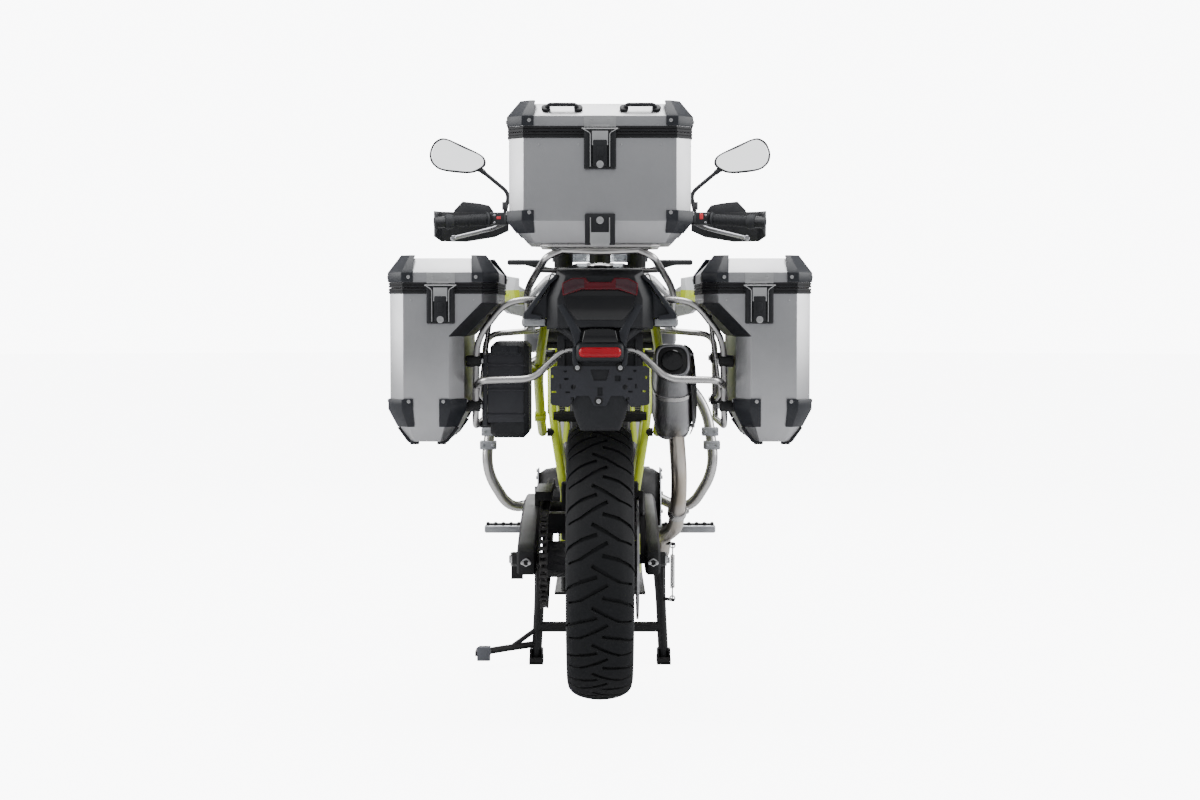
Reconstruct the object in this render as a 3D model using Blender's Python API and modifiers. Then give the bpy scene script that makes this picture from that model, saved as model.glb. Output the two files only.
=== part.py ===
"""Adventure motorcycle on its centre stand, with two side cases and a top case.

Metres, +Z up, +Y forward, +X to the rider's right. The floor is at z = 0.
Tables of shares give places as shares of the body's half width, the wheelbase
(from the rear axle forward) and the body height, in that order.
"""

import math

import bmesh
import bpy
from mathutils import Matrix, Vector

# Driving sizes
WHEELBASE = 1.600
BODY_HEIGHT = 1.000
BODY_HALF_WIDTH = 0.200
REAR_OVERHANG = 0.370
FRONT_TYRE_RADIUS = 0.348
FRONT_TYRE_WIDTH = 0.092
FRONT_RIM_SEAT = 0.2667
REAR_TYRE_RADIUS = 0.321
REAR_TYRE_WIDTH = 0.150
REAR_RIM_SEAT = 0.2159
REAR_WHEEL_LIFT = 0.020
TRAIL = 0.120
RAKE_DEG = 28.0
FIT_GAP = 0.0003
RUNNING_GAP = 0.0060
CUT_OVERRUN = 0.010
WELD_REACH = 0.000001

# Tubes and rods
FRAME_TUBE_RADIUS = 0.0140
SUBFRAME_TUBE_RADIUS = 0.0115
RACK_TUBE_RADIUS = 0.0080
GUARD_TUBE_RADIUS = 0.0125
TUBE_BEND = 0.060
BOLT_BOSS_RADIUS = 0.0110
AXLE_RADIUS = 0.0110

# Counts and angles
TUBE_RING_STEPS = 1
SMOOTH_RING_STEPS = 2
BEND_STEPS = 2
MOST_BEND_SHARE = 0.45
ROD_SIDES = 12
WHEEL_STEPS = 28
SPOKE_SIDES = 4
SMOOTH_ANGLE_DEG = 35.0
STEERING_STOP_DEG = 38.0

REAR_AXLE_Y = -(WHEELBASE + FRONT_TYRE_RADIUS - REAR_OVERHANG) / 2
REAR_AXLE = Vector((0, REAR_AXLE_Y, REAR_TYRE_RADIUS + REAR_WHEEL_LIFT))
FRONT_AXLE = Vector((0, REAR_AXLE_Y + WHEELBASE, FRONT_TYRE_RADIUS))
RAKE = math.radians(RAKE_DEG)
STEER_UP = Vector((0, -math.sin(RAKE), math.cos(RAKE)))
STEER_FORWARD = Vector((0, math.cos(RAKE), math.sin(RAKE)))
STEER_FOOT = Vector((0, REAR_AXLE_Y + WHEELBASE + TRAIL, 0))
SIDEWAYS = Vector((1, 0, 0))
FORWARD = Vector((0, 1, 0))
UPWARD = Vector((0, 0, 1))
SIDES = (("left", -1), ("right", 1))

# Plan for a flat outline seen from the left side and from behind
SIDE_VIEW = Matrix(((0, 0, 1), (1, 0, 0), (0, 1, 0)))
REAR_VIEW = Matrix(((1, 0, 0), (0, 0, -1), (0, 1, 0)))
TOP_VIEW = Matrix.Identity(3)

# Finishes: colour, roughness, metallic
FINISHES = {
    "lime_paint": ((0.58, 0.70, 0.03), 0.35, 0.0),
    "black_paint": ((0.02, 0.02, 0.022), 0.40, 0.0),
    "black_plastic": ((0.03, 0.03, 0.032), 0.60, 0.0),
    "gloss_black": ((0.012, 0.012, 0.014), 0.15, 0.0),
    "white_panel": ((0.62, 0.63, 0.64), 0.30, 0.0),
    "rubber": ((0.018, 0.018, 0.018), 0.85, 0.0),
    "tyre_rubber": ((0.022, 0.022, 0.024), 0.90, 0.0),
    "vinyl": ((0.020, 0.020, 0.020), 0.70, 0.0),
    "case_aluminium": ((0.56, 0.57, 0.59), 0.38, 1.0),
    "cast_aluminium": ((0.45, 0.46, 0.47), 0.50, 1.0),
    "engine_black": ((0.05, 0.05, 0.052), 0.55, 0.6),
    "stainless": ((0.62, 0.61, 0.60), 0.28, 1.0),
    "fork_tube": ((0.50, 0.50, 0.52), 0.25, 1.0),
    "disc_steel": ((0.50, 0.50, 0.51), 0.30, 1.0),
    "red_lens": ((0.55, 0.02, 0.03), 0.12, 0.0),
    "clear_lens": ((0.70, 0.72, 0.74), 0.08, 0.0),
    "screen": ((0.25, 0.27, 0.29), 0.10, 0.0),
    "mirror": ((0.75, 0.76, 0.78), 0.05, 1.0),
}

PARTS = "adventure_motorcycle"
CUTTERS = "cutters"


def at(width_share, along_share, height_share):
    """A place from shares of the half width, the wheelbase and the body height."""
    return Vector((width_share * BODY_HALF_WIDTH,
                   REAR_AXLE_Y + along_share * WHEELBASE,
                   height_share * BODY_HEIGHT))


def mirrored(points, side):
    """The same points on the side whose sign is given."""
    return [Vector((side * p.x, p.y, p.z)) for p in points]


def on_steering(height):
    """The point of the steering axis at a height above the floor."""
    return STEER_FOOT + STEER_UP * (height / STEER_UP.z)


def clear_scene():
    """Remove what the scene holds and make the two collections."""
    for thing in list(bpy.data.objects):
        bpy.data.objects.remove(thing, do_unlink=True)
    for name in (PARTS, CUTTERS):
        group = bpy.data.collections.new(name)
        bpy.context.scene.collection.children.link(group)


def make_finishes():
    """One Principled material for each finish."""
    for name, (colour, roughness, metallic) in FINISHES.items():
        material = bpy.data.materials.new(name)
        material.use_nodes = True
        shader = material.node_tree.nodes["Principled BSDF"]
        shader.inputs["Base Color"].default_value = (*colour, 1)
        shader.inputs["Roughness"].default_value = roughness
        shader.inputs["Metallic"].default_value = metallic


def working(data):
    """An object in the cutters' collection, where pieces wait to be joined or cut."""
    thing = bpy.data.objects.new("piece", data)
    thing.hide_render = True
    thing.display_type = "WIRE"
    bpy.data.collections[CUTTERS].objects.link(thing)
    return thing


def from_bmesh(shape):
    """A working object from a bmesh, its faces turned outwards."""
    bmesh.ops.recalc_face_normals(shape, faces=shape.faces)
    mesh = bpy.data.meshes.new("piece")
    shape.to_mesh(mesh)
    shape.free()
    return working(mesh)


def baked(thing, used=()):
    """The object as a plain welded mesh; what it used up is removed."""
    bpy.context.view_layer.update()
    graph = bpy.context.evaluated_depsgraph_get()
    mesh = bpy.data.meshes.new_from_object(thing.evaluated_get(graph))
    shape = bmesh.new()
    shape.from_mesh(mesh)
    bmesh.ops.transform(shape, matrix=thing.matrix_world, verts=shape.verts)
    bmesh.ops.remove_doubles(shape, verts=shape.verts, dist=WELD_REACH)
    bpy.data.meshes.remove(mesh)
    for gone in (thing, *used):
        bpy.data.objects.remove(gone, do_unlink=True)
    return from_bmesh(shape)


def box(size, centre, turn_deg=(0, 0, 0), bevel=0):
    """A block with its edges bevelled."""
    shape = bmesh.new()
    bmesh.ops.create_cube(shape, size=1)
    bmesh.ops.scale(shape, vec=size, verts=shape.verts)
    if bevel:
        bmesh.ops.bevel(shape, geom=shape.edges, offset=bevel, segments=1, affect="EDGES")
    turn = Matrix.Identity(4)
    for axis, angle in zip("XYZ", turn_deg):
        turn = Matrix.Rotation(math.radians(angle), 4, axis) @ turn
    bmesh.ops.transform(shape, matrix=Matrix.Translation(centre) @ turn, verts=shape.verts)
    return from_bmesh(shape)


def rod(start, end, radius, end_radius=None, sides=ROD_SIDES):
    """A round bar, or a cone, from one point to another."""
    run = Vector(end) - Vector(start)
    shape = bmesh.new()
    bmesh.ops.create_cone(shape, cap_ends=True, segments=sides, radius1=radius,
                          radius2=radius if end_radius is None else end_radius,
                          depth=run.length)
    turn = run.to_track_quat("Z", "Y").to_matrix().to_4x4()
    middle = Matrix.Translation((Vector(start) + Vector(end)) / 2)
    bmesh.ops.transform(shape, matrix=middle @ turn, verts=shape.verts)
    return from_bmesh(shape)


def rounded_path(points, bend):
    """A tube's centre line, with an arc of the given reach at each corner."""
    path = [points[0]]
    for before, corner, after in zip(points, points[1:], points[2:]):
        reach = min(bend, (corner - before).length * MOST_BEND_SHARE,
                    (after - corner).length * MOST_BEND_SHARE)
        start = corner + (before - corner).normalized() * reach
        end = corner + (after - corner).normalized() * reach
        for step in range(BEND_STEPS + 1):
            part = step / BEND_STEPS
            path.append(start.lerp(corner, part).lerp(corner.lerp(end, part), part))
    return [*path, points[-1]]


def tube(points, radius, bend=TUBE_BEND, closed=False, ring=TUBE_RING_STEPS):
    """A bent tube along the points, with filled ends."""
    curve = bpy.data.curves.new("tube", "CURVE")
    curve.dimensions = "3D"
    curve.bevel_depth = radius
    curve.bevel_resolution = ring
    curve.use_fill_caps = True
    if closed:
        middle = (points[0] + points[-1]) / 2
        path = rounded_path([middle, *points, middle], bend)[:-1]
    else:
        path = rounded_path(points, bend)
    spline = curve.splines.new("POLY")
    spline.points.add(len(path) - 1)
    spline.use_cyclic_u = closed
    for place, point in zip(path, spline.points):
        point.co = (*place, 1)
    return baked(working(curve))


def slab(outline, thickness, centre, view, holes=(), bevel=0, grow=0):
    """A flat outline, with holes, given its thickness about the centre."""
    curve = bpy.data.curves.new("slab", "CURVE")
    curve.dimensions = "2D"
    curve.fill_mode = "BOTH"
    curve.extrude = thickness / 2 - bevel
    curve.bevel_depth = bevel
    curve.bevel_resolution = 0
    curve.offset = grow - bevel
    for ring in (outline, *holes):
        spline = curve.splines.new("POLY")
        spline.points.add(len(ring) - 1)
        spline.use_cyclic_u = True
        for place, point in zip(ring, spline.points):
            point.co = (place[0], place[1], 0, 1)
    thing = working(curve)
    thing.matrix_world = Matrix.Translation(centre) @ view.to_4x4()
    return baked(thing)


def turned(profile, centre, axis, steps=WHEEL_STEPS, closed=False):
    """A profile of (radius, along) points turned about an axis through the centre."""
    shape = bmesh.new()
    line = [shape.verts.new((radius, 0, along)) for radius, along in profile]
    for low, high in zip(line, line[1:]):
        shape.edges.new((low, high))
    if closed:
        shape.edges.new((line[-1], line[0]))
    mesh = bpy.data.meshes.new("profile")
    shape.to_mesh(mesh)
    shape.free()
    thing = working(mesh)
    screw = thing.modifiers.new("turn", "SCREW")
    screw.steps = screw.render_steps = steps
    screw.use_merge_vertices = True
    screw.merge_threshold = WELD_REACH
    turn = Vector(axis).to_track_quat("Z", "Y").to_matrix().to_4x4()
    thing.matrix_world = Matrix.Translation(centre) @ turn
    return baked(thing)


def loft(rings):
    """A closed solid through rings of the same number of points."""
    shape = bmesh.new()
    rows = [[shape.verts.new(point) for point in ring] for ring in rings]
    for low, high in zip(rows, rows[1:]):
        for here in range(len(low)):
            there = (here + 1) % len(low)
            shape.faces.new((low[here], low[there], high[there], high[here]))
    shape.faces.new(rows[0])
    shape.faces.new(rows[-1])
    return from_bmesh(shape)


def circle(radius, steps=ROD_SIDES, centre=(0, 0), start_deg=0.0, sweep_deg=360.0):
    """Points round a circle, or along an arc of it with both of its ends."""
    whole = sweep_deg == 360.0
    count = steps if whole else steps + 1
    angles = [math.radians(start_deg + sweep_deg * step / steps) for step in range(count)]
    return [(centre[0] + radius * math.cos(a), centre[1] + radius * math.sin(a)) for a in angles]


def combined(thing, others, operation):
    """The object joined with, or cut by, the others."""
    for other in others:
        step = thing.modifiers.new(operation.lower(), "BOOLEAN")
        step.operation = operation
        step.solver = "EXACT"
        step.object = other
    return baked(thing, others)


def fused(pieces):
    """One solid from pieces that run into each other."""
    return combined(pieces[0], pieces[1:], "UNION") if len(pieces) > 1 else pieces[0]


def cut(thing, cutters):
    """The solid less its cutters."""
    return combined(thing, cutters, "DIFFERENCE")


def finish(name, thing, material, body):
    """Name a finished piece, give it its material and hang it on its body's empty."""
    thing.name = name
    thing.data.name = name
    thing.hide_render = False
    thing.display_type = "TEXTURED"
    bpy.data.collections[CUTTERS].objects.unlink(thing)
    bpy.data.collections[PARTS].objects.link(thing)
    thing.data.materials.clear()
    thing.data.materials.append(bpy.data.materials[material])
    thing.data.shade_smooth()
    thing.data.set_sharp_from_angle(angle=math.radians(SMOOTH_ANGLE_DEG))
    thing.parent = body
    thing.matrix_parent_inverse = body.matrix_world.inverted()
    return thing


def empty(name, place, parent=None):
    """An empty on a body's joint axis."""
    thing = bpy.data.objects.new(name, None)
    bpy.data.collections[PARTS].objects.link(thing)
    thing.location = place
    bpy.context.view_layer.update()
    if parent:
        thing.parent = parent
        thing.matrix_parent_inverse = parent.matrix_world.inverted()
        bpy.context.view_layer.update()
    return thing


# Wheels

# Tyre section: half-width share, height share from the bead seat to the crown
TYRE_SECTION_SHARES = ((0.62, 0.0), (0.66, 0.14), (1.0, 0.50), (0.86, 0.83), (0.42, 0.97),
                       (0.0, 1.0))
RIM_FLANGE_HEIGHT = 0.0110
RIM_FLANGE_WALL = 0.0040
RIM_DROP = 0.0120
RIM_WELL = 0.0280
RIM_WELL_HALF_WIDTH = 0.0160
SPOKE_RADIUS = 0.0020
SPOKE_STAGGER = 0.0052
SPOKE_COUNT = 20
SPOKE_LEAN_DEG = 38.0
HUB_WALL = 0.0120
HUB_FLANGE_WALL = 0.0100

FRONT_HUB_RADIUS = 0.0280
FRONT_HUB_FLANGE_RADIUS = 0.0420
FRONT_FLANGE_X = 0.0320
FRONT_DISC_RADIUS = 0.1525
FRONT_DISC_X = 0.0620
DISC_THICKNESS = 0.0050
DISC_BAND = 0.0340
DISC_HUB_RADIUS = 0.0600
DISC_WINDOWS = 5
DISC_WINDOW_DEG = 54.0
WINDOW_STEPS = 2
HUB_STEPS = 12
HUB_LIP = 0.0010

REAR_HUB_RADIUS = 0.0420
REAR_HUB_FLANGE_RADIUS = 0.0600
REAR_FLANGE_X = 0.0440
REAR_DISC_RADIUS = 0.1380
REAR_DISC_X = 0.0860
SPROCKET_X = -0.1277
SPROCKET_THICKNESS = 0.0060
CHAIN_PITCH = 0.0159
SPROCKET_TEETH = 42
FRONT_SPROCKET_TEETH = 16
CHAIN_WIDTH = 0.0190
CHAIN_HALF_DEPTH = 0.0080
FRONT_SPROCKET_SHARES = (0.0, 0.418, 0.425)


def bead_gap_x(width):
    """Half the distance between a rim's flanges."""
    return TYRE_SECTION_SHARES[1][0] * width / 2 + FIT_GAP


def make_tyre(name, axle, radius, width, seat, body):
    """A tyre turned from its section."""
    height = radius - seat
    half = [(seat + rise * height, out * width / 2) for out, rise in TYRE_SECTION_SHARES]
    profile = half + [(r, -x) for r, x in reversed(half[:-1])]
    return finish(name, turned(profile, axle, SIDEWAYS, closed=True), "tyre_rubber", body)


def rim_profile(width, seat):
    """The closed section of a spoked rim."""
    inner = bead_gap_x(width)
    outer = inner + RIM_FLANGE_WALL
    floor = seat - FIT_GAP
    half = [(floor, inner), (seat + RIM_FLANGE_HEIGHT, inner),
            (seat + RIM_FLANGE_HEIGHT, outer), (seat - RIM_DROP, outer),
            (seat - RIM_WELL, RIM_WELL_HALF_WIDTH)]
    return half + [(r, -x) for r, x in reversed(half)]


def make_wheel(name, axle, width, seat, hub_radius, flange_radius, flange_x, ends, plates, body):
    """Rim, hub, laced spokes and the plates on the hub; ends are the hub's end places in x."""
    bore = AXLE_RADIUS + 2 * FIT_GAP
    half_wall = HUB_FLANGE_WALL / 2
    profile = [(bore, ends[1]), (hub_radius, ends[1])]
    for middle in (flange_x, -flange_x):
        profile += [(hub_radius, middle + half_wall), (flange_radius, middle + half_wall),
                    (flange_radius, middle - half_wall), (hub_radius, middle - half_wall)]
    profile += [(hub_radius, ends[0]), (bore, ends[0])]
    pieces = [turned(profile, axle, SIDEWAYS, steps=HUB_STEPS, closed=True), *plates]
    pieces.append(turned(rim_profile(width, seat), axle, SIDEWAYS, closed=True))
    hub_reach = flange_radius - 2 * SPOKE_RADIUS
    rim_reach = seat - RIM_WELL + RIM_FLANGE_WALL
    for index in range(SPOKE_COUNT):
        side = 1 if index % 2 else -1
        lean = 1 if index % 4 < 2 else -1
        rim_turn = math.tau * index / SPOKE_COUNT
        hub_turn = rim_turn + lean * math.radians(SPOKE_LEAN_DEG)
        start = axle + Vector((side * flange_x + lean * SPOKE_STAGGER / 2,
                               hub_reach * math.cos(hub_turn), hub_reach * math.sin(hub_turn)))
        end = axle + Vector((lean * SPOKE_STAGGER / 2, rim_reach * math.cos(rim_turn),
                             rim_reach * math.sin(rim_turn)))
        pieces.append(rod(start, end, SPOKE_RADIUS, sides=SPOKE_SIDES))
    return finish(name, fused(pieces), "engine_black", body)


def plate_windows(inner, outer):
    """The openings between a round plate's band and its middle."""
    rings = []
    for index in range(DISC_WINDOWS):
        start = 360.0 * index / DISC_WINDOWS
        ring = circle(outer, WINDOW_STEPS, start_deg=start, sweep_deg=DISC_WINDOW_DEG)
        back = circle(inner, WINDOW_STEPS, start_deg=start, sweep_deg=DISC_WINDOW_DEG)
        rings.append(ring + back[::-1])
    return rings


def round_plate(outline, thickness, place, middle_radius, window_radius, bore):
    """A flat plate round the wheel's axis, with windows between its middle and its band."""
    holes = [circle(bore), *plate_windows(middle_radius, window_radius)]
    return slab(outline, thickness, place, SIDE_VIEW, holes=holes)


def pitch_radius(teeth):
    """The radius at which a chain's pins run round a sprocket."""
    return CHAIN_PITCH / (2 * math.sin(math.pi / teeth))


def sprocket_outline(teeth):
    """A toothed ring that runs just inside the chain."""
    crown = pitch_radius(teeth) - CHAIN_HALF_DEPTH - RUNNING_GAP / 6
    root = crown - CHAIN_HALF_DEPTH / 2
    points = []
    for tooth in range(teeth):
        start = 360.0 * tooth / teeth
        points += circle(crown, 1, start_deg=start, sweep_deg=0.0)[:1]
        points += circle(root, 1, start_deg=start + 180.0 / teeth, sweep_deg=0.0)[:1]
    return points


def chain_loop(offset):
    """The loop round both sprockets in the side view, from the rear axle."""
    front = at(*FRONT_SPROCKET_SHARES) - REAR_AXLE
    front_centre = (front.y, front.z)
    big = pitch_radius(SPROCKET_TEETH)
    small = pitch_radius(FRONT_SPROCKET_TEETH)
    reach = math.hypot(*front_centre)
    tilt = math.degrees(math.atan2(front_centre[1], front_centre[0]))
    open_deg = math.degrees(math.acos((big - small) / reach))
    rear = circle(big + offset, WHEEL_STEPS // 2, start_deg=tilt + open_deg,
                  sweep_deg=360.0 - 2 * open_deg)
    nose = circle(small + offset, ROD_SIDES, centre=front_centre, start_deg=tilt - open_deg,
                  sweep_deg=2 * open_deg)
    return rear + nose


def make_wheels(bodies):
    """Both wheels with their tyres, discs, axles and final drive."""
    make_tyre("rear_tyre", REAR_AXLE, REAR_TYRE_RADIUS, REAR_TYRE_WIDTH, REAR_RIM_SEAT,
              bodies["rear_wheel"])
    make_tyre("front_tyre", FRONT_AXLE, FRONT_TYRE_RADIUS, FRONT_TYRE_WIDTH, FRONT_RIM_SEAT,
              bodies["front_wheel"])
    disc_bore = (AXLE_RADIUS + FRONT_HUB_RADIUS) / 2
    rear_bore = (AXLE_RADIUS + REAR_HUB_RADIUS) / 2
    rear_ends = (SPROCKET_X - SPROCKET_THICKNESS / 2 - HUB_LIP,
                 REAR_DISC_X + DISC_THICKNESS / 2 + HUB_LIP)
    rear_plates = [
        round_plate(circle(REAR_DISC_RADIUS, WHEEL_STEPS), DISC_THICKNESS,
                    REAR_AXLE + SIDEWAYS * REAR_DISC_X, DISC_HUB_RADIUS,
                    REAR_DISC_RADIUS - DISC_BAND, rear_bore),
        round_plate(sprocket_outline(SPROCKET_TEETH), SPROCKET_THICKNESS,
                    REAR_AXLE + SIDEWAYS * SPROCKET_X, DISC_HUB_RADIUS,
                    REAR_HUB_FLANGE_RADIUS * 1.35,
                    rear_bore)]
    make_wheel("rear_wire_wheel", REAR_AXLE, REAR_TYRE_WIDTH, REAR_RIM_SEAT, REAR_HUB_RADIUS,
               REAR_HUB_FLANGE_RADIUS, REAR_FLANGE_X, rear_ends, rear_plates, bodies["rear_wheel"])
    front_end = FRONT_DISC_X + DISC_THICKNESS / 2 + HUB_LIP
    front_plates = [round_plate(circle(FRONT_DISC_RADIUS, WHEEL_STEPS), DISC_THICKNESS,
                                FRONT_AXLE + SIDEWAYS * (side * FRONT_DISC_X), DISC_HUB_RADIUS,
                                FRONT_DISC_RADIUS - DISC_BAND, disc_bore) for _, side in SIDES]
    make_wheel("front_wire_wheel", FRONT_AXLE, FRONT_TYRE_WIDTH, FRONT_RIM_SEAT, FRONT_HUB_RADIUS,
               FRONT_HUB_FLANGE_RADIUS, FRONT_FLANGE_X, (-front_end, front_end), front_plates,
               bodies["front_wheel"])
    chain = slab(chain_loop(CHAIN_HALF_DEPTH), CHAIN_WIDTH, REAR_AXLE + SIDEWAYS * SPROCKET_X,
                 SIDE_VIEW, holes=[chain_loop(-CHAIN_HALF_DEPTH)])
    finish("drive_chain", chain, "engine_black", bodies["root"])


# Frame: rows of (width, along, height) shares for the left side of a symmetric pair
SPAR_SHARES = ((0.10, 0.735, 1.030), (0.50, 0.600, 0.955), (0.62, 0.400, 0.800),
               (0.60, 0.362, 0.640), (0.44, 0.355, 0.440))
LOWER_SPAR_SHARES = ((0.10, 0.750, 0.985), (0.54, 0.610, 0.760), (0.605, 0.374, 0.700))
BRACE_SHARES = (((0.49, 0.604, 0.955), (0.53, 0.616, 0.768)),
                ((0.53, 0.600, 0.768), (0.61, 0.450, 0.832)))
BRACE_RADIUS = 0.0110
CRADLE_SHARES = ((0.10, 0.738, 1.020), (0.30, 0.690, 0.860), (0.46, 0.680, 0.560),
                 (0.48, 0.670, 0.228), (0.48, 0.400, 0.228), (0.44, 0.355, 0.360),
                 (0.44, 0.355, 0.440))
CROSS_SHARES = ((0.60, 0.362, 0.640), (0.458, 0.376, 0.300))
FRONT_MOUNT_SHARES = (0.468, 0.6758, 0.420)
PIVOT_SHARES = (0.0, 0.355, 0.400)
PIVOT_TUBE_RADIUS = 0.0220
PIVOT_PLATE_WALL = 0.0220
PIVOT_PLATE_SHARE = 0.44
PIVOT_PLATE_DEPTH = 0.1000
PIVOT_PLATE_LEAD = 0.0080
PIVOT_PLATE_HEIGHT = 0.1500
HANGER_SIZE = (0.0120, 0.0820, 0.0320)
HANGER_SHARES = (0.46, 0.369, 0.272)
# Crash bar of the left side: width, along and height shares
CRASH_BAR_SHARES = ((0.47, 0.679, 0.420), (1.24, 0.660, 0.345), (1.60, 0.628, 0.470),
                    (1.50, 0.645, 0.640), (0.95, 0.668, 0.775), (0.33, 0.687, 0.800))
HEAD_TUBE_RADIUS = 0.0300
STEM_RADIUS = 0.0180
HEAD_LOW_SHARE = 0.955
HEAD_HIGH_SHARE = 1.115

RAIL_SHARES = ((0.76, 0.400, 0.800), (0.76, 0.340, 0.812), (0.72, 0.250, 0.830),
               (0.62, 0.060, 0.900), (0.49, -0.118, 0.950))
STRUT_SHARES = ((0.62, 0.040, 0.905), (0.74, 0.120, 0.770), (0.74, 0.250, 0.650),
                (0.74, 0.360, 0.600))
SUBFRAME_CROSS_SHARES = ((0.72, 0.250, 0.830), (0.507, -0.095, 0.9435))


def places(shares):
    """Points from a table of shares."""
    return [at(*row) for row in shares]


def at_height(shares, height_share):
    """The point of a falling tube's straight runs at a height."""
    for high, low in zip(shares, shares[1:]):
        if low[2] <= height_share <= high[2]:
            part = (high[2] - height_share) / (high[2] - low[2])
            return at(*high).lerp(at(*low), part)
    return at(*shares[-1])


def stub(carrier, run, target, carrier_radius, radius):
    """A boss square to a tube's run, from just off its side to beyond the target."""
    out = target - carrier
    out -= run * out.dot(run)
    start = carrier + out.normalized() * (carrier_radius + FIT_GAP)
    return rod(start, carrier + out, radius)


def make_frame(bodies):
    """The trellis frame with its head tube, cradle and pivot plates."""
    head_low = on_steering(HEAD_LOW_SHARE * BODY_HEIGHT)
    head_high = on_steering(HEAD_HIGH_SHARE * BODY_HEIGHT)
    pieces = [rod(head_low, head_high, HEAD_TUBE_RADIUS, sides=2 * ROD_SIDES)]
    pivot = at(*PIVOT_SHARES)
    for _, side in SIDES:
        for table in (SPAR_SHARES, LOWER_SPAR_SHARES, CRADLE_SHARES):
            pieces.append(tube(mirrored(places(table), side), FRAME_TUBE_RADIUS))
        for brace in BRACE_SHARES:
            pieces.append(rod(*mirrored(places(brace), side), BRACE_RADIUS))
        plate_x = side * PIVOT_PLATE_SHARE * BODY_HALF_WIDTH
        pieces.append(box((PIVOT_PLATE_WALL, PIVOT_PLATE_DEPTH, PIVOT_PLATE_HEIGHT),
                          (plate_x, pivot.y + PIVOT_PLATE_LEAD, pivot.z),
                          bevel=PIVOT_PLATE_WALL / 6))
        for share_table, end_row in ((SPAR_SHARES, 2), (SPAR_SHARES, 3)):
            inner = at(*share_table[end_row])
            rail_row = RAIL_SHARES[0] if end_row == 2 else STRUT_SHARES[-1]
            seat = at(*rail_row).x - SUBFRAME_TUBE_RADIUS - FIT_GAP
            level = at(*rail_row)
            pieces.append(rod((side * (inner.x - FRAME_TUBE_RADIUS / 2), level.y, level.z),
                              (side * seat, level.y, level.z), BOLT_BOSS_RADIUS))
    for row in CROSS_SHARES:
        end = at(*row)
        pieces.append(rod((-end.x, end.y, end.z), (end.x, end.y, end.z), FRAME_TUBE_RADIUS))
    mount = at(*FRONT_MOUNT_SHARES)
    pieces.append(rod((-mount.x, mount.y, mount.z), mount, FRAME_TUBE_RADIUS))
    pin = at(*STAND_PIVOT_SHARES)
    pin_end = SIDEWAYS * (STAND_KNEE_SHARES[0] * BODY_HALF_WIDTH + STAND_EYE_WALL)
    pieces.append(rod(pin - pin_end, pin + pin_end, STAND_PIN_RADIUS))
    for _, side in SIDES:
        pieces.append(box(HANGER_SIZE, (side * at(*HANGER_SHARES).x, *at(*HANGER_SHARES)[1:])))
        pieces.append(tube(mirrored(places(CRASH_BAR_SHARES), side), GUARD_TUBE_RADIUS))
    stand = at(*SIDE_STAND_PIVOT_SHARES)
    pieces.append(rod(stand, (-CRADLE_SHARES[3][0] * BODY_HALF_WIDTH, stand.y, stand.z),
                      SIDE_STAND_BOSS_RADIUS))
    frame = cut(fused(pieces), [
        rod(head_low - STEER_UP * CUT_OVERRUN, head_high + STEER_UP * CUT_OVERRUN,
            STEM_RADIUS + FIT_GAP, sides=2 * ROD_SIDES),
        rod((-BODY_HALF_WIDTH, pivot.y, pivot.z), (BODY_HALF_WIDTH, pivot.y, pivot.z),
            PIVOT_TUBE_RADIUS + FIT_GAP)])
    finish("main_frame", frame, "lime_paint", bodies["root"])


def grown_tubes(tables, radius, ring=TUBE_RING_STEPS, overrun=0):
    """Cutters a fit gap larger than the tubes of some tables, on both sides."""
    cutters = []
    for _, side in SIDES:
        for table in tables:
            path = places(table)
            path[0] += (path[0] - path[1]).normalized() * overrun
            path[-1] += (path[-1] - path[-2]).normalized() * overrun
            cutters.append(tube(mirrored(path, side), radius + FIT_GAP, ring=ring))
    return cutters


def cross_rod(row, grow=0):
    """A cross tube of the subframe."""
    end = at(*row)
    return rod((-end.x, end.y, end.z), (end.x, end.y, end.z), SUBFRAME_TUBE_RADIUS + grow)


def make_subframe(bodies):
    """The rear rails and struts that carry the seat, the tail and the racks."""
    pieces = []
    for _, side in SIDES:
        for table in (RAIL_SHARES, STRUT_SHARES):
            pieces.append(tube(mirrored(places(table), side), SUBFRAME_TUBE_RADIUS))
    pieces += [cross_rod(row) for row in SUBFRAME_CROSS_SHARES]
    finish("rear_subframe", fused(pieces), "lime_paint", bodies["root"])


# Swingarm: outline of an arm in the side view, from the axle, as shares of the reach to the
# pivot and of the arm's depth
ARM_OUTLINE_SHARES = ((-0.075, -0.30), (-0.075, 0.30), (0.02, 0.42), (0.30, 0.62), (0.55, 0.66),
                      (0.80, 0.60), (1.04, 0.42), (1.06, -0.30), (0.80, -0.46), (0.40, -0.52),
                      (0.06, -0.42))
ARM_DEPTH = 0.090
LEFT_ARM_X = (-0.190, -0.146)
RIGHT_ARM_X = (0.104, 0.138)
ARM_BEVEL = 0.0050
BRACE_BLOCK = (0.060, 0.050)
BRACE_ALONG_SHARE = 0.72
ADJUSTER_RADIUS = 0.0070
ADJUSTER_REACH = 0.0300
AXLE_NUT_RADIUS = 0.0170
AXLE_NUT_WALL = 0.0120
AXLE_NUT_SIDES = 6
SHOCK_BODY_RADIUS = 0.0260
SHOCK_COIL_RADIUS = 0.0380
SHOCK_GROOVE = 0.0070
SHOCK_TURNS = 6
SHOCK_LEAN_SHARE = 0.66
SHOCK_SPRING_SHARES = (0.30, 0.60)
SHOCK_EYE_RADIUS = 0.0160
CHAIN_GUARD_SHARES = ((0.020, 0.473), (0.030, 0.492), (0.130, 0.498), (0.240, 0.478),
                      (0.240, 0.470), (0.120, 0.480))
CHAIN_GUARD_X = (-0.1500, -0.1120)
GUARD_TAB_SHARES = ((0.190, 0.483), (0.235, 0.476), (0.235, 0.425), (0.200, 0.420))
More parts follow.
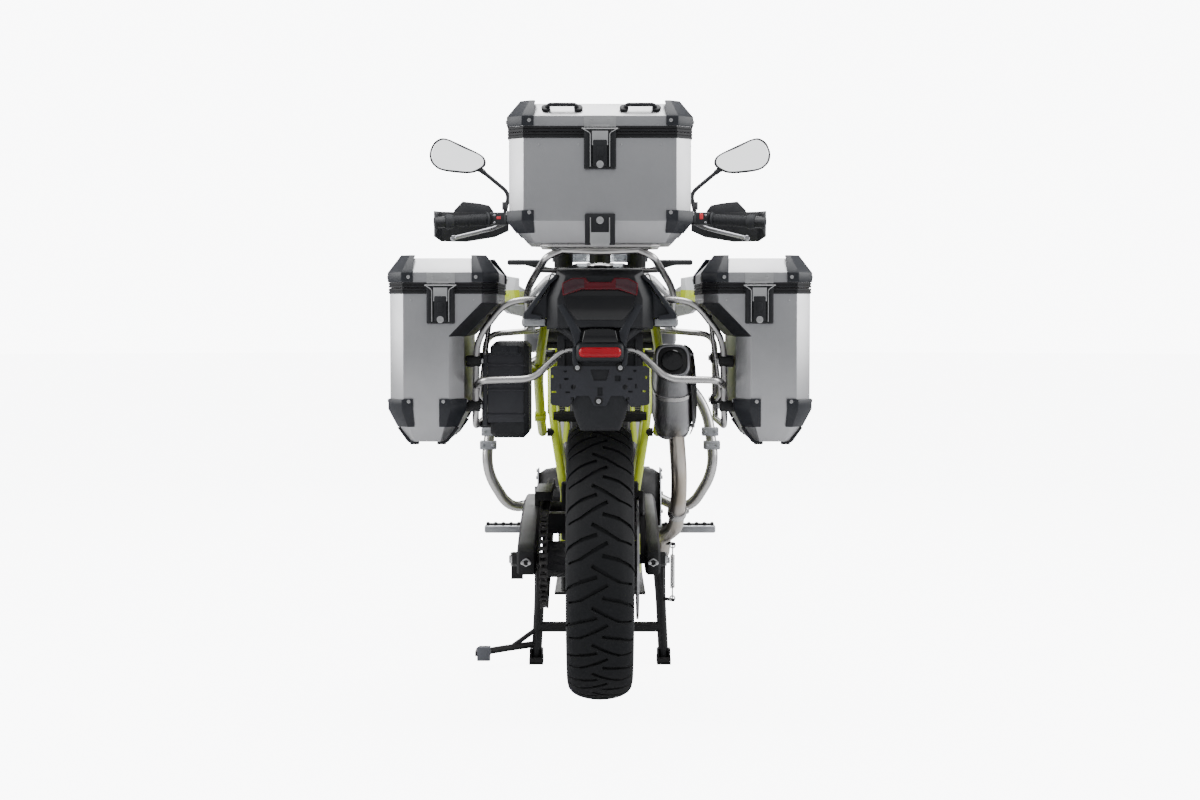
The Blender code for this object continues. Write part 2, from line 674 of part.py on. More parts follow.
GUARD_TAB_X = (-0.1600, -0.1465)
CALIPER_SIZE = (0.0360, 0.0900, 0.0560)
CALIPER_ANGLE_DEG = 62.0
CALIPER_BRACKET_X = 0.0990
CALIPER_BRACKET_SIZE = (0.0120, 0.0360)


def arm_places(x):
    """The arm's outline in the side view, in metres from the rear axle."""
    pivot = at(*PIVOT_SHARES) - REAR_AXLE
    tilt = Vector((pivot.y, pivot.z)).normalized()
    across = Vector((-tilt.y, tilt.x))
    reach = math.hypot(pivot.y, pivot.z)
    return [tilt * (along * reach) + across * (rise * ARM_DEPTH) for along, rise in x]


def make_swingarm(bodies):
    """The swingarm with its brace, its pivot tube and the chain adjusters."""
    pivot = at(*PIVOT_SHARES)
    pieces = []
    for low, high in (LEFT_ARM_X, RIGHT_ARM_X):
        centre = REAR_AXLE + Vector(((low + high) / 2, 0, 0))
        pieces.append(slab(arm_places(ARM_OUTLINE_SHARES), high - low, centre, SIDE_VIEW,
                           bevel=ARM_BEVEL))
        tail = arm_places(ARM_OUTLINE_SHARES[:1])[0]
        start = centre + Vector((0, tail.x + ARM_BEVEL, 0))
        pieces.append(rod(start, start - FORWARD * (ADJUSTER_REACH + ARM_BEVEL),
                          ADJUSTER_RADIUS, sides=ROD_SIDES // 2))
    middle = REAR_AXLE.lerp(pivot, BRACE_ALONG_SHARE)
    left, right = LEFT_ARM_X[1] - ARM_BEVEL, RIGHT_ARM_X[0] + ARM_BEVEL
    pieces.append(box((right - left, *BRACE_BLOCK), ((left + right) / 2, middle.y, middle.z)))
    pieces.append(rod((LEFT_ARM_X[0] - ARM_BEVEL, pivot.y, pivot.z),
                      (RIGHT_ARM_X[1] + ARM_BEVEL, pivot.y, pivot.z), PIVOT_TUBE_RADIUS))
    left_end = REAR_AXLE + SIDEWAYS * (LEFT_ARM_X[0] + ARM_BEVEL)
    right_end = REAR_AXLE + SIDEWAYS * (RIGHT_ARM_X[1] - ARM_BEVEL)
    nut = SIDEWAYS * (AXLE_NUT_WALL + ARM_BEVEL)
    pieces += [rod(left_end, right_end, AXLE_RADIUS),
               rod(left_end, left_end - nut, AXLE_NUT_RADIUS, sides=AXLE_NUT_SIDES),
               rod(right_end, right_end + nut, AXLE_NUT_RADIUS, sides=AXLE_NUT_SIDES)]
    pieces.append(side_slab(CHAIN_GUARD_SHARES, *CHAIN_GUARD_X))
    pieces.append(side_slab(GUARD_TAB_SHARES, *GUARD_TAB_X))
    angle = math.radians(CALIPER_ANGLE_DEG)
    reach = REAR_DISC_RADIUS - DISC_BAND / 3
    centre = REAR_AXLE + Vector((REAR_DISC_X, reach * math.cos(angle), reach * math.sin(angle)))
    pieces.append(box(CALIPER_SIZE, centre, (CALIPER_ANGLE_DEG - 90.0, 0, 0), bevel=ARM_BEVEL))
    bracket = (centre + REAR_AXLE) / 2
    bracket.x = CALIPER_BRACKET_X
    pieces.append(box((CALIPER_BRACKET_SIZE[0], CALIPER_BRACKET_SIZE[1], reach), bracket,
                      (CALIPER_ANGLE_DEG - 90.0, 0, 0)))
    finish("swingarm", cut(fused(pieces), [disc_slot(REAR_AXLE, REAR_DISC_X, REAR_DISC_RADIUS)]),
           "black_paint", bodies["root"])


def disc_slot(axle, x, radius):
    """The ring-shaped room a brake disc's band turns in."""
    low, high = x - DISC_THICKNESS, x + DISC_THICKNESS
    inner, outer = radius - DISC_BAND - RUNNING_GAP, radius + RUNNING_GAP
    return turned([(inner, low), (outer, low), (outer, high), (inner, high)], axle, SIDEWAYS,
                  closed=True)


def make_shock(bodies):
    """The rear shock between the swingarm's brace and the frame's cross tube."""
    foot = REAR_AXLE.lerp(at(*PIVOT_SHARES), BRACE_ALONG_SHARE)
    foot.x = 0
    foot.z += BRACE_BLOCK[1] / 2 + FIT_GAP + SHOCK_EYE_RADIUS * SHOCK_LEAN_SHARE
    head = at(0, *CROSS_SHARES[0][1:])
    head -= (head - foot).normalized() * (FRAME_TUBE_RADIUS + FIT_GAP)
    run = (foot - head).length
    profile = [(0, 0), (SHOCK_BODY_RADIUS, 0)]
    turn_length = run * SHOCK_SPRING_SHARES[1] / SHOCK_TURNS
    for turn in range(SHOCK_TURNS):
        start = -(run * SHOCK_SPRING_SHARES[0] + turn * turn_length)
        profile += [(SHOCK_COIL_RADIUS - SHOCK_GROOVE, start),
                    (SHOCK_COIL_RADIUS, start - turn_length / 2)]
    low = -run * sum(SHOCK_SPRING_SHARES)
    profile += [(SHOCK_COIL_RADIUS - SHOCK_GROOVE, low), (SHOCK_EYE_RADIUS, low),
                (SHOCK_EYE_RADIUS, -run), (0, -run)]
    shock = turned(profile, head, head - foot, steps=ROD_SIDES)
    finish("rear_shock", shock, "white_panel", bodies["root"])


# Engine: outlines in the side view as (along, height) shares of wheelbase and body height
CRANKCASE_SHARES = ((0.400, 0.300), (0.395, 0.480), (0.470, 0.545), (0.560, 0.555),
                    (0.640, 0.500), (0.655, 0.420), (0.655, 0.330), (0.620, 0.262),
                    (0.440, 0.262))
CRANKCASE_HALF_WIDTH = 0.1000
SUMP_CLEARANCE = 0.0060
CASTING_BEVEL = 0.0060
CYLINDER_SHARES = ((0.500, 0.540), (0.545, 0.690), (0.645, 0.660), (0.625, 0.505))
CYLINDER_HALF_WIDTH = 0.0820
HEAD_SHARES = ((0.545, 0.6904), (0.556, 0.765), (0.590, 0.790), (0.640, 0.775), (0.662, 0.735),
               (0.645, 0.6604))
HEAD_HALF_WIDTH = 0.0860
# Round covers: along, height shares, then share of the cover radius for each side
COVER_SHARES = {"left": (0.532, 0.400), "right": (0.500, 0.405)}
COVER_RADIUS = 0.0900
COVER_DEPTH = {"left": 0.0650, "right": 0.0600}
COVER_STEP = 0.0180
FRONT_SPROCKET_COVER_RADIUS = 0.0360
ENGINE_LUG_SIZE = (0.0500, 0.0300)
RADIATOR_SIZE = (0.3000, 0.0280, 0.2000)
RADIATOR_SHARES = (0.0, 0.735, 0.715)
RADIATOR_TILT_DEG = -4.0
RADIATOR_LUG_HEIGHT_SHARES = (0.640, 0.780)
RADIATOR_LUG_RADIUS = 0.0070
GUARD_OUTLINE_SHARES = ((0.728, 0.440), (0.735, 0.436), (0.734, 0.200), (0.664, 0.165),
                        (0.420, 0.165), (0.420, 0.172), (0.661, 0.172), (0.728, 0.203))
GUARD_POST_SHARES = (0.450, 0.630)
GUARD_POST_RADIUS = 0.0080
GUARD_HALF_WIDTH = 0.1200


def side_outline(shares):
    """An outline in the side view, from the rear axle, from (along, height) shares."""
    points = [at(0, along, height) - REAR_AXLE for along, height in shares]
    return [(point.y, point.z) for point in points]


def side_slab(shares, low, high, bevel=0, grow=0):
    """A slab across the motorcycle between two places in x."""
    return slab(side_outline(shares), high - low, REAR_AXLE + SIDEWAYS * ((low + high) / 2),
                SIDE_VIEW, bevel=bevel, grow=grow)


def make_engine(bodies):
    """Crankcase, cylinders, head, covers, radiator and the guard below."""
    root = bodies["root"]
    wide = CRANKCASE_HALF_WIDTH
    crankcase = side_slab(CRANKCASE_SHARES, -wide, wide, bevel=CASTING_BEVEL)
    sprocket = at(*FRONT_SPROCKET_SHARES)
    pieces = [crankcase]
    pieces.append(rod(sprocket - SIDEWAYS * (wide - CASTING_BEVEL),
                      sprocket + SIDEWAYS * (SPROCKET_X - CHAIN_WIDTH / 2),
                      FRONT_SPROCKET_COVER_RADIUS - CHAIN_HALF_DEPTH))
    mount = at(*FRONT_MOUNT_SHARES)
    lug_back = at(0, CRANKCASE_SHARES[5][0], 0).y - CASTING_BEVEL
    lug_front = mount.y - FRAME_TUBE_RADIUS - FIT_GAP
    pieces.append(box((ENGINE_LUG_SIZE[0], lug_front - lug_back, ENGINE_LUG_SIZE[1]),
                      (0, (lug_front + lug_back) / 2, mount.z)))
    for name, side in SIDES:
        along, height = COVER_SHARES[name]
        centre = at(0, along, height)
        centre.x = side * (wide - CASTING_BEVEL)
        depth = COVER_DEPTH[name] + CASTING_BEVEL
        profile = [(0, depth), (COVER_RADIUS - COVER_STEP, depth), (COVER_RADIUS - COVER_STEP / 3,
                   depth - COVER_STEP), (COVER_RADIUS, COVER_STEP), (COVER_RADIUS, 0), (0, 0)]
        pieces.append(turned(profile, centre, side * SIDEWAYS, steps=2 * ROD_SIDES))
    finish("crankcase", fused(pieces), "cast_aluminium", root)
    block = side_slab(CYLINDER_SHARES, -CYLINDER_HALF_WIDTH, CYLINDER_HALF_WIDTH,
                      bevel=CASTING_BEVEL)
    seat = side_slab(CRANKCASE_SHARES, -wide, wide, grow=FIT_GAP)
    finish("cylinder_block", cut(block, [seat]), "engine_black", root)
    head = side_slab(HEAD_SHARES, -HEAD_HALF_WIDTH, HEAD_HALF_WIDTH, bevel=CASTING_BEVEL)
    finish("cylinder_head", head, "engine_black", root)
    core = at(*RADIATOR_SHARES)
    radiator = [box(RADIATOR_SIZE, core, (RADIATOR_TILT_DEG, 0, 0), bevel=CASTING_BEVEL / 2)]
    for _, side in SIDES:
        for height in RADIATOR_LUG_HEIGHT_SHARES:
            carrier = at_height(CRADLE_SHARES, height)
            run = (at(*CRADLE_SHARES[2]) - at(*CRADLE_SHARES[1])).normalized()
            target = Vector((carrier.x, core.y, carrier.z))
            radiator.append(stub(*mirrored((carrier, run, target), side), FRAME_TUBE_RADIUS,
                                 RADIATOR_LUG_RADIUS))
    finish("radiator", fused(radiator), "black_paint", root)
    guard = [side_slab(GUARD_OUTLINE_SHARES, -GUARD_HALF_WIDTH, GUARD_HALF_WIDTH)]
    for _, side in SIDES:
        for along in GUARD_POST_SHARES:
            top = at(side * CRADLE_SHARES[3][0], along, CRADLE_SHARES[3][2])
            top.z -= FRAME_TUBE_RADIUS + FIT_GAP
            guard.append(rod(top, (top.x, top.y, GUARD_OUTLINE_SHARES[4][1] * BODY_HEIGHT
                                   + FIT_GAP), GUARD_POST_RADIUS, sides=ROD_SIDES // 2))
    finish("engine_guard", fused(guard), "case_aluminium", root)


# Exhaust, from the cylinder head to the clamp and from the clamp into the muffler
HEADER_SHARES = ((0.22, 0.665, 0.700), (0.22, 0.705, 0.690), (0.26, 0.706, 0.330),
                 (0.70, 0.690, 0.262), (0.80, 0.500, 0.262), (0.825, 0.430, 0.272),
                 (0.825, 0.345, 0.335), (0.83, 0.270, 0.350), (0.93, 0.205, 0.380))
LEFT_HEADER_SHARES = ((-0.22, 0.665, 0.700), (-0.22, 0.705, 0.690), (-0.22, 0.706, 0.480),
                      (0.24, 0.706, 0.360))
CLAMP_SHARES = (0.9375, 0.165, 0.425)
MUFFLER_PIPE_SHARES = ((0.945, 0.125, 0.470), (0.94, 0.100, 0.530), (0.90, 0.090, 0.630))
HEADER_RADIUS = 0.0190
CLAMP_RADIUS = 0.0240
CLAMP_WIDTH = 0.0240
HEADER_FLANGE = (0.0600, 0.0200, 0.0480)
# Muffler sections: along share, middle x and height shares, half width and half height shares
MUFFLER_SHARES = ((0.125, 0.87, 0.630, 0.40, 0.40), (0.105, 0.86, 0.650, 0.80, 0.80),
                  (0.050, 0.85, 0.690, 1.00, 1.00), (-0.040, 0.82, 0.760, 0.94, 0.88),
                  (-0.100, 0.80, 0.800, 0.84, 0.74), (-0.106, 0.80, 0.801, 0.78, 0.68))
MUFFLER_HALF_WIDTH = 0.0490
MUFFLER_HALF_HEIGHT = 0.0580
MUFFLER_SIDES = 16
MUFFLER_SQUARENESS = 3.2
OUTLET_RADIUS = 0.0210
OUTLET_DEPTH = 0.0600


def rounded_ring(centre, half_width, half_height, across, up, squareness, count):
    """Points round a squared ellipse in the plane of two directions."""
    ring = []
    for step in range(count):
        angle = math.tau * (step + 0.5) / count
        c, s = math.cos(angle), math.sin(angle)
        x = math.copysign(abs(c) ** (2 / squareness), c)
        y = math.copysign(abs(s) ** (2 / squareness), s)
        ring.append(Vector(centre) + across * (x * half_width) + up * (y * half_height))
    return ring


def make_exhaust(bodies):
    """Headers with the collector, the link pipe and the muffler."""
    joint = at(*CLAMP_SHARES)
    head_face = at(0, HEAD_SHARES[4][0], 0).y
    along = (at(*MUFFLER_PIPE_SHARES[0]) - at(*HEADER_SHARES[-1])).normalized()
    main_path = [*places(HEADER_SHARES), joint]
    branch = places(LEFT_HEADER_SHARES)
    for path in (main_path, branch):
        path[0].y = head_face - HEADER_FLANGE[1]
    pipes = [tube(main_path, HEADER_RADIUS, ring=SMOOTH_RING_STEPS), tube(branch, HEADER_RADIUS)]
    pipes.append(rod(joint - along * CLAMP_WIDTH, joint, CLAMP_RADIUS))
    for path in (main_path, branch):
        pipes.append(box(HEADER_FLANGE, path[0]))
    head = side_slab(HEAD_SHARES, -HEAD_HALF_WIDTH, HEAD_HALF_WIDTH, grow=FIT_GAP)
    finish("exhaust_headers", cut(fused(pipes), [head]), "stainless", bodies["root"])
    link = tube([joint + along * FIT_GAP, *places(MUFFLER_PIPE_SHARES)], HEADER_RADIUS)
    rings = []
    for along, x, height, width_share, height_share in MUFFLER_SHARES:
        rings.append(rounded_ring(at(x, along, height), MUFFLER_HALF_WIDTH * width_share,
                                  MUFFLER_HALF_HEIGHT * height_share, SIDEWAYS, UPWARD,
                                  MUFFLER_SQUARENESS, MUFFLER_SIDES))
    end = at(*[MUFFLER_SHARES[-1][i] for i in (1, 0, 2)])
    outlet = rod(end - FORWARD * CUT_OVERRUN, end + FORWARD * OUTLET_DEPTH, OUTLET_RADIUS)
    muffler = cut(fused([loft(rings), link]), [outlet])
    finish("muffler", muffler, "stainless", bodies["root"])


# Bodywork. Sections: along share, then shares of the half width and of the body height
TANK_SHARES = ((0.425, 0.62, 0.845, 0.870), (0.440, 0.78, 0.810, 0.915),
               (0.520, 0.98, 0.800, 1.000), (0.600, 1.05, 0.830, 1.040),
               (0.650, 0.92, 0.880, 1.045), (0.665, 0.80, 0.920, 1.030))
TANK_CREST_SHARE = 0.45
TANK_SHOULDER_SHARE = 0.72
RIDER_SEAT_SHARES = ((0.2102, 0.74, 0.850, 0.925), (0.235, 0.76, 0.838, 0.890),
                     (0.330, 0.76, 0.817, 0.872), (0.395, 0.66, 0.815, 0.868),
                     (0.418, 0.50, 0.845, 0.868))
PILLION_SEAT_SHARES = ((-0.060, 0.48, 0.950, 0.990), (-0.045, 0.58, 0.940, 1.005),
                       (0.080, 0.66, 0.900, 0.985), (0.195, 0.70, 0.860, 0.955),
                       (0.210, 0.64, 0.860, 0.935))
SEAT_EDGE_SHARE = 0.80
TAIL_SHARES = ((-0.165, 0.46, 0.876, 0.988), (-0.150, 0.58, 0.872, 1.000),
               (-0.112, 0.58, 0.885, 1.006))


def crowned_ring(along, half_share, low_share, high_share, edge_share, crest_share=0.0):
    """A section across the motorcycle, flat below and crowned above."""
    rows = ((1.0, 0.0), (1.0, 0.55), (edge_share, 1.0 - crest_share * 0.35), (0.35, 1.0))
    right = []
    for width, rise in rows:
        height = low_share + (high_share - low_share) * rise
        right.append(at(half_share * width, along, height))
    return right + mirrored(right[::-1], -1)


def make_bodywork(bodies):
    """Tank, seats and tail cowl."""
    root = bodies["root"]
    tank = loft([crowned_ring(a, w, low, high, TANK_SHOULDER_SHARE, TANK_CREST_SHARE)
                 for a, w, low, high in TANK_SHARES])
    tunnels = grown_tubes((SPAR_SHARES, *BRACE_SHARES, LOWER_SPAR_SHARES, CRADLE_SHARES[:3]),
                          FRAME_TUBE_RADIUS, overrun=CUT_OVERRUN)
    finish("fuel_tank", cut(tank, tunnels), "black_paint", root)
    for name, table in (("rider_seat", RIDER_SEAT_SHARES), ("pillion_seat", PILLION_SEAT_SHARES)):
        cushion = loft([crowned_ring(a, w, low, high, SEAT_EDGE_SHARE)
                        for a, w, low, high in table])
        carriers = grown_tubes((RAIL_SHARES,), SUBFRAME_TUBE_RADIUS)
        carriers += grown_tubes((SPAR_SHARES[1:],), FRAME_TUBE_RADIUS)
        carriers += [grab_boss(side, FIT_GAP) for _, side in SIDES]
        carriers += [cross_rod(row, FIT_GAP) for row in SUBFRAME_CROSS_SHARES]
        finish(name, cut(cushion, carriers), "vinyl", root)
    cowl = loft([crowned_ring(a, w, low, high, SEAT_EDGE_SHARE) for a, w, low, high in TAIL_SHARES])
    finish("tail_cowl", cut(cowl, grown_tubes((RAIL_SHARES,), SUBFRAME_TUBE_RADIUS,
                                              overrun=FIT_GAP)), "black_plastic", root)


# Cases. Sections of a case from below: height, then its inner, outer, rear and front insets
CASE_WALL = 0.0030
CASE_CORNER = 0.0320
SIDE_CASE_REAR_SHARE = -0.125
SIDE_CASE_LENGTH = 0.4600
SIDE_CASE_OUTER_X = 0.4640
SIDE_CASE_TOP_WIDTH = 0.2360
SIDE_CASE_LOW_WIDTH = 0.1640
SIDE_CASE_FLOOR = 0.6220
SIDE_CASE_BEVEL_RISE = 0.0730
SIDE_CASE_STEP_RISE = 0.0750
SIDE_CASE_COLLAR_RISE = 0.0320
SIDE_CASE_RIM = 0.9620
SIDE_CASE_LID_WALL_RISE = 0.0340
SIDE_CASE_LID_SLOPE_RISE = 0.0320
SIDE_CASE_BEVEL_TOP = SIDE_CASE_FLOOR + SIDE_CASE_BEVEL_RISE
SIDE_CASE_STEP_HIGH = SIDE_CASE_RIM - SIDE_CASE_COLLAR_RISE
SIDE_CASE_STEP_LOW = SIDE_CASE_STEP_HIGH - SIDE_CASE_STEP_RISE
SIDE_CASE_LID_EDGE = SIDE_CASE_RIM + SIDE_CASE_LID_WALL_RISE
SIDE_CASE_TOP = SIDE_CASE_LID_EDGE + SIDE_CASE_LID_SLOPE_RISE
CASE_BOTTOM_INSET = 0.0380
CASE_LID_INSET = 0.0320
CASE_FLOOR_WALL = 0.0060

TOP_CASE_WIDTH = 0.3860
TOP_CASE_LENGTH = 0.3600
TOP_CASE_FLOOR = 1.0560
TOP_CASE_BEVEL_RISE = 0.0450
TOP_CASE_RIM = 1.2880
TOP_CASE_LID_WALL_RISE = 0.0335
TOP_CASE_LID_SLOPE_RISE = 0.0285
TOP_CASE_BEVEL_TOP = TOP_CASE_FLOOR + TOP_CASE_BEVEL_RISE
TOP_CASE_LID_EDGE = TOP_CASE_RIM + TOP_CASE_LID_WALL_RISE
TOP_CASE_TOP = TOP_CASE_LID_EDGE + TOP_CASE_LID_SLOPE_RISE
LID_HINGE_RADIUS = 0.0050
LID_RANGE_DEG = 85.0


def case_ring(x_low, x_high, y_low, y_high, corner, height):
    """A plan section of a case with its four corners cut."""
    return [Vector((x, y, height)) for x, y in (
        (x_low + corner, y_low), (x_high - corner, y_low), (x_high, y_low + corner),
        (x_high, y_high - corner), (x_high - corner, y_high), (x_low + corner, y_high),
        (x_low, y_high - corner), (x_low, y_low + corner))]


def case_shell(rows, wall, floor_wall, open_end):
    """A tray through rows of plan sections, one end open; rows run away from the open end."""
    outer = [case_ring(*row) for row in rows]
    inner = []
    for index, (x_low, x_high, y_low, y_high, corner, height) in enumerate(rows):
        if index == len(rows) - 1:
            height += open_end * floor_wall
        inner.append(case_ring(x_low + wall, x_high - wall, y_low + wall, y_high - wall,
                               corner - wall / 2, height))
    return loft(outer[::-1] + inner)


def make_side_case(name, side, bodies):
    """A stepped side case with its hinged lid."""
    rear = REAR_AXLE_Y + SIDE_CASE_REAR_SHARE * WHEELBASE
    front = rear + SIDE_CASE_LENGTH
    outer_x = SIDE_CASE_OUTER_X
    upper_x = outer_x - SIDE_CASE_TOP_WIDTH
    lower_x = outer_x - SIDE_CASE_LOW_WIDTH

    def row(inner_x, inset, corner, height):
        low, high = inner_x + inset, outer_x - inset
        if side < 0:
            low, high = -high, -low
        return (low, high, rear + inset, front - inset, corner, height)

    body_rows = [row(upper_x, 0, CASE_CORNER, SIDE_CASE_RIM),
                 row(upper_x, 0, CASE_CORNER, SIDE_CASE_STEP_HIGH),
                 row(lower_x, 0, CASE_CORNER, SIDE_CASE_STEP_LOW),
                 row(lower_x, 0, CASE_CORNER, SIDE_CASE_BEVEL_TOP),
                 row(lower_x, CASE_BOTTOM_INSET, CASE_CORNER / 2, SIDE_CASE_FLOOR)]
    body = case_shell(body_rows, CASE_WALL, CASE_FLOOR_WALL, 1)
    finish(f"{name}_side_case", body, "case_aluminium", bodies["root"])
    edge = SIDE_CASE_RIM + FIT_GAP
    lid_rows = [row(upper_x, 0, CASE_CORNER, edge),
                row(upper_x, 0, CASE_CORNER, SIDE_CASE_LID_EDGE),
                row(upper_x, CASE_LID_INSET, CASE_CORNER / 2, SIDE_CASE_TOP)]
    lid = case_shell(lid_rows, CASE_WALL, CASE_WALL, -1)
    finish(f"{name}_case_lid", lid, "case_aluminium", bodies[f"{name}_lid"])


def make_top_case(bodies):
    """The top case with its hinged lid."""
    rear = REAR_AXLE_Y - REAR_OVERHANG
    front = rear + TOP_CASE_LENGTH
    half = TOP_CASE_WIDTH / 2

    def row(inset, corner, height):
        return (-half + inset, half - inset, rear + inset, front - inset, corner, height)

    body = case_shell([row(0, CASE_CORNER, TOP_CASE_RIM), row(0, CASE_CORNER, TOP_CASE_BEVEL_TOP),
                       row(CASE_BOTTOM_INSET, CASE_CORNER / 2, TOP_CASE_FLOOR)],
                      CASE_WALL, CASE_FLOOR_WALL, 1)
    finish("top_case", body, "case_aluminium", bodies["root"])
    lid = case_shell([row(0, CASE_CORNER, TOP_CASE_RIM + FIT_GAP),
                      row(0, CASE_CORNER, TOP_CASE_LID_EDGE),
                      row(CASE_LID_INSET, CASE_CORNER / 2, TOP_CASE_TOP)],
                     CASE_WALL, CASE_WALL, -1)
    finish("top_case_lid", lid, "case_aluminium", bodies["top_lid"])


# Racks
HOOP_SHARES = ((0.512, -0.088, 0.942), (1.05, -0.088, 0.932), (1.37, -0.082, 0.850),
               (1.39, -0.080, 0.655), (1.38, 0.130, 0.655), (1.37, 0.130, 0.855),
               (0.667, 0.150, 0.867))
CROSS_TUBE_SHARES = ((0.20, -0.128, 0.828), (0.40, -0.128, 0.826), (0.74, -0.128, 0.762),
                     (1.30, -0.126, 0.760), (1.380, -0.082, 0.745))
PUCK_SHARES = ((1.385, -0.0805, 0.700), (1.375, 0.130, 0.700), (1.375, -0.0815, 0.800),
               (1.370, 0.130, 0.800))
PUCK_SIZE = 0.0240
PUCK_LAP = 0.0020
CARRIER_SIZE = (0.2600, 0.2400, 0.0060)
CARRIER_ALONG_SHARE = -0.110
GRAB_SEAT_SHARE = 0.80
GRAB_RAIL_SHARES = ((0.84, 0.098, 0.886), (0.82, -0.070, 0.960), (0.58, -0.150, 1.030),
                    (0.40, -0.150, 1.052))


def grab_boss(side, grow=0):
    """The boss between a rail and the start of the carrier's tube."""
    start = at(*RAIL_SHARES[2]).lerp(at(*RAIL_SHARES[3]), GRAB_SEAT_SHARE)
    end = at(*GRAB_RAIL_SHARES[0])
    run = (end - start).normalized()
    return rod(*mirrored((start - run * grow, end), side), BOLT_BOSS_RADIUS + grow)


def make_racks(bodies):
    """Side case hoops joined by the rear cross tube, and the top case carrier."""
    right = places(CROSS_TUBE_SHARES)
    pieces = [tube(mirrored(right[::-1], -1) + right, RACK_TUBE_RADIUS, ring=SMOOTH_RING_STEPS)]
    for _, side in SIDES:
        pieces.append(tube(mirrored(places(HOOP_SHARES), side), RACK_TUBE_RADIUS,
                           ring=SMOOTH_RING_STEPS))
        case_x = SIDE_CASE_OUTER_X - SIDE_CASE_LOW_WIDTH - FIT_GAP
        for row in PUCK_SHARES:
            start = at(*row)
            inner = start.x - RACK_TUBE_RADIUS - PUCK_LAP
            pieces.append(box((case_x - inner, PUCK_SIZE, PUCK_SIZE),
                              (side * (case_x + inner) / 2, start.y, start.z)))
    carriers = grown_tubes((RAIL_SHARES,), SUBFRAME_TUBE_RADIUS)
    finish("side_case_rack", cut(fused(pieces), carriers), "stainless", bodies["root"])
    centre = at(0, CARRIER_ALONG_SHARE, 0)
    centre.z = TOP_CASE_FLOOR - FIT_GAP - CARRIER_SIZE[2] / 2
    plate = [box(CARRIER_SIZE, centre, bevel=CARRIER_SIZE[2] / 4)]
    for _, side in SIDES:
        path = places(GRAB_RAIL_SHARES)
        path[-1].z = centre.z - RACK_TUBE_RADIUS
        plate.append(tube(mirrored(path, side), RACK_TUBE_RADIUS, ring=SMOOTH_RING_STEPS))
        plate.append(grab_boss(side))
    carriers = grown_tubes((RAIL_SHARES,), SUBFRAME_TUBE_RADIUS)
    finish("top_case_carrier", cut(fused(plate), carriers), "stainless", bodies["root"])


# Centre stand
STAND_PIVOT_SHARES = (0.0, 0.350, 0.270)
STAND_FOOT_SHARES = (0.825, 0.368, 0.0)
STAND_KNEE_SHARES = (0.78, 0.356, 0.180)
STAND_TUBE_RADIUS = 0.0130
STAND_EYE_RADIUS = 0.0200
STAND_EYE_WALL = 0.0240
STAND_PIN_RADIUS = 0.0080
STAND_BAR_HEIGHT = 0.0950
STAND_FOOT_SIZE = (0.0360, 0.0700, 0.0160)
STAND_LEVER_SHARES = ((-0.80, 0.366, 0.050), (-1.15, 0.350, 0.044), (-1.50, 0.320, 0.040))
STAND_PEDAL_SIZE = (0.0360, 0.0600, 0.0120)
STAND_RANGE_DEG = 80.0


def make_centre_stand(bodies):
    """The centre stand with its feet, cross bar and foot lever."""
    pivot, knee, foot = at(*STAND_PIVOT_SHARES), at(*STAND_KNEE_SHARES), at(*STAND_FOOT_SHARES)
    pieces = []
    for _, side in SIDES:
        eye = Vector((side * knee.x, pivot.y, pivot.z))
        pieces.append(rod(eye - SIDEWAYS * STAND_EYE_WALL / 2, eye + SIDEWAYS * STAND_EYE_WALL / 2,
                          STAND_EYE_RADIUS))
        sole = Vector((foot.x, foot.y, STAND_FOOT_SIZE[2] / 2))
        pieces.append(tube(mirrored([Vector((knee.x, pivot.y, pivot.z)), knee, sole], side),
                           STAND_TUBE_RADIUS))
        pieces.append(box(STAND_FOOT_SIZE, (side * foot.x, foot.y, STAND_FOOT_SIZE[2] / 2)))
    bar = at(STAND_KNEE_SHARES[0], 0, 0).x
    share = (pivot.z - STAND_BAR_HEIGHT) / pivot.z
    bar_y = pivot.y + (foot.y - pivot.y) * share
    pieces.append(rod((-bar, bar_y, STAND_BAR_HEIGHT), (bar, bar_y, STAND_BAR_HEIGHT),
                      STAND_TUBE_RADIUS))
    lever = places(STAND_LEVER_SHARES)
    pieces.append(tube(lever, STAND_TUBE_RADIUS * 0.7))
    pieces.append(rod((-bar, bar_y, STAND_BAR_HEIGHT), lever[1], STAND_TUBE_RADIUS * 0.5))
    pieces.append(box(STAND_PEDAL_SIZE, lever[-1]))
    bore = rod((-BODY_HALF_WIDTH, pivot.y, pivot.z), (BODY_HALF_WIDTH, pivot.y, pivot.z),
               STAND_PIN_RADIUS + FIT_GAP)
    finish("centre_stand", cut(fused(pieces), [bore]), "black_paint", bodies["centre_stand"])


# Tail lamp and plate carrier. Rear view outline in shares of half width and height
TAIL_LAMP_HALF_WIDTH = 0.0830
TAIL_LAMP_HEIGHT = 0.0400
TAIL_LAMP_LOW = 0.9440
TAIL_LAMP_DEPTH = 0.0140
TAIL_LAMP_SHARES = ((0.0, 0.12), (0.60, 0.0), (1.0, 0.50), (1.0, 1.0), (0.55, 0.78), (0.0, 0.80))
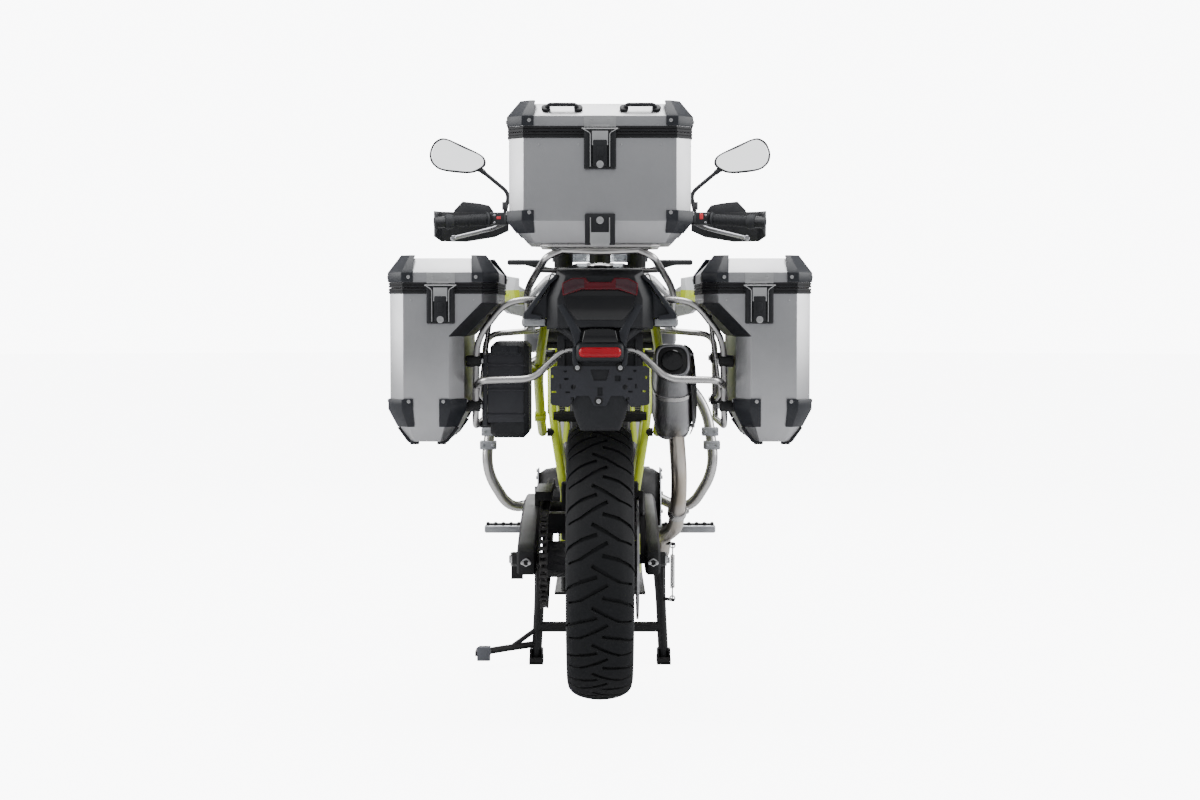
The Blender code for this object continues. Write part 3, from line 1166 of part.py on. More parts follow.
# Plate carrier sections: along, half width, height and half depth shares
PLATE_CARRIER_SHARES = ((-0.148, 0.48, 0.8717, 1.0), (-0.150, 0.30, 0.845, 1.2),
                        (-0.152, 0.26, 0.800, 1.2), (-0.154, 0.31, 0.710, 0.9),
                        (-0.156, 0.21, 0.652, 0.7))
PLATE_CARRIER_HALF_DEPTH = 0.0120
LOW_LAMP_SIZE = (0.1180, 0.0300, 0.0640)
LOW_LAMP_HEIGHT = 0.8350
LOW_LENS_SIZE = (0.0920, 0.0080, 0.0250)
LOW_LENS_HEIGHT = 0.8230
PLATE_SIZE = (0.2180, 0.0030, 0.0940)
PLATE_HEIGHT = 0.7520
SIGNAL_STALK_RADIUS = 0.0070
SIGNAL_LENS = (0.0360, 0.0240, 0.0200)
SIGNAL_REACH = 0.0360
REAR_SIGNAL_SHARES = (0.58, -0.131, 0.898)


def signal(start, end, size):
    """An indicator lamp at the end of its stalk."""
    return fused([rod(start, end, SIGNAL_STALK_RADIUS, sides=ROD_SIDES // 2),
                  box(size, end, bevel=size[2] / 4)])


def make_tail(bodies):
    """Tail lamp, plate carrier with its lamp, blank plate bracket and rear indicators."""
    root = bodies["root"]
    half = [(x * TAIL_LAMP_HALF_WIDTH, z * TAIL_LAMP_HEIGHT) for x, z in TAIL_LAMP_SHARES]
    outline = half + [(-x, z) for x, z in half[-2:0:-1]]
    rear = at(0, TAIL_SHARES[0][0], 0)
    centre = Vector((0, rear.y - FIT_GAP - TAIL_LAMP_DEPTH / 2, TAIL_LAMP_LOW))
    finish("tail_lamp", slab(outline, TAIL_LAMP_DEPTH, centre, REAR_VIEW), "red_lens", root)
    rings = []
    for along, width, height, depth in PLATE_CARRIER_SHARES:
        middle = at(0, along, height)
        half_width = width * BODY_HALF_WIDTH
        half_depth = depth * PLATE_CARRIER_HALF_DEPTH
        rings.append([middle + Vector((x * half_width, y * half_depth, 0))
                      for x, y in ((1, 1), (1, -0.4), (0.7, -1), (-0.7, -1), (-1, -0.4), (-1, 1))])
    face_y = min(point.y for point in rings[2])
    housing = box(LOW_LAMP_SIZE, (0, face_y, LOW_LAMP_HEIGHT), bevel=LOW_LAMP_SIZE[1] / 6)
    finish("plate_carrier", fused([loft(rings), housing]), "black_plastic", root)
    lens_y = face_y - LOW_LAMP_SIZE[1] / 2 - FIT_GAP - LOW_LENS_SIZE[1] / 2
    lens = box(LOW_LENS_SIZE, (0, lens_y, LOW_LENS_HEIGHT), bevel=LOW_LENS_SIZE[1] / 4)
    finish("low_brake_lamp", lens, "red_lens", root)
    plate_y = min(point.y for point in rings[-1] + rings[-2]) - FIT_GAP - PLATE_SIZE[1] / 2
    finish("plate_bracket", box(PLATE_SIZE, (0, plate_y, PLATE_HEIGHT)), "black_plastic", root)
    for name, side in SIDES:
        start = at(*REAR_SIGNAL_SHARES) + SIDEWAYS * FIT_GAP
        end = start + SIDEWAYS * SIGNAL_REACH
        finish(f"{name}_rear_indicator", signal(*mirrored((start, end), side), SIGNAL_LENS),
               "clear_lens", root)


# Front end, measured along the steering axis
LEG_HALF_SPACING = 0.1050
LEG_LEAD = 0.0400
UPPER_LEG_RADIUS = 0.0270
LOWER_LEG_RADIUS = 0.0215
UPPER_LEG_LENGTH = 0.3300
LEG_OVERLAP = 0.0080
CLAMP_EAR_RADIUS = 0.0370
CLAMP_STEM_RADIUS = 0.0320
LOWER_CLAMP_WALL = 0.0360
UPPER_CLAMP_WALL = 0.0240
DROPOUT_RADIUS = 0.0230
DROPOUT_X = (0.0710, 0.1270)
AXLE_END_X = 0.1340
FORK_CALIPER_SIZE = (0.0320, 0.0520, 0.1000)
FORK_CALIPER_DEG = 148.0
CALIPER_LUG_RADIUS = 0.0130
BAR_RADIUS = 0.0110
# Handlebar, half: width, along and height shares from the end inwards
BAR_SHARES = ((2.150, 0.628, 1.158), (1.200, 0.662, 1.172), (0.480, 0.690, 1.181))
RISER_SIZE = (0.0300, 0.0360)
RISER_X = 0.0480
RISER_CAP = 0.0170
GRIP_RADIUS = 0.0165
GRIP_LENGTH = 0.1200
PERCH_LENGTH = 0.0300
PERCH_RADIUS = 0.0190
LEVER_RADIUS = 0.0065
# Lever: shares of its reach outwards, forwards and down from the perch
LEVER_REACH = 0.1900
LEVER_SHARES = ((0.0, 0.12, 0.0), (0.10, 0.26, 0.02), (0.40, 0.29, 0.05), (0.66, 0.33, 0.06))
# Handguard sections: width, along and height shares, then half height share
GUARD_SHARES = ((2.260, 0.622, 1.160, 0.50), (2.310, 0.650, 1.155, 0.85),
                (2.240, 0.692, 1.150, 1.00), (1.900, 0.718, 1.150, 1.00),
                (1.500, 0.725, 1.155, 0.80), (1.300, 0.716, 1.160, 0.50))
GUARD_CENTRE_SHARES = (1.60, 0.600)
GUARD_HALF_HEIGHT = 0.0420
GUARD_WALL = 0.0050
BAR_END_RADIUS = 0.0160
BAR_END_LENGTH = 0.0300
# Mirror head: shares of its width and height, from its lower outer corner
MIRROR_WIDTH = 0.1600
MIRROR_HEIGHT = 0.1040
MIRROR_DEPTH = 0.0220
MIRROR_SHARES = ((0.25, 1.0), (0.60, 0.76), (0.95, 0.50), (1.0, 0.32), (0.96, 0.18), (0.74, 0.0),
                 (0.19, 0.09), (0.03, 0.30), (0.0, 0.56), (0.08, 0.86))
MIRROR_INNER_SHARES = (1.585, 0.656, 1.293)
MIRROR_STEM_SHARES = ((1.500, 0.6513, 1.182), (1.505, 0.6513, 1.262), (1.720, 0.656, 1.325))
MIRROR_STEM_RADIUS = 0.0050


def along_leg(side, up):
    """A place on a fork leg at a distance up the steering axis from the floor."""
    return (STEER_FOOT + SIDEWAYS * (side * LEG_HALF_SPACING) + STEER_FORWARD * LEG_LEAD
            + STEER_UP * up)


def make_fork(bodies):
    """The fork: clamps with their stem, risers, both legs, the axle and the calipers."""
    view = Matrix((SIDEWAYS, STEER_FORWARD, STEER_UP)).transposed()
    low_up = HEAD_LOW_SHARE * BODY_HEIGHT / STEER_UP.z - FIT_GAP
    high_up = HEAD_HIGH_SHARE * BODY_HEIGHT / STEER_UP.z + FIT_GAP
    low_middle = STEER_FOOT + STEER_UP * (low_up - LOWER_CLAMP_WALL / 2)
    high_middle = STEER_FOOT + STEER_UP * (high_up + UPPER_CLAMP_WALL / 2)
    ears = (LEG_HALF_SPACING, LEG_LEAD)
    outline = circle(CLAMP_EAR_RADIUS, ROD_SIDES // 2, ears, -70.0, 160.0)
    outline += circle(CLAMP_EAR_RADIUS, ROD_SIDES // 2, (-ears[0], ears[1]), 90.0, 160.0)
    outline += circle(CLAMP_STEM_RADIUS, ROD_SIDES // 2, start_deg=215.0, sweep_deg=110.0)
    pieces = [slab(outline, LOWER_CLAMP_WALL, low_middle, view),
              slab(outline, UPPER_CLAMP_WALL, high_middle, view),
              rod(low_middle, high_middle, STEM_RADIUS, sides=2 * ROD_SIDES),
              rod(FRONT_AXLE - SIDEWAYS * AXLE_END_X, FRONT_AXLE + SIDEWAYS * AXLE_END_X,
                  AXLE_RADIUS)]
    bar = at(0, *BAR_SHARES[-1][1:])
    rise = bar - high_middle
    lean = math.degrees(math.atan2(-rise.y, rise.z))
    length = rise.length + RISER_CAP
    axle_up = (FRONT_AXLE - STEER_FOOT).dot(STEER_UP)
    top = high_up + UPPER_CLAMP_WALL + LEG_OVERLAP
    joint = low_up - UPPER_LEG_LENGTH
    angle = math.radians(FORK_CALIPER_DEG)
    reach = FRONT_DISC_RADIUS - DISC_BAND / 3
    slots = []
    for _, side in SIDES:
        middle = high_middle + rise.normalized() * (length / 2) + SIDEWAYS * (side * RISER_X)
        pieces.append(box((*RISER_SIZE, length), middle, (lean, 0, 0)))
        pieces.append(rod(along_leg(side, joint), along_leg(side, top), UPPER_LEG_RADIUS))
        pieces.append(rod(along_leg(side, axle_up), along_leg(side, joint + LEG_OVERLAP),
                          LOWER_LEG_RADIUS))
        pieces.append(rod(FRONT_AXLE + SIDEWAYS * (side * DROPOUT_X[0]),
                          FRONT_AXLE + SIDEWAYS * (side * DROPOUT_X[1]), DROPOUT_RADIUS))
        centre = FRONT_AXLE + Vector((side * FRONT_DISC_X, reach * math.cos(angle),
                                      reach * math.sin(angle)))
        pieces.append(box(FORK_CALIPER_SIZE, centre, (FORK_CALIPER_DEG - 180.0, 0, 0),
                          bevel=FORK_CALIPER_SIZE[0] / 8))
        lug = centre + SIDEWAYS * (side * FORK_CALIPER_SIZE[0] / 3)
        pieces.append(rod(lug, along_leg(side, axle_up + reach), CALIPER_LUG_RADIUS))
        slots.append(disc_slot(FRONT_AXLE, side * FRONT_DISC_X, FRONT_DISC_RADIUS))
    bore = rod(bar - SIDEWAYS * BODY_HALF_WIDTH, bar + SIDEWAYS * BODY_HALF_WIDTH,
               BAR_RADIUS + 2 * FIT_GAP)
    finish("front_fork", cut(fused(pieces), [bore, *slots]), "fork_tube", bodies["steering"])


def make_controls(bodies):
    """Handlebar with its grips and levers, handguards and mirrors."""
    steering = bodies["steering"]
    path = mirrored(places(BAR_SHARES), -1) + places(BAR_SHARES)[::-1]
    pieces = [tube(path, BAR_RADIUS, bend=TUBE_BEND / 3)]
    perches = {}
    for name, side in SIDES:
        end, inner = mirrored(places(BAR_SHARES[:2]), side)
        run = (inner - end).normalized()
        stop = end + run * GRIP_LENGTH
        pieces.append(rod(end + run * FIT_GAP, stop, GRIP_RADIUS))
        perches[name] = (stop - run * CUT_OVERRUN, stop + run * PERCH_LENGTH)
        pieces.append(rod(*perches[name], PERCH_RADIUS))
        anchor = stop + run * (PERCH_LENGTH / 2)
        points = [anchor + Vector((side * out, forward, -down)) * LEVER_REACH
                  for out, forward, down in LEVER_SHARES]
        pieces.append(tube([anchor, *points], LEVER_RADIUS, bend=LEVER_REACH / 10))
        rings = []
        centre_plan = at(side * GUARD_CENTRE_SHARES[0], GUARD_CENTRE_SHARES[1], 0)
        for width, along, height, tall in GUARD_SHARES:
            middle = at(side * width, along, height)
            centre = Vector((centre_plan.x, centre_plan.y, middle.z))
            out = (middle - centre).normalized() * (GUARD_WALL / 2)
            rise = UPWARD * (GUARD_HALF_HEIGHT * tall)
            rings.append([middle + out - rise, middle + out + rise, middle - out + rise,
                          middle - out - rise])
        weight = rod(end - run * FIT_GAP, end - run * BAR_END_LENGTH, BAR_END_RADIUS)
        finish(f"{name}_handguard", fused([loft(rings), weight]), "black_plastic", steering)
    finish("handlebar", fused(pieces), "black_paint", steering)
    view = Matrix((-SIDEWAYS, UPWARD, FORWARD)).transposed()
    for name, side in SIDES:
        corner = at(side * MIRROR_INNER_SHARES[0], *MIRROR_INNER_SHARES[1:])
        outline = [((1.0 - x) * MIRROR_WIDTH * -side, z * MIRROR_HEIGHT) for x, z in MIRROR_SHARES]
        head = slab(outline, MIRROR_DEPTH, corner, view, bevel=MIRROR_DEPTH / 4)
        stem = tube(mirrored(places(MIRROR_STEM_SHARES), side), MIRROR_STEM_RADIUS,
                    bend=TUBE_BEND / 3)
        seat = rod(*perches[name], PERCH_RADIUS + FIT_GAP)
        finish(f"{name}_mirror", cut(fused([head, stem]), [seat]), "black_plastic", steering)


# Front bodywork. Headlamp sections: along, height, half width and half height shares
LAMP_SHARES = ((0.856, 1.002, 0.36, 0.22), (0.872, 1.000, 0.47, 0.28), (0.888, 0.994, 0.43, 0.25))
LENS_DEPTH = 0.0160
LENS_SHARE = 0.90
LAMP_SIDES = 16
LAMP_SQUARENESS = 3.0
STAY_SIZE = (0.0300, 0.0240)
STAY_HEIGHT = 1.0200
FRONT_SIGNAL_SHARES = (0.36, 0.868, 1.010)
FRONT_SIGNAL_END_SHARES = (1.12, 0.860, 1.055)
FRONT_SIGNAL_LENS = (0.1000, 0.0220, 0.0160)
# Beak sections: along, half width, low and high shares
BEAK_SHARES = ((0.862, 0.40, 0.915, 0.9437), (0.890, 0.42, 0.912, 0.9437),
               (0.940, 0.42, 0.898, 0.922), (1.020, 0.32, 0.878, 0.896),
               (1.060, 0.14, 0.866, 0.876))
# Screen rows: along, half width and height shares
SCREEN_SHARES = ((0.872, 0.70, 1.0556), (0.846, 0.74, 1.200), (0.792, 0.56, 1.340))
SCREEN_WALL = 0.0040
SCREEN_BULGE = 0.0500
SCREEN_COLUMNS = 8
# Shroud sections: along, inner half width, low and high shares
SHROUD_SHARES = ((0.500, 1.08, 0.935, 1.000), (0.610, 1.38, 0.930, 1.012),
                 (0.720, 1.28, 0.905, 1.000), (0.800, 0.98, 0.890, 0.960))
SHROUD_WALL = 0.0100
SHROUD_PIN_RISE = 0.0400
SHROUD_PIN_RADIUS = 0.0080
MUDGUARD_GAP = 0.0220
MUDGUARD_WALL = 0.0030
MUDGUARD_HALF_WIDTH = 0.0600
MUDGUARD_SKIRT = 0.0300
MUDGUARD_START_DEG = 28.0
MUDGUARD_SWEEP_DEG = 122.0
MUDGUARD_STEPS = 12
MUDGUARD_LUG_RADIUS = 0.0100


def make_headlamp(root):
    """Headlamp shell with its stay and indicators, and the lens before it."""
    rings = [rounded_ring(at(0, along, height), width * BODY_HALF_WIDTH, tall * BODY_HALF_WIDTH,
                          SIDEWAYS, UPWARD, LAMP_SQUARENESS, LAMP_SIDES)
             for along, height, width, tall in LAMP_SHARES]
    low_face = on_steering(STAY_HEIGHT - STAY_SIZE[1] / 2).y + HEAD_TUBE_RADIUS / math.cos(RAKE)
    stay_start = low_face + FIT_GAP
    stay_end = at(0, LAMP_SHARES[0][0], 0).y + CUT_OVERRUN
    pieces = [loft(rings), box((STAY_SIZE[0], stay_end - stay_start, STAY_SIZE[1]),
                               (0, (stay_end + stay_start) / 2, STAY_HEIGHT))]
    for _, side in SIDES:
        pieces.append(signal(*mirrored((at(*FRONT_SIGNAL_SHARES), at(*FRONT_SIGNAL_END_SHARES)),
                                       side), FRONT_SIGNAL_LENS))
    finish("headlamp", fused(pieces), "black_plastic", root)
    along, height, width, tall = LAMP_SHARES[-1]
    face = at(0, along, height) + FORWARD * FIT_GAP
    lens = [rounded_ring(face + FORWARD * step, width * BODY_HALF_WIDTH * share,
                         tall * BODY_HALF_WIDTH * share, SIDEWAYS, UPWARD, LAMP_SQUARENESS,
                         LAMP_SIDES)
            for step, share in ((0, LENS_SHARE), (LENS_DEPTH, LENS_SHARE / 2))]
    finish("headlamp_lens", loft(lens), "clear_lens", root)


def make_front(bodies):
    """Headlamp, beak, screen, tank shrouds and the front mudguard."""
    root = bodies["root"]
    make_headlamp(root)
    beak = loft([crowned_ring(a, w, low, high, SEAT_EDGE_SHARE) for a, w, low, high in BEAK_SHARES])
    finish("front_beak", beak, "lime_paint", root)
    rings = []
    for along, width, height in SCREEN_SHARES:
        middle = at(0, along, height)
        inner = []
        for column in range(SCREEN_COLUMNS + 1):
            part = 2 * column / SCREEN_COLUMNS - 1
            inner.append(middle + Vector((part * width * BODY_HALF_WIDTH,
                                          -SCREEN_BULGE * part ** 2, 0)))
        rings.append([place + FORWARD * SCREEN_WALL for place in inner] + inner[::-1])
    finish("windscreen", loft(rings), "screen", root)
    tank_along, tank_width, tank_low = TANK_SHARES[3][:3]
    pin = at(tank_width, tank_along, tank_low) + UPWARD * (TANK_SHARES[3][3] - tank_low) / 2
    for name, side in SIDES:
        rings = []
        for along, width, low, high in SHROUD_SHARES:
            foot, top = at(side * width, along, low), at(side * width, along, high)
            wall = SIDEWAYS * (side * SHROUD_WALL)
            rings.append([foot, foot + wall, (foot + top) / 2 + wall * 1.5, top + wall, top])
        start = Vector((side * (pin.x + FIT_GAP), pin.y, pin.z))
        end = at(side * SHROUD_SHARES[1][1], tank_along, 0)
        pieces = [loft(rings), rod(start, (end.x, pin.y, pin.z), SHROUD_PIN_RADIUS)]
        finish(f"{name}_shroud", fused(pieces), "white_panel", root)
    rings = []
    inner_radius = FRONT_TYRE_RADIUS + MUDGUARD_GAP
    section = ((-1, -MUDGUARD_SKIRT), (-0.75, 0), (0.75, 0), (1, -MUDGUARD_SKIRT))
    for step in range(MUDGUARD_STEPS + 1):
        angle = math.radians(MUDGUARD_START_DEG + MUDGUARD_SWEEP_DEG * step / MUDGUARD_STEPS)
        out = Vector((0, math.cos(angle), math.sin(angle)))
        lower = [FRONT_AXLE + out * (inner_radius + rise) + SIDEWAYS * (x * MUDGUARD_HALF_WIDTH)
                 for x, rise in section]
        upper = [FRONT_AXLE + out * (inner_radius + rise + MUDGUARD_WALL)
                 + SIDEWAYS * (x * (MUDGUARD_HALF_WIDTH + MUDGUARD_WALL)) for x, rise in section]
        rings.append(lower + upper[::-1])
    axle_up = (FRONT_AXLE - STEER_FOOT).dot(STEER_UP)
    pieces, legs = [loft(rings)], []
    for _, side in SIDES:
        place = along_leg(side, axle_up + inner_radius - MUDGUARD_SKIRT / 2)
        pieces.append(rod((side * (MUDGUARD_HALF_WIDTH - MUDGUARD_WALL), place.y, place.z),
                          place, MUDGUARD_LUG_RADIUS))
        legs.append(rod(along_leg(side, axle_up), along_leg(side, axle_up + 2 * inner_radius),
                        LOWER_LEG_RADIUS + FIT_GAP))
    finish("front_mudguard", cut(fused(pieces), legs), "black_plastic", bodies["steering"])


# Pegs, tool box and side stand
PEG_ALONG_SHARE = 0.385
PEG_HEIGHT_SHARE = 0.346
PEG_STEM_RADIUS = 0.0080
PEG_SIZE = (0.1000, 0.0340, 0.0200)
PEG_END_X = 0.3000
TOOL_BOX_SIZE = (0.0860, 0.2300, 0.2150)
TOOL_BOX_SHARES = (0.000, 0.735)
TOOL_BOX_PIN_SHARES = (-0.30, 0.30)
TOOL_BOX_PIN_RADIUS = 0.0070
SIDE_STAND_PIVOT_SHARES = (-0.62, 0.425, 0.228)
SIDE_STAND_SHARES = ((-0.72, 0.425, 0.228), (-1.00, 0.397, 0.232), (-1.06, 0.325, 0.244))
SIDE_STAND_RADIUS = 0.0100
SIDE_STAND_BOSS_RADIUS = 0.0150
SIDE_STAND_FOOT = (0.0300, 0.0080, 0.0340)


def make_fittings(bodies):
    """Foot pegs, the tool box and the side stand."""
    root = bodies["root"]
    plate_x = PIVOT_PLATE_SHARE * BODY_HALF_WIDTH + PIVOT_PLATE_WALL / 2
    for name, side in SIDES:
        peg = at(0, PEG_ALONG_SHARE, PEG_HEIGHT_SHARE)
        start = Vector((side * (plate_x + FIT_GAP), peg.y, peg.z))
        middle = Vector((side * (PEG_END_X - PEG_SIZE[0] / 2), peg.y, peg.z))
        finish(f"{name}_foot_peg", fused([rod(start, middle, PEG_STEM_RADIUS),
                                          box(PEG_SIZE, middle, bevel=PEG_SIZE[2] / 6)]),
               "cast_aluminium", root)
    strut_x = STRUT_SHARES[1][0] * BODY_HALF_WIDTH + SUBFRAME_TUBE_RADIUS + FIT_GAP
    place = at(0, *TOOL_BOX_SHARES)
    place.x = -(strut_x + TOOL_BOX_SIZE[0] / 2)
    pieces = [box(TOOL_BOX_SIZE, place, bevel=TOOL_BOX_SIZE[0] / 8)]
    hoop = at(*HOOP_SHARES[3])
    for step in TOOL_BOX_PIN_SHARES:
        pin_y = place.y + step * TOOL_BOX_SIZE[1]
        pieces.append(rod((place.x, pin_y, hoop.z), (-hoop.x, pin_y, hoop.z),
                          TOOL_BOX_PIN_RADIUS))
    carriers = grown_tubes((HOOP_SHARES,), RACK_TUBE_RADIUS, ring=SMOOTH_RING_STEPS)
    finish("tool_box", cut(fused(pieces), carriers), "black_plastic", root)
    path = places(SIDE_STAND_SHARES)
    pivot = at(*SIDE_STAND_PIVOT_SHARES)
    eye = rod(pivot - SIDEWAYS * FIT_GAP, path[0] - SIDEWAYS * SIDE_STAND_RADIUS,
              SIDE_STAND_BOSS_RADIUS)
    finish("side_stand", fused([tube(path, SIDE_STAND_RADIUS, bend=TUBE_BEND / 2), eye,
                                box(SIDE_STAND_FOOT, path[-1])]), "black_paint",
           bodies["side_stand"])


def main():
    """Build every piece of the motorcycle."""
    clear_scene()
    make_finishes()
    root = empty("root", (0, 0, 0))
    steering = empty("steering", on_steering(BODY_HEIGHT), root)
    bodies = {
        "root": root,
        "steering": steering,
        "rear_wheel": empty("rear_wheel", REAR_AXLE, root),
        "front_wheel": empty("front_wheel", FRONT_AXLE, steering),
        "centre_stand": empty("centre_stand_pivot", at(*STAND_PIVOT_SHARES), root),
        "side_stand": empty("side_stand_pivot", at(*SIDE_STAND_PIVOT_SHARES), root),
    }
    case_front = REAR_AXLE_Y + SIDE_CASE_REAR_SHARE * WHEELBASE + SIDE_CASE_LENGTH
    for name, side in SIDES:
        hinge = (side * (SIDE_CASE_OUTER_X - SIDE_CASE_TOP_WIDTH / 2),
                 case_front + LID_HINGE_RADIUS, SIDE_CASE_RIM)
        bodies[f"{name}_lid"] = empty(f"{name}_lid_hinge", hinge, root)
    top_front = REAR_AXLE_Y - REAR_OVERHANG + TOP_CASE_LENGTH
    bodies["top_lid"] = empty("top_lid_hinge",
                              (0, top_front + LID_HINGE_RADIUS, TOP_CASE_RIM), root)
    make_wheels(bodies)
    make_frame(bodies)
    make_subframe(bodies)
    make_swingarm(bodies)
    make_shock(bodies)
    make_engine(bodies)
    make_exhaust(bodies)
    make_bodywork(bodies)
    for name, side in SIDES:
        make_side_case(name, side, bodies)
    make_top_case(bodies)
    make_racks(bodies)
    make_centre_stand(bodies)
    make_tail(bodies)
    make_fork(bodies)
    make_controls(bodies)
    make_front(bodies)
    make_fittings(bodies)


main()
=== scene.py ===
"""Looks of an adventure motorcycle with luggage cases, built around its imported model.

Metres, +Z up, +Y forward, +X to the rider's right. Every piece lies in the frame of the
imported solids, rides on one of their bodies, and keeps its place in its mesh.
"""

import logging
import math
from dataclasses import dataclass, replace
from enum import Enum
from functools import cached_property

import bmesh
import bpy
from mathutils import Matrix, Vector


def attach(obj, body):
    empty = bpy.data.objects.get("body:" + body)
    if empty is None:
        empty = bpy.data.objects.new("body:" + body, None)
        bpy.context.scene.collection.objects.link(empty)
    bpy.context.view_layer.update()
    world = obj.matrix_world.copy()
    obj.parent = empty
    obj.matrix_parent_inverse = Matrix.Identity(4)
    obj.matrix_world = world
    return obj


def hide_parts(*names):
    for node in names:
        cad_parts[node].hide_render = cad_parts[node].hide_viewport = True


LOG = logging.getLogger("motorcycle")
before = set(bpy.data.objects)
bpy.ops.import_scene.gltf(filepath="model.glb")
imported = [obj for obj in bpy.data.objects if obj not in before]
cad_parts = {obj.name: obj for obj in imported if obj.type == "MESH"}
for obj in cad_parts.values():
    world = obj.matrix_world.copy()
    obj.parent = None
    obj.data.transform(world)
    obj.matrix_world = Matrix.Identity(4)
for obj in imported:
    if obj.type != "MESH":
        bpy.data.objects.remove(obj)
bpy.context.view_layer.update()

Thing = bpy.types.Object
Tree = bpy.types.ShaderNodeTree
Point = tuple[float, float, float]
Outline = list[tuple[float, float]]

REAR_AXLE = Vector((0.0, -0.789, 0.341))
FRONT_AXLE = Vector((0.0, 0.811, 0.348))
RAKE = math.radians(28.0)
STEER_UP = Vector((0.0, -math.sin(RAKE), math.cos(RAKE)))
STEER_FORWARD = Vector((0.0, math.cos(RAKE), math.sin(RAKE)))
STEER_FOOT = Vector((0.0, 0.931, 0.0))
SIDES = (("left", -1), ("right", 1))
WHEELBASE = 1.6
HALF_WIDTH = 0.2
SMOOTH_DEG = 35.0
MERGE_REACH = 0.00001
COLOUR, FLOAT = "NodeSocketColor", "NodeSocketFloat"
DUST_COLOUR = (0.42, 0.4, 0.37, 1.0)
REAR_VIEW = Matrix(((1, 0, 0), (0, 0, 1), (0, 1, 0)))
SIDE_VIEW = Matrix(((0, 0, 1), (1, 0, 0), (0, 1, 0)))
FILLING = {"quality": 5, "use_pressure": True, "uniform_pressure_force": 4.0, "tension_stiffness": 25.0,
    "compression_stiffness": 25.0, "bending_stiffness": 2.0}
AXIS_TURNS = {"X": (0.0, 0.0, 0.0), "Y": (0.0, 0.0, math.pi / 2), "Z": (0.0, -math.pi / 2, 0.0)}


def share_place(x: float, along: float, height: float) -> Vector:
    """A place from shares of the half width, the wheelbase and a height in metres."""
    return Vector((x * HALF_WIDTH, REAR_AXLE.y + along * WHEELBASE, height))


def share_y(along: float) -> float:
    """A place along the motorcycle from a share of the wheelbase."""
    return REAR_AXLE.y + along * WHEELBASE


def share_path(rows: tuple) -> list[Vector]:
    """Places from rows of shares."""
    return [share_place(x, along, height) for x, along, height in rows]


def vec(x: float, y: float = 0.0, z: float = 0.0) -> Vector:
    """A place or a step in metres."""
    return Vector((x, y, z))


# Shader groups


def new_group(name: str, inputs: dict[str, tuple[str, object]], outputs: dict[str, str]) -> tuple:
    """Makes a shader node group with named sockets and the object's own place.

    Args:
        name: the group's name.
        inputs: socket type and default value of each input, by name.
        outputs: socket type of each output, by name.

    Returns:
        The node tree, the given values, the results to link, and the socket of the place.
    """
    tree = bpy.data.node_groups.new(name, "ShaderNodeTree")
    for label, (kind, value) in inputs.items():
        socket = tree.interface.new_socket(label, in_out="INPUT", socket_type=kind)
        socket.default_value = value
    for label, kind in outputs.items():
        tree.interface.new_socket(label, in_out="OUTPUT", socket_type=kind)
    given, out = tree.nodes.new("NodeGroupInput"), tree.nodes.new("NodeGroupOutput")
    place = add_node(tree, "TexCoord")
    return tree, given.outputs, out.inputs, place.outputs["Object"]


def add_node(tree: bpy.types.NodeTree, kind: str, links: dict[str, object] | None = None,
        **settings: object) -> bpy.types.Node:
    """Adds a shader node, sets its options, and links or sets its inputs.

    Args:
        tree: the tree that the node goes in.
        kind: the node's type.
        links: input name or index to an output socket or a plain value.
        settings: the node's own options.

    Returns:
        The new node.
    """
    node = tree.nodes.new(f"ShaderNode{kind}")
    for option, value in settings.items():
        setattr(node, option, value)
    for key, value in (links or {}).items():
        if isinstance(value, bpy.types.NodeSocket):
            tree.links.new(value, node.inputs[key])
        else:
            node.inputs[key].default_value = value
    return node


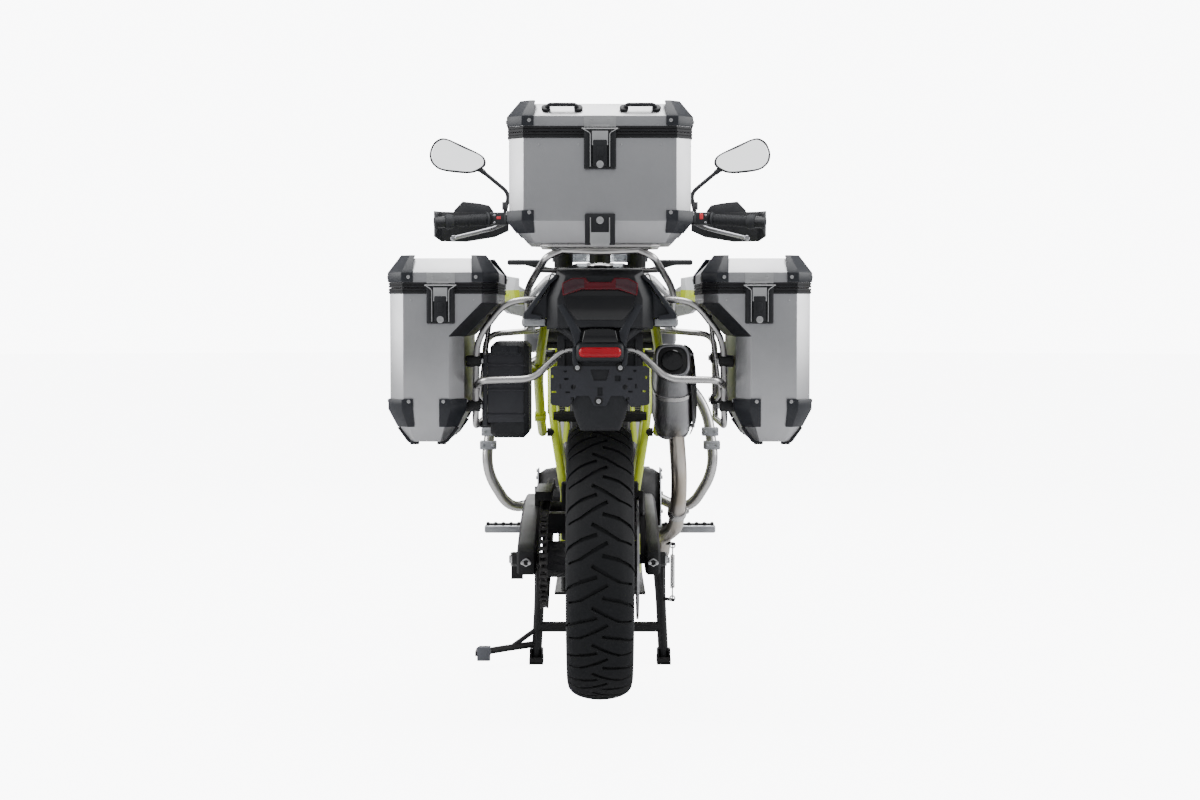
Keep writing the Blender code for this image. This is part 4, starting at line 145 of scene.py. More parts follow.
class SharedGroups:
    """The shader groups that several finishes use, each built once."""

    @cached_property
    def mottle(self) -> Tree:
        """The group that mixes two colours in soft cloudy patches."""
        tree, given, out, place = new_group("cloudy mottle",
            {"Colour": (COLOUR, (0.5, 0.5, 0.5, 1.0)), "Tint": (COLOUR, (0.4, 0.4, 0.4, 1.0)),
            "Scale": (FLOAT, 12.0)}, {"Colour": COLOUR, "Mask": FLOAT})
        cloud = add_node(tree, "TexNoise", {"Vector": place, "Scale": given["Scale"], "Detail": 5.0,
            "Roughness": 0.6})
        ramp = add_node(tree, "MapRange", {"Value": cloud.outputs["Fac"], "From Min": 0.35,
            "From Max": 0.68})
        mix = add_node(tree, "Mix", {"Factor": ramp.outputs["Result"], 6: given["Colour"],
            7: given["Tint"]}, data_type="RGBA")
        tree.links.new(mix.outputs[2], out["Colour"])
        tree.links.new(ramp.outputs["Result"], out["Mask"])
        return tree

    @cached_property
    def grain(self) -> Tree:
        """The group of a fine even grain, as on moulded plastic or rubber."""
        tree, given, out, place = new_group("fine grain",
            {"Scale": (FLOAT, 400.0), "Stretch": ("NodeSocketVector", (1.0, 1.0, 1.0))}, {"Height": FLOAT})
        drawn = add_node(tree, "VectorMath", {0: place, 1: given["Stretch"]}, operation="MULTIPLY")
        noise = add_node(tree, "TexNoise", {"Vector": drawn.outputs[0], "Scale": given["Scale"],
            "Detail": 3.0})
        tree.links.new(noise.outputs["Fac"], out["Height"])
        return tree

    @cached_property
    def cells(self) -> Tree:
        """The group of a pebbled grain, as on vinyl and cast metal."""
        tree, given, out, place = new_group("pebble grain", {"Scale": (FLOAT, 300.0)}, {"Height": FLOAT})
        cell = add_node(tree, "TexVoronoi", {"Vector": place, "Scale": given["Scale"]}, feature="SMOOTH_F1")
        fine = add_node(tree, "TexNoise", {"Vector": place, "Scale": given["Scale"]})
        both = add_node(tree, "Math", {0: cell.outputs["Distance"], 1: fine.outputs["Fac"]},
            operation="ADD")
        tree.links.new(both.outputs[0], out["Height"])
        return tree

    @cached_property
    def dust(self) -> Tree:
        """The group of light dust that settles on upward faces, in cloudy patches."""
        tree, given, out, place = new_group("settled dust",
            {"Colour": (COLOUR, (0.1, 0.1, 0.1, 1.0)), "Amount": (FLOAT, 0.1)}, {"Colour": COLOUR})
        face = add_node(tree, "NewGeometry")
        split = add_node(tree, "SeparateXYZ", {0: face.outputs["Normal"]})
        up = add_node(tree, "MapRange", {"Value": split.outputs["Z"], "From Min": -0.2, "From Max": 1.0})
        cloud = add_node(tree, "TexNoise", {"Vector": place, "Scale": 35.0, "Detail": 6.0})
        patch = add_node(tree, "Math", {0: up.outputs["Result"], 1: cloud.outputs["Fac"]},
            operation="MULTIPLY")
        share = add_node(tree, "Math", {0: patch.outputs[0], 1: given["Amount"]}, operation="MULTIPLY",
            use_clamp=True)
        mix = add_node(tree, "Mix", {"Factor": share.outputs[0], 6: given["Colour"], 7: DUST_COLOUR},
            data_type="RGBA")
        tree.links.new(mix.outputs[2], out["Colour"])
        return tree


GROUPS = SharedGroups()


class Pattern(Enum):
    """How a finish's small relief looks."""

    GRAIN = "fine even grain"
    BRUSHED = "lines drawn in one direction"
    PEBBLE = "pebbled grain"


@dataclass(frozen=True)
class Finish:
    """One surface finish, made as a node material."""

    name: str
    slot: str
    colour: Point
    tint: Point
    roughness: float
    swing: float = 0.06
    metallic: float = 0.0
    pattern: Pattern = Pattern.GRAIN
    scale: float = 500.0
    depth: float = 0.00008
    mottle: float = 14.0
    stretch: Point = (1.0, 1.0, 1.0)
    coat: float = 0.0
    dust: float = 0.05
    clear: float = 0.0
    glow: float = 0.0
    shine: float = 0.5
    band: tuple[float, float] = (0.0, 0.0)
    band_colour: Point = (0.0, 0.0, 0.0)

    def material(self) -> bpy.types.Material:
        """Returns the finish's material, built the first time it is asked for."""
        found = bpy.data.materials.get(self.name)
        if found:
            return found
        made = bpy.data.materials.new(self.name)
        made.use_nodes = True
        tree = made.node_tree
        shader = tree.nodes["Principled BSDF"].inputs
        patches = add_node(tree, "Group", {"Colour": (*self.colour, 1.0), "Tint": (*self.tint, 1.0),
            "Scale": self.mottle}, node_tree=GROUPS.mottle)
        dusty = add_node(tree, "Group", {"Amount": self.dust, "Colour": patches.outputs["Colour"]},
            node_tree=GROUPS.dust)
        skin = dusty.outputs["Colour"]
        low, high = self.band
        if high > low:
            place = add_node(tree, "TexCoord")
            axes = add_node(tree, "SeparateXYZ", {"Vector": place.outputs["Object"]})
            inside = add_node(tree, "Math", {0: axes.outputs["Z"], 1: (low + high) / 2,
                2: (high - low) / 2}, operation="COMPARE")
            mix = add_node(tree, "Mix", {0: inside.outputs[0], 6: skin, 7: (*self.band_colour, 1.0)},
                data_type="RGBA")
            skin = mix.outputs[2]
        tree.links.new(skin, shader["Base Color"])
        rough = add_node(tree, "MapRange", {"Value": patches.outputs["Mask"], "To Min": self.roughness,
            "To Max": self.roughness + self.swing})
        tree.links.new(rough.outputs["Result"], shader["Roughness"])
        if self.pattern is Pattern.PEBBLE:
            relief = add_node(tree, "Group", node_tree=GROUPS.cells)
        else:
            relief = add_node(tree, "Group", {"Stretch": self.stretch}, node_tree=GROUPS.grain)
        relief.inputs["Scale"].default_value = self.scale
        bump = add_node(tree, "Bump", {"Height": relief.outputs["Height"], "Distance": self.depth,
            "Strength": 1.0})
        tree.links.new(bump.outputs["Normal"], shader["Normal"])
        shader["Metallic"].default_value = self.metallic
        shader["Coat Weight"].default_value = self.coat
        shader["Specular IOR Level"].default_value = self.shine
        shader["Transmission Weight"].default_value = self.clear
        # A glow makes a surface give light though it is no lamp; only the mirrors' glass has one, as a
        # painted bright reflection.
        if self.glow:
            shader["Emission Color"].default_value = (*self.colour, 1.0)
            shader["Emission Strength"].default_value = self.glow
        return made


CASE_SKIN = Finish("brushed case aluminium", "case_aluminium", (0.47, 0.47, 0.48), (0.43, 0.43, 0.44), 0.36,
    metallic=1.0, pattern=Pattern.BRUSHED, scale=60.0, stretch=(30.0, 30.0, 0.6), depth=0.00005, mottle=7.0,
    dust=0.02)
CAST = Finish("cast aluminium", "cast_aluminium", (0.42, 0.43, 0.45), (0.33, 0.34, 0.36), 0.42,
    metallic=0.85, pattern=Pattern.PEBBLE, scale=500.0, depth=0.0002, dust=0.05)
STEEL = Finish("brushed stainless", "stainless", (0.62, 0.61, 0.6), (0.55, 0.54, 0.53), 0.26, metallic=1.0,
    pattern=Pattern.BRUSHED, scale=120.0, stretch=(1.0, 9.0, 9.0), depth=0.00003, dust=0.0)
HOT_STEEL = Finish("heat tinted steel", "stainless", (0.5, 0.44, 0.36), (0.58, 0.55, 0.52), 0.3,
    metallic=1.0, mottle=9.0, dust=0.03)
SATIN_STEEL = Finish("satin muffler steel", "stainless", (0.33, 0.33, 0.34), (0.25, 0.25, 0.26), 0.3,
    metallic=1.0, pattern=Pattern.BRUSHED, scale=90.0, stretch=(8.0, 1.0, 8.0), depth=0.00004, mottle=8.0,
    dust=0.03)
LIME = Finish("lime frame paint", "lime_paint", (0.5, 0.6, 0.02), (0.44, 0.55, 0.015), 0.3, coat=0.5,
    depth=0.00005, dust=0.04)
BLACK_PAINT = Finish("black chassis paint", "black_paint", (0.007, 0.007, 0.008), (0.011, 0.011, 0.012),
    0.42, dust=0.04, shine=0.3)
GLOSS_BLACK = Finish("gloss black paint", "black_paint", (0.004, 0.004, 0.005), (0.006, 0.006, 0.007), 0.14,
    swing=0.03, coat=0.25, depth=0.00001, dust=0.01, shine=0.35)
PLASTIC = Finish("moulded black plastic", "black_plastic", (0.01, 0.0105, 0.013), (0.016, 0.017, 0.02),
    0.46, pattern=Pattern.PEBBLE, scale=900.0, dust=0.03, shine=0.35)
CAP_PLASTIC = Finish("case corner plastic", "black_plastic", (0.012, 0.0135, 0.018), (0.019, 0.021, 0.027),
    0.36, pattern=Pattern.PEBBLE, scale=800.0, dust=0.02, shine=0.4)
BRACKET = Finish("bracket coating", "black_plastic", (0.017, 0.018, 0.024), (0.022, 0.023, 0.03), 0.42,
    pattern=Pattern.PEBBLE, scale=900.0, dust=0.02)
WHITE = Finish("white side panel", "white_panel", (0.62, 0.63, 0.64), (0.55, 0.56, 0.57), 0.24, coat=0.5,
    depth=0.00002, dust=0.03)
SHROUD = replace(WHITE, name="striped side panel", band=(0.93, 0.968), band_colour=(0.5, 0.6, 0.02))
RUBBER = Finish("tyre rubber", "tyre_rubber", (0.005, 0.0054, 0.0066), (0.008, 0.0084, 0.0098), 0.62,
    swing=0.12, scale=700.0, depth=0.00015, mottle=22.0, dust=0.03, shine=0.22)
GRIP = Finish("grip rubber", "black_paint", (0.016, 0.017, 0.02), (0.022, 0.023, 0.026), 0.62, scale=800.0,
    depth=0.0001, dust=0.02, shine=0.3)
VINYL = Finish("seat vinyl", "vinyl", (0.01, 0.01, 0.011), (0.016, 0.016, 0.018), 0.5,
    pattern=Pattern.PEBBLE, scale=650.0, depth=0.00025, dust=0.03, shine=0.4)
ENGINE = Finish("black engine paint", "engine_black", (0.014, 0.014, 0.016), (0.022, 0.022, 0.024), 0.44,
    pattern=Pattern.PEBBLE, scale=600.0, depth=0.00015, dust=0.06, shine=0.35)
CHAIN_STEEL = Finish("oiled chain steel", "engine_black", (0.075, 0.073, 0.072), (0.035, 0.034, 0.034),
    0.36, metallic=0.9, mottle=60.0, dust=0.02)
DISC_STEEL = Finish("ground disc steel", "stainless", (0.52, 0.52, 0.53), (0.44, 0.44, 0.45), 0.28,
    metallic=1.0, mottle=30.0, dust=0.02)
SPOKE_STEEL = Finish("spoke steel", "stainless", (0.58, 0.58, 0.58), (0.5, 0.5, 0.5), 0.25, metallic=1.0,
    dust=0.03)
FORK = Finish("fork tube metal", "fork_tube", (0.5, 0.5, 0.52), (0.43, 0.43, 0.45), 0.26, metallic=0.95,
    pattern=Pattern.BRUSHED, stretch=(6.0, 1.0, 1.0), scale=90.0, depth=0.00003)
RED = Finish("red lamp lens", "red_lens", (0.42, 0.004, 0.014), (0.36, 0.003, 0.011), 0.2, swing=0.05,
    coat=0.15, scale=260.0, depth=0.0001, dust=0.0, shine=0.3)
DIM_RED = replace(RED, name="unlit red lens", colour=(0.1, 0.002, 0.008), tint=(0.075, 0.002, 0.006),
    roughness=0.14, coat=0.2)
SMOKED = Finish("smoked lamp wing", "red_lens", (0.05, 0.014, 0.02), (0.036, 0.01, 0.015), 0.16, coat=0.3,
    scale=260.0, depth=0.0001, dust=0.0, shine=0.4)
LENS = Finish("clear lamp lens", "clear_lens", (0.6, 0.62, 0.64), (0.5, 0.52, 0.54), 0.1, coat=0.6,
    scale=200.0, depth=0.0003, dust=0.0, clear=0.35)
SCREEN = Finish("smoked screen", "screen", (0.62, 0.65, 0.68), (0.56, 0.59, 0.62), 0.04, swing=0.02,
    depth=0.00001, dust=0.0, clear=0.92)
# The mirrors' glass glows though it is no lamp: painted light, a painted bright reflection.
GLOWING_MIRROR = Finish("mirror glass with painted glow", "black_plastic", (0.86, 0.87, 0.88), (0.82, 0.83, 0.84), 0.03, swing=0.02,
    metallic=1.0, depth=0.000002, dust=0.0, glow=1.6)
BOLT = Finish("bright screw steel", "stainless", (0.6, 0.6, 0.6), (0.5, 0.5, 0.5), 0.28, metallic=1.0,
    dust=0.0)
HOSE = Finish("rubber hose", "black_plastic", (0.007, 0.007, 0.008), (0.011, 0.011, 0.012), 0.5,
    scale=700.0, dust=0.02, shine=0.35)
SEAL = Finish("gasket rubber", "black_plastic", (0.007, 0.007, 0.009), (0.012, 0.012, 0.014), 0.55,
    dust=0.01, shine=0.35)
PEDAL = Finish("worn pedal paint", "black_paint", (0.085, 0.09, 0.105), (0.1, 0.105, 0.12), 0.5, dust=0.02)
LIME_DECAL = Finish("lime stripe film", "lime_paint", (0.55, 0.66, 0.03), (0.5, 0.62, 0.02), 0.28, coat=0.4)
SIGNAL_RED = Finish("red switch cap", "red_lens", (0.55, 0.03, 0.04), (0.45, 0.02, 0.03), 0.4)


# Modelling helpers


def deselect() -> None:
    """Leaves nothing selected."""
    bpy.ops.object.select_all(action="DESELECT")


def activate(thing: Thing) -> Thing:
    """Makes one object the only selected and active one, and returns it."""
    deselect()
    thing.select_set(True)
    bpy.context.view_layer.objects.active = thing
    return thing


def settle(thing: Thing) -> Thing:
    """Puts the object's place, turn and size into its mesh, and returns it."""
    activate(thing)
    bpy.ops.object.transform_apply(location=True, rotation=True, scale=True)
    return thing


def apply_modifier(thing: Thing, kind: str, **settings: object) -> Thing:
    """Adds a modifier, applies it, and returns the object."""
    activate(thing)
    extra = thing.modifiers.new(kind.lower(), kind)
    for option, value in settings.items():
        setattr(extra, option, value)
    bpy.ops.object.modifier_apply(modifier=extra.name)
    return thing


def bevelled(thing: Thing, width: float, segments: int = 2, angle: float = 30.0) -> Thing:
    """Rounds the object's sharp edges by a width."""
    return apply_modifier(thing, "BEVEL", width=width, segments=segments, limit_method="ANGLE",
        angle_limit=math.radians(angle))


def smoothed(thing: Thing, angle: float = SMOOTH_DEG) -> Thing:
    """Shades the object smooth across edges blunter than an angle."""
    activate(thing)
    bpy.ops.object.shade_smooth_by_angle(angle=math.radians(angle))
    return thing


def block(size: Point, centre: Point, bevel: float = 0.0, turn: Point = (0.0, 0.0, 0.0),
        segments: int = 2) -> Thing:
    """A box with rounded edges.

    Args:
        size: its three sides.
        centre: its middle.
        bevel: the rounding of its edges.
        turn: its rotation in degrees about X, Y and Z.
        segments: steps in the rounding.

    Returns:
        The box's object.
    """
    deselect()
    angles = tuple(math.radians(angle) for angle in turn)
    bpy.ops.mesh.primitive_cube_add(size=1.0, location=centre, rotation=angles)
    made = bpy.context.active_object
    made.scale = size
    settle(made)
    return bevelled(made, bevel, segments) if bevel else made


def bar(start: Point, end: Point, radius: float, sides: int = 20, bevel: float = 0.0) -> Thing:
    """A round bar between two points.

    Args:
        start: the middle of one end.
        end: the middle of the other end.
        radius: half its thickness.
        sides: the number of its flats.
        bevel: the rounding of its end edges.

    Returns:
        The bar's object.
    """
    first, last = Vector(start), Vector(end)
    run = last - first
    deselect()
    bpy.ops.mesh.primitive_cylinder_add(vertices=sides, radius=radius, depth=run.length,
        location=(first + last) / 2, rotation=run.to_track_quat("Z", "Y").to_euler())
    made = settle(bpy.context.active_object)
    if bevel:
        bevelled(made, bevel, angle=50.0)
    return made


def rounded(points: list[Vector], radius: float, steps: int = 5) -> list[Vector]:
    """The points of a path with its corners rounded to a radius."""
    path = [points[0]]
    for before, corner, after in zip(points, points[1:], points[2:]):
        back, ahead = before - corner, after - corner
        reach = min(radius, 0.45 * back.length, 0.45 * ahead.length)
        first, last = corner + back.normalized() * reach, corner + ahead.normalized() * reach
        for step in range(steps + 1):
            t = step / steps
            path.append(first.lerp(corner, t).lerp(corner.lerp(last, t), t))
    path.append(points[-1])
    return path


def from_curve(curve: bpy.types.Curve, paths: list[list[Point]], closed: bool) -> Thing:
    """A mesh object from a curve with one straight-sided spline along each path."""
    for path in paths:
        spline = curve.splines.new("POLY")
        spline.points.add(len(path) - 1)
        for point, place in zip(spline.points, path):
            point.co = (*place, 1.0)
        spline.use_cyclic_u = closed
    made = bpy.data.objects.new(curve.name, curve)
    bpy.context.scene.collection.objects.link(made)
    activate(made)
    bpy.ops.object.convert(target="MESH")
    return bpy.context.active_object


def pipe(points: list[Vector], radius: float, bend: float = 0.05, resolution: int = 4,
        steps: int = 5) -> Thing:
    """A round tube along a path, made from a curve.

    Args:
        points: the corners of its path.
        radius: half its thickness.
        bend: the radius of its corners.
        resolution: the roundness of its section.
        steps: the number of steps in each corner.

    Returns:
        The tube's object, a mesh.
    """
    curve = bpy.data.curves.new("path", "CURVE")
    curve.dimensions = "3D"
    curve.bevel_depth = radius
    curve.bevel_resolution = resolution
    curve.use_fill_caps = True
    return cleaned(from_curve(curve, [rounded(points, bend, steps)], False))


def cleaned(thing: Thing, reach: float = MERGE_REACH) -> Thing:
    """Merges doubled points and turns the faces outwards."""
    activate(thing)
    bpy.ops.object.mode_set(mode="EDIT")
    bpy.ops.mesh.select_all(action="SELECT")
    bpy.ops.mesh.remove_doubles(threshold=reach)
    bpy.ops.mesh.normals_make_consistent(inside=False)
    bpy.ops.object.mode_set(mode="OBJECT")
    return thing


def mesh_of(points: list[Vector], faces: list[tuple[int, ...]],
        edges: list[tuple[int, int]] | None = None) -> Thing:
    """An object from points, edges and faces, for a loft that no operator makes."""
    data = bpy.data.meshes.new("loft")
    data.from_pydata([tuple(p) for p in points], edges or [], faces)
    made = bpy.data.objects.new("loft", data)
    bpy.context.scene.collection.objects.link(made)
    return made


def strips(rows: int, count: int, base: int = 0, around: bool = True,
        wrap: bool = False) -> list[tuple[int, ...]]:
    """The quads between the neighbouring rows of a grid of points.

    Args:
        rows: the number of rows.
        count: the number of points in a row.
        base: the first point's number.
        around: whether each row returns to its start.
        wrap: whether the last row joins the first.

    Returns:
        The quads' corners.
    """
    faces = []
    for row in range(rows if wrap else rows - 1):
        after = (row + 1) % rows
        for column in range(count if around else count - 1):
            beside = (column + 1) % count
            faces.append((base + row * count + column, base + row * count + beside,
                base + after * count + beside, base + after * count + column))
    return faces


def lofted(rings: list[list[Vector]], closed: bool = True, caps: bool = True) -> Thing:
    """A skin through rings of equal length.

    Args:
        rings: the sections, in order.
        closed: whether each section returns to its start.
        caps: whether the first and last sections are filled.

    Returns:
        The skin's object with its faces turned outwards.
    """
    count = len(rings[0])
    points = [p for ring in rings for p in ring]
    faces = strips(len(rings), count, 0, closed)
    if caps and closed:
        faces.append(tuple(range(count))[::-1])
        faces.append(tuple(range(len(points) - count, len(points))))
    return cleaned(mesh_of(points, faces))


def sheet_of(outline: Outline, depth: float, view: Matrix, place: Point, holes: list[Outline] | None = None,
        bevel: float = 0.0, segments: int = 1) -> Thing:
    """A flat plate with an outline and holes, made from a filled curve.

    Args:
        outline: its corners in its own plane.
        depth: its thickness.
        view: the turn of its plane; the third column is its thickness direction.
        place: the middle of its plane.
        holes: outlines of its holes.
        bevel: the rounding of its edges.
        segments: steps in the rounding.

    Returns:
        The plate's object, a mesh.
    """
    curve = bpy.data.curves.new("plate", "CURVE")
    curve.dimensions = "2D"
    curve.fill_mode = "BOTH"
    curve.extrude = depth / 2
    loops = [[(x, y, 0.0) for x, y in loop] for loop in [outline, *(holes or [])]]
    made = from_curve(curve, loops, True)
    made.matrix_world = Matrix.Translation(place) @ view.to_4x4()
    cleaned(settle(made))
    return bevelled(made, bevel, segments) if bevel else made


def turned(profile: Outline, centre: Vector, steps: int, axis: str = "X") -> Thing:
    """A turned piece from a closed profile of radius and place along its axis.

    Args:
        profile: radius and distance along the axis of each corner.
        centre: the point on the axis that distances start from.
        steps: the number of steps round.
        axis: the axis letter.

    Returns:
        The piece's object.
    """
    count = len(profile)
    made = mesh_of([vec(along, 0.0, radius) for radius, along in profile], [],
        [(i, (i + 1) % count) for i in range(count)])
    apply_modifier(made, "SCREW", axis="X", steps=steps, render_steps=steps, angle=math.tau,
        use_merge_vertices=True, merge_threshold=MERGE_REACH)
    made.rotation_euler = AXIS_TURNS[axis]
    made.location = centre
    return cleaned(settle(made))


def copied(thing: Thing, change: Matrix) -> Thing:
    """A copy with its own mesh, moved by a matrix; a mirrored one is turned right again."""
    made = thing.copy()
    made.data = thing.data.copy()
    made.data.transform(change)
    bpy.context.scene.collection.objects.link(made)
    if change.determinant() < 0:
        made.data.flip_normals()
    return made


def mirrored_x(thing: Thing) -> Thing:
    """A copy on the other side of the motorcycle."""
    return copied(thing, Matrix.Diagonal((-1.0, 1.0, 1.0, 1.0)))


def paired(pieces: list[Thing]) -> list[Thing]:
    """Pieces joined into one, and its copy on the other side."""
    one = joined(pieces)
    return [one, mirrored_x(one)]


def node_box(node: str) -> tuple[Vector, Vector]:
    """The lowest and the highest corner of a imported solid."""
    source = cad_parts[node]
    corners = [source.matrix_world @ Vector(corner) for corner in source.bound_box]
    return tuple(Vector([pick(spot[i] for spot in corners) for i in range(3)]) for pick in (min, max))


def joined(pieces: list[Thing]) -> Thing:
    """Joins objects into the first of them, and returns it."""
    deselect()
    for piece in pieces:
        piece.select_set(True)
    bpy.context.view_layer.objects.active = pieces[0]
    if len(pieces) > 1:
        bpy.ops.object.join()
    return bpy.context.view_layer.objects.active


def bored(thing: Thing, cutters: list[Thing]) -> Thing:
    """Cuts other solids out of the object, and returns it."""
    for cutter in cutters:
        apply_modifier(thing, "BOOLEAN", operation="DIFFERENCE", object=cutter)
        bpy.data.objects.remove(cutter)
    return thing


def circle(radius: float, count: int = 24, middle: tuple[float, float] = (0.0, 0.0), start: float = 0.0,
        sweep: float = 360.0) -> Outline:
    """Points round a circle or an arc of it."""
    steps = count if sweep >= 360.0 else count - 1
    return [(middle[0] + radius * math.cos(math.radians(start + sweep * i / steps)),
        middle[1] + radius * math.sin(math.radians(start + sweep * i / steps))) for i in range(count)]


def framed(x: float, y: float, half_wide: float, half_tall: float) -> Outline:
    """The four corners of a rectangle round a place."""
    return [(x - half_wide, y - half_tall), (x + half_wide, y - half_tall), (x + half_wide, y + half_tall),
        (x - half_wide, y + half_tall)]


def both_halves(half: Outline) -> Outline:
    """An outline from its right half."""
    return half + [(-x, y) for x, y in half[::-1]]


def placed(thing: Thing | list[Thing], name: str, body: str, finish: Finish, replaced: tuple[str, ...] = (),
        smooth: float = SMOOTH_DEG) -> Thing:
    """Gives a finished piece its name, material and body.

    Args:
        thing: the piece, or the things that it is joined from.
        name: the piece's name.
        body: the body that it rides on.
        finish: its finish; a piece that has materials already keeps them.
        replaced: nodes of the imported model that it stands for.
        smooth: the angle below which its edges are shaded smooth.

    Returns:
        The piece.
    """
    if isinstance(thing, list):
        thing = joined(thing)
    thing.name = name
    thing.data.name = name
    smoothed(thing, smooth)
    if not any(thing.data.materials):
        thing.data.materials.clear()
        thing.data.materials.append(finish.material())
    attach(thing, body)
    if replaced:
        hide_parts(*replaced)
    LOG.info("made %s on %s", name, body)
    return thing


def dressed(node: str, finish: Finish) -> None:
    """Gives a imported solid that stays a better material."""
    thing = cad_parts[node]
    material = finish.material()
    if not thing.material_slots:
        thing.data.materials.append(material)
    for holder in thing.material_slots:
        holder.material = material
    LOG.info("dressed %s", node)


def refined(node: str, body: str, finish: Finish, bevel: float = 0.0, smooth: float = SMOOTH_DEG,
        segments: int = 2) -> Thing:
    """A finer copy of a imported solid, with merged points and rounded edges.

    Args:
        node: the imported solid.
        body: the body that it rides on.
        finish: its finish.
        bevel: the rounding of its sharp edges; none if 0.
        smooth: the angle below which its edges are shaded smooth.
        segments: steps in the rounding.

    Returns:
        The copy, which replaces the node.
    """
    made = copied(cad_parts[node], Matrix.Identity(4))
    made.parent = None
    for key in list(made.keys()):
        del made[key]
    made.data.materials.clear()
    made.hide_render = False
    cleaned(made)
    if bevel:
        apply_modifier(made, "DECIMATE", decimate_type="DISSOLVE", angle_limit=math.radians(2.0))
        bevelled(made, bevel, segments)
    return placed(made, f"{node}.fine", body, finish, (node,), smooth)


@dataclass
class Studio:
    """The camera, the pale floor and the soft lights."""

    lens: float = 61.5
    sensor: float = 36.0
    far_clip: float = 100.0
    camera_place: Point = (0.0, -5.489, 0.912)
    camera_drop: float = 2.49
    floor_radius: float = 40.0
    floor_depth: float = -0.001
    floor_colour: tuple = (0.54, 0.543, 0.551, 1.0)
    floor_tint: tuple = (0.535, 0.538, 0.546, 1.0)
    floor_mottle: float = 0.6
    floor_roughness: float = 0.9
    floor_lift: float = 15.2
    sky: float = 10.0
    sky_colour: tuple = (0.925, 0.93, 0.945, 1.0)
    fill: float = 0.62
    fill_colour: tuple = (0.95, 0.97, 1.0, 1.0)
    aim: Point = (0.0, -0.1, 0.7)
    soft_boxes: tuple = (("left", (-3.6, -1.2, 2.2), 2.6, 130.0), ("right", (3.6, -1.0, 2.2), 2.6, 130.0),
        ("top", (0.0, -0.3, 4.6), 3.4, 250.0), ("front", (0.0, 4.5, 2.4), 2.5, 70.0))

    def camera(self) -> None:
        """Places the camera of the photograph's view."""
        data = bpy.data.cameras.new("camera")
        data.lens, data.sensor_width, data.clip_end = self.lens, self.sensor, self.far_clip
        made = bpy.data.objects.new("camera", data)
        made.location = self.camera_place
        made.rotation_euler = (math.radians(90.0 - self.camera_drop), 0.0, 0.0)
        bpy.context.scene.collection.objects.link(made)
        bpy.context.scene.camera = made

    def floor(self) -> None:
        """Lays the pale floor."""
        deselect()
        bpy.ops.mesh.primitive_circle_add(vertices=96, radius=self.floor_radius, fill_type="NGON",
            location=(0.0, 0.0, self.floor_depth))
        made = settle(bpy.context.active_object)
        made.name = "studio_floor"
        material = bpy.data.materials.new("pale studio floor")
        material.use_nodes = True
        tree = material.node_tree
        shader = tree.nodes["Principled BSDF"].inputs
        patch = add_node(tree, "Group", {"Colour": self.floor_colour, "Tint": self.floor_tint,
            "Scale": self.floor_mottle}, node_tree=GROUPS.mottle)
        ray = add_node(tree, "LightPath")
        lift = add_node(tree, "Math", {0: ray.outputs["Is Camera Ray"], 1: self.floor_lift},
            operation="MULTIPLY")
        shader["Roughness"].default_value = self.floor_roughness
        for socket, label in ((patch.outputs["Colour"], "Base Color"),
                (patch.outputs["Colour"], "Emission Color"), (lift.outputs[0], "Emission Strength")):
            tree.links.new(socket, shader[label])
        made.data.materials.append(material)

    def lights(self) -> None:
        """Sets the sky that fills the shadows, and the soft boxes."""
        world = bpy.data.worlds.new("studio")
        world.use_nodes = True
        tree = world.node_tree
        seen = tree.nodes["Background"]
        seen.inputs["Color"].default_value = self.sky_colour
        seen.inputs["Strength"].default_value = self.sky
        fill = add_node(tree, "Background", {"Color": self.fill_colour, "Strength": self.fill})
        ray = add_node(tree, "LightPath")
        mix = add_node(tree, "MixShader", {0: ray.outputs["Is Camera Ray"], 1: fill.outputs[0],
            2: seen.outputs[0]})
        tree.links.new(mix.outputs[0], tree.nodes["World Output"].inputs["Surface"])
        bpy.context.scene.world = world
        for name, place, size, power in self.soft_boxes:
            data = bpy.data.lights.new(f"soft_{name}", "AREA")
            data.size, data.energy = size, power
            made = bpy.data.objects.new(f"soft_{name}", data)
            made.location = place
            aim = Vector(self.aim) - Vector(place)
            made.rotation_euler = aim.to_track_quat("-Z", "Y").to_euler()
            bpy.context.scene.collection.objects.link(made)


# Pieces of the motorcycle


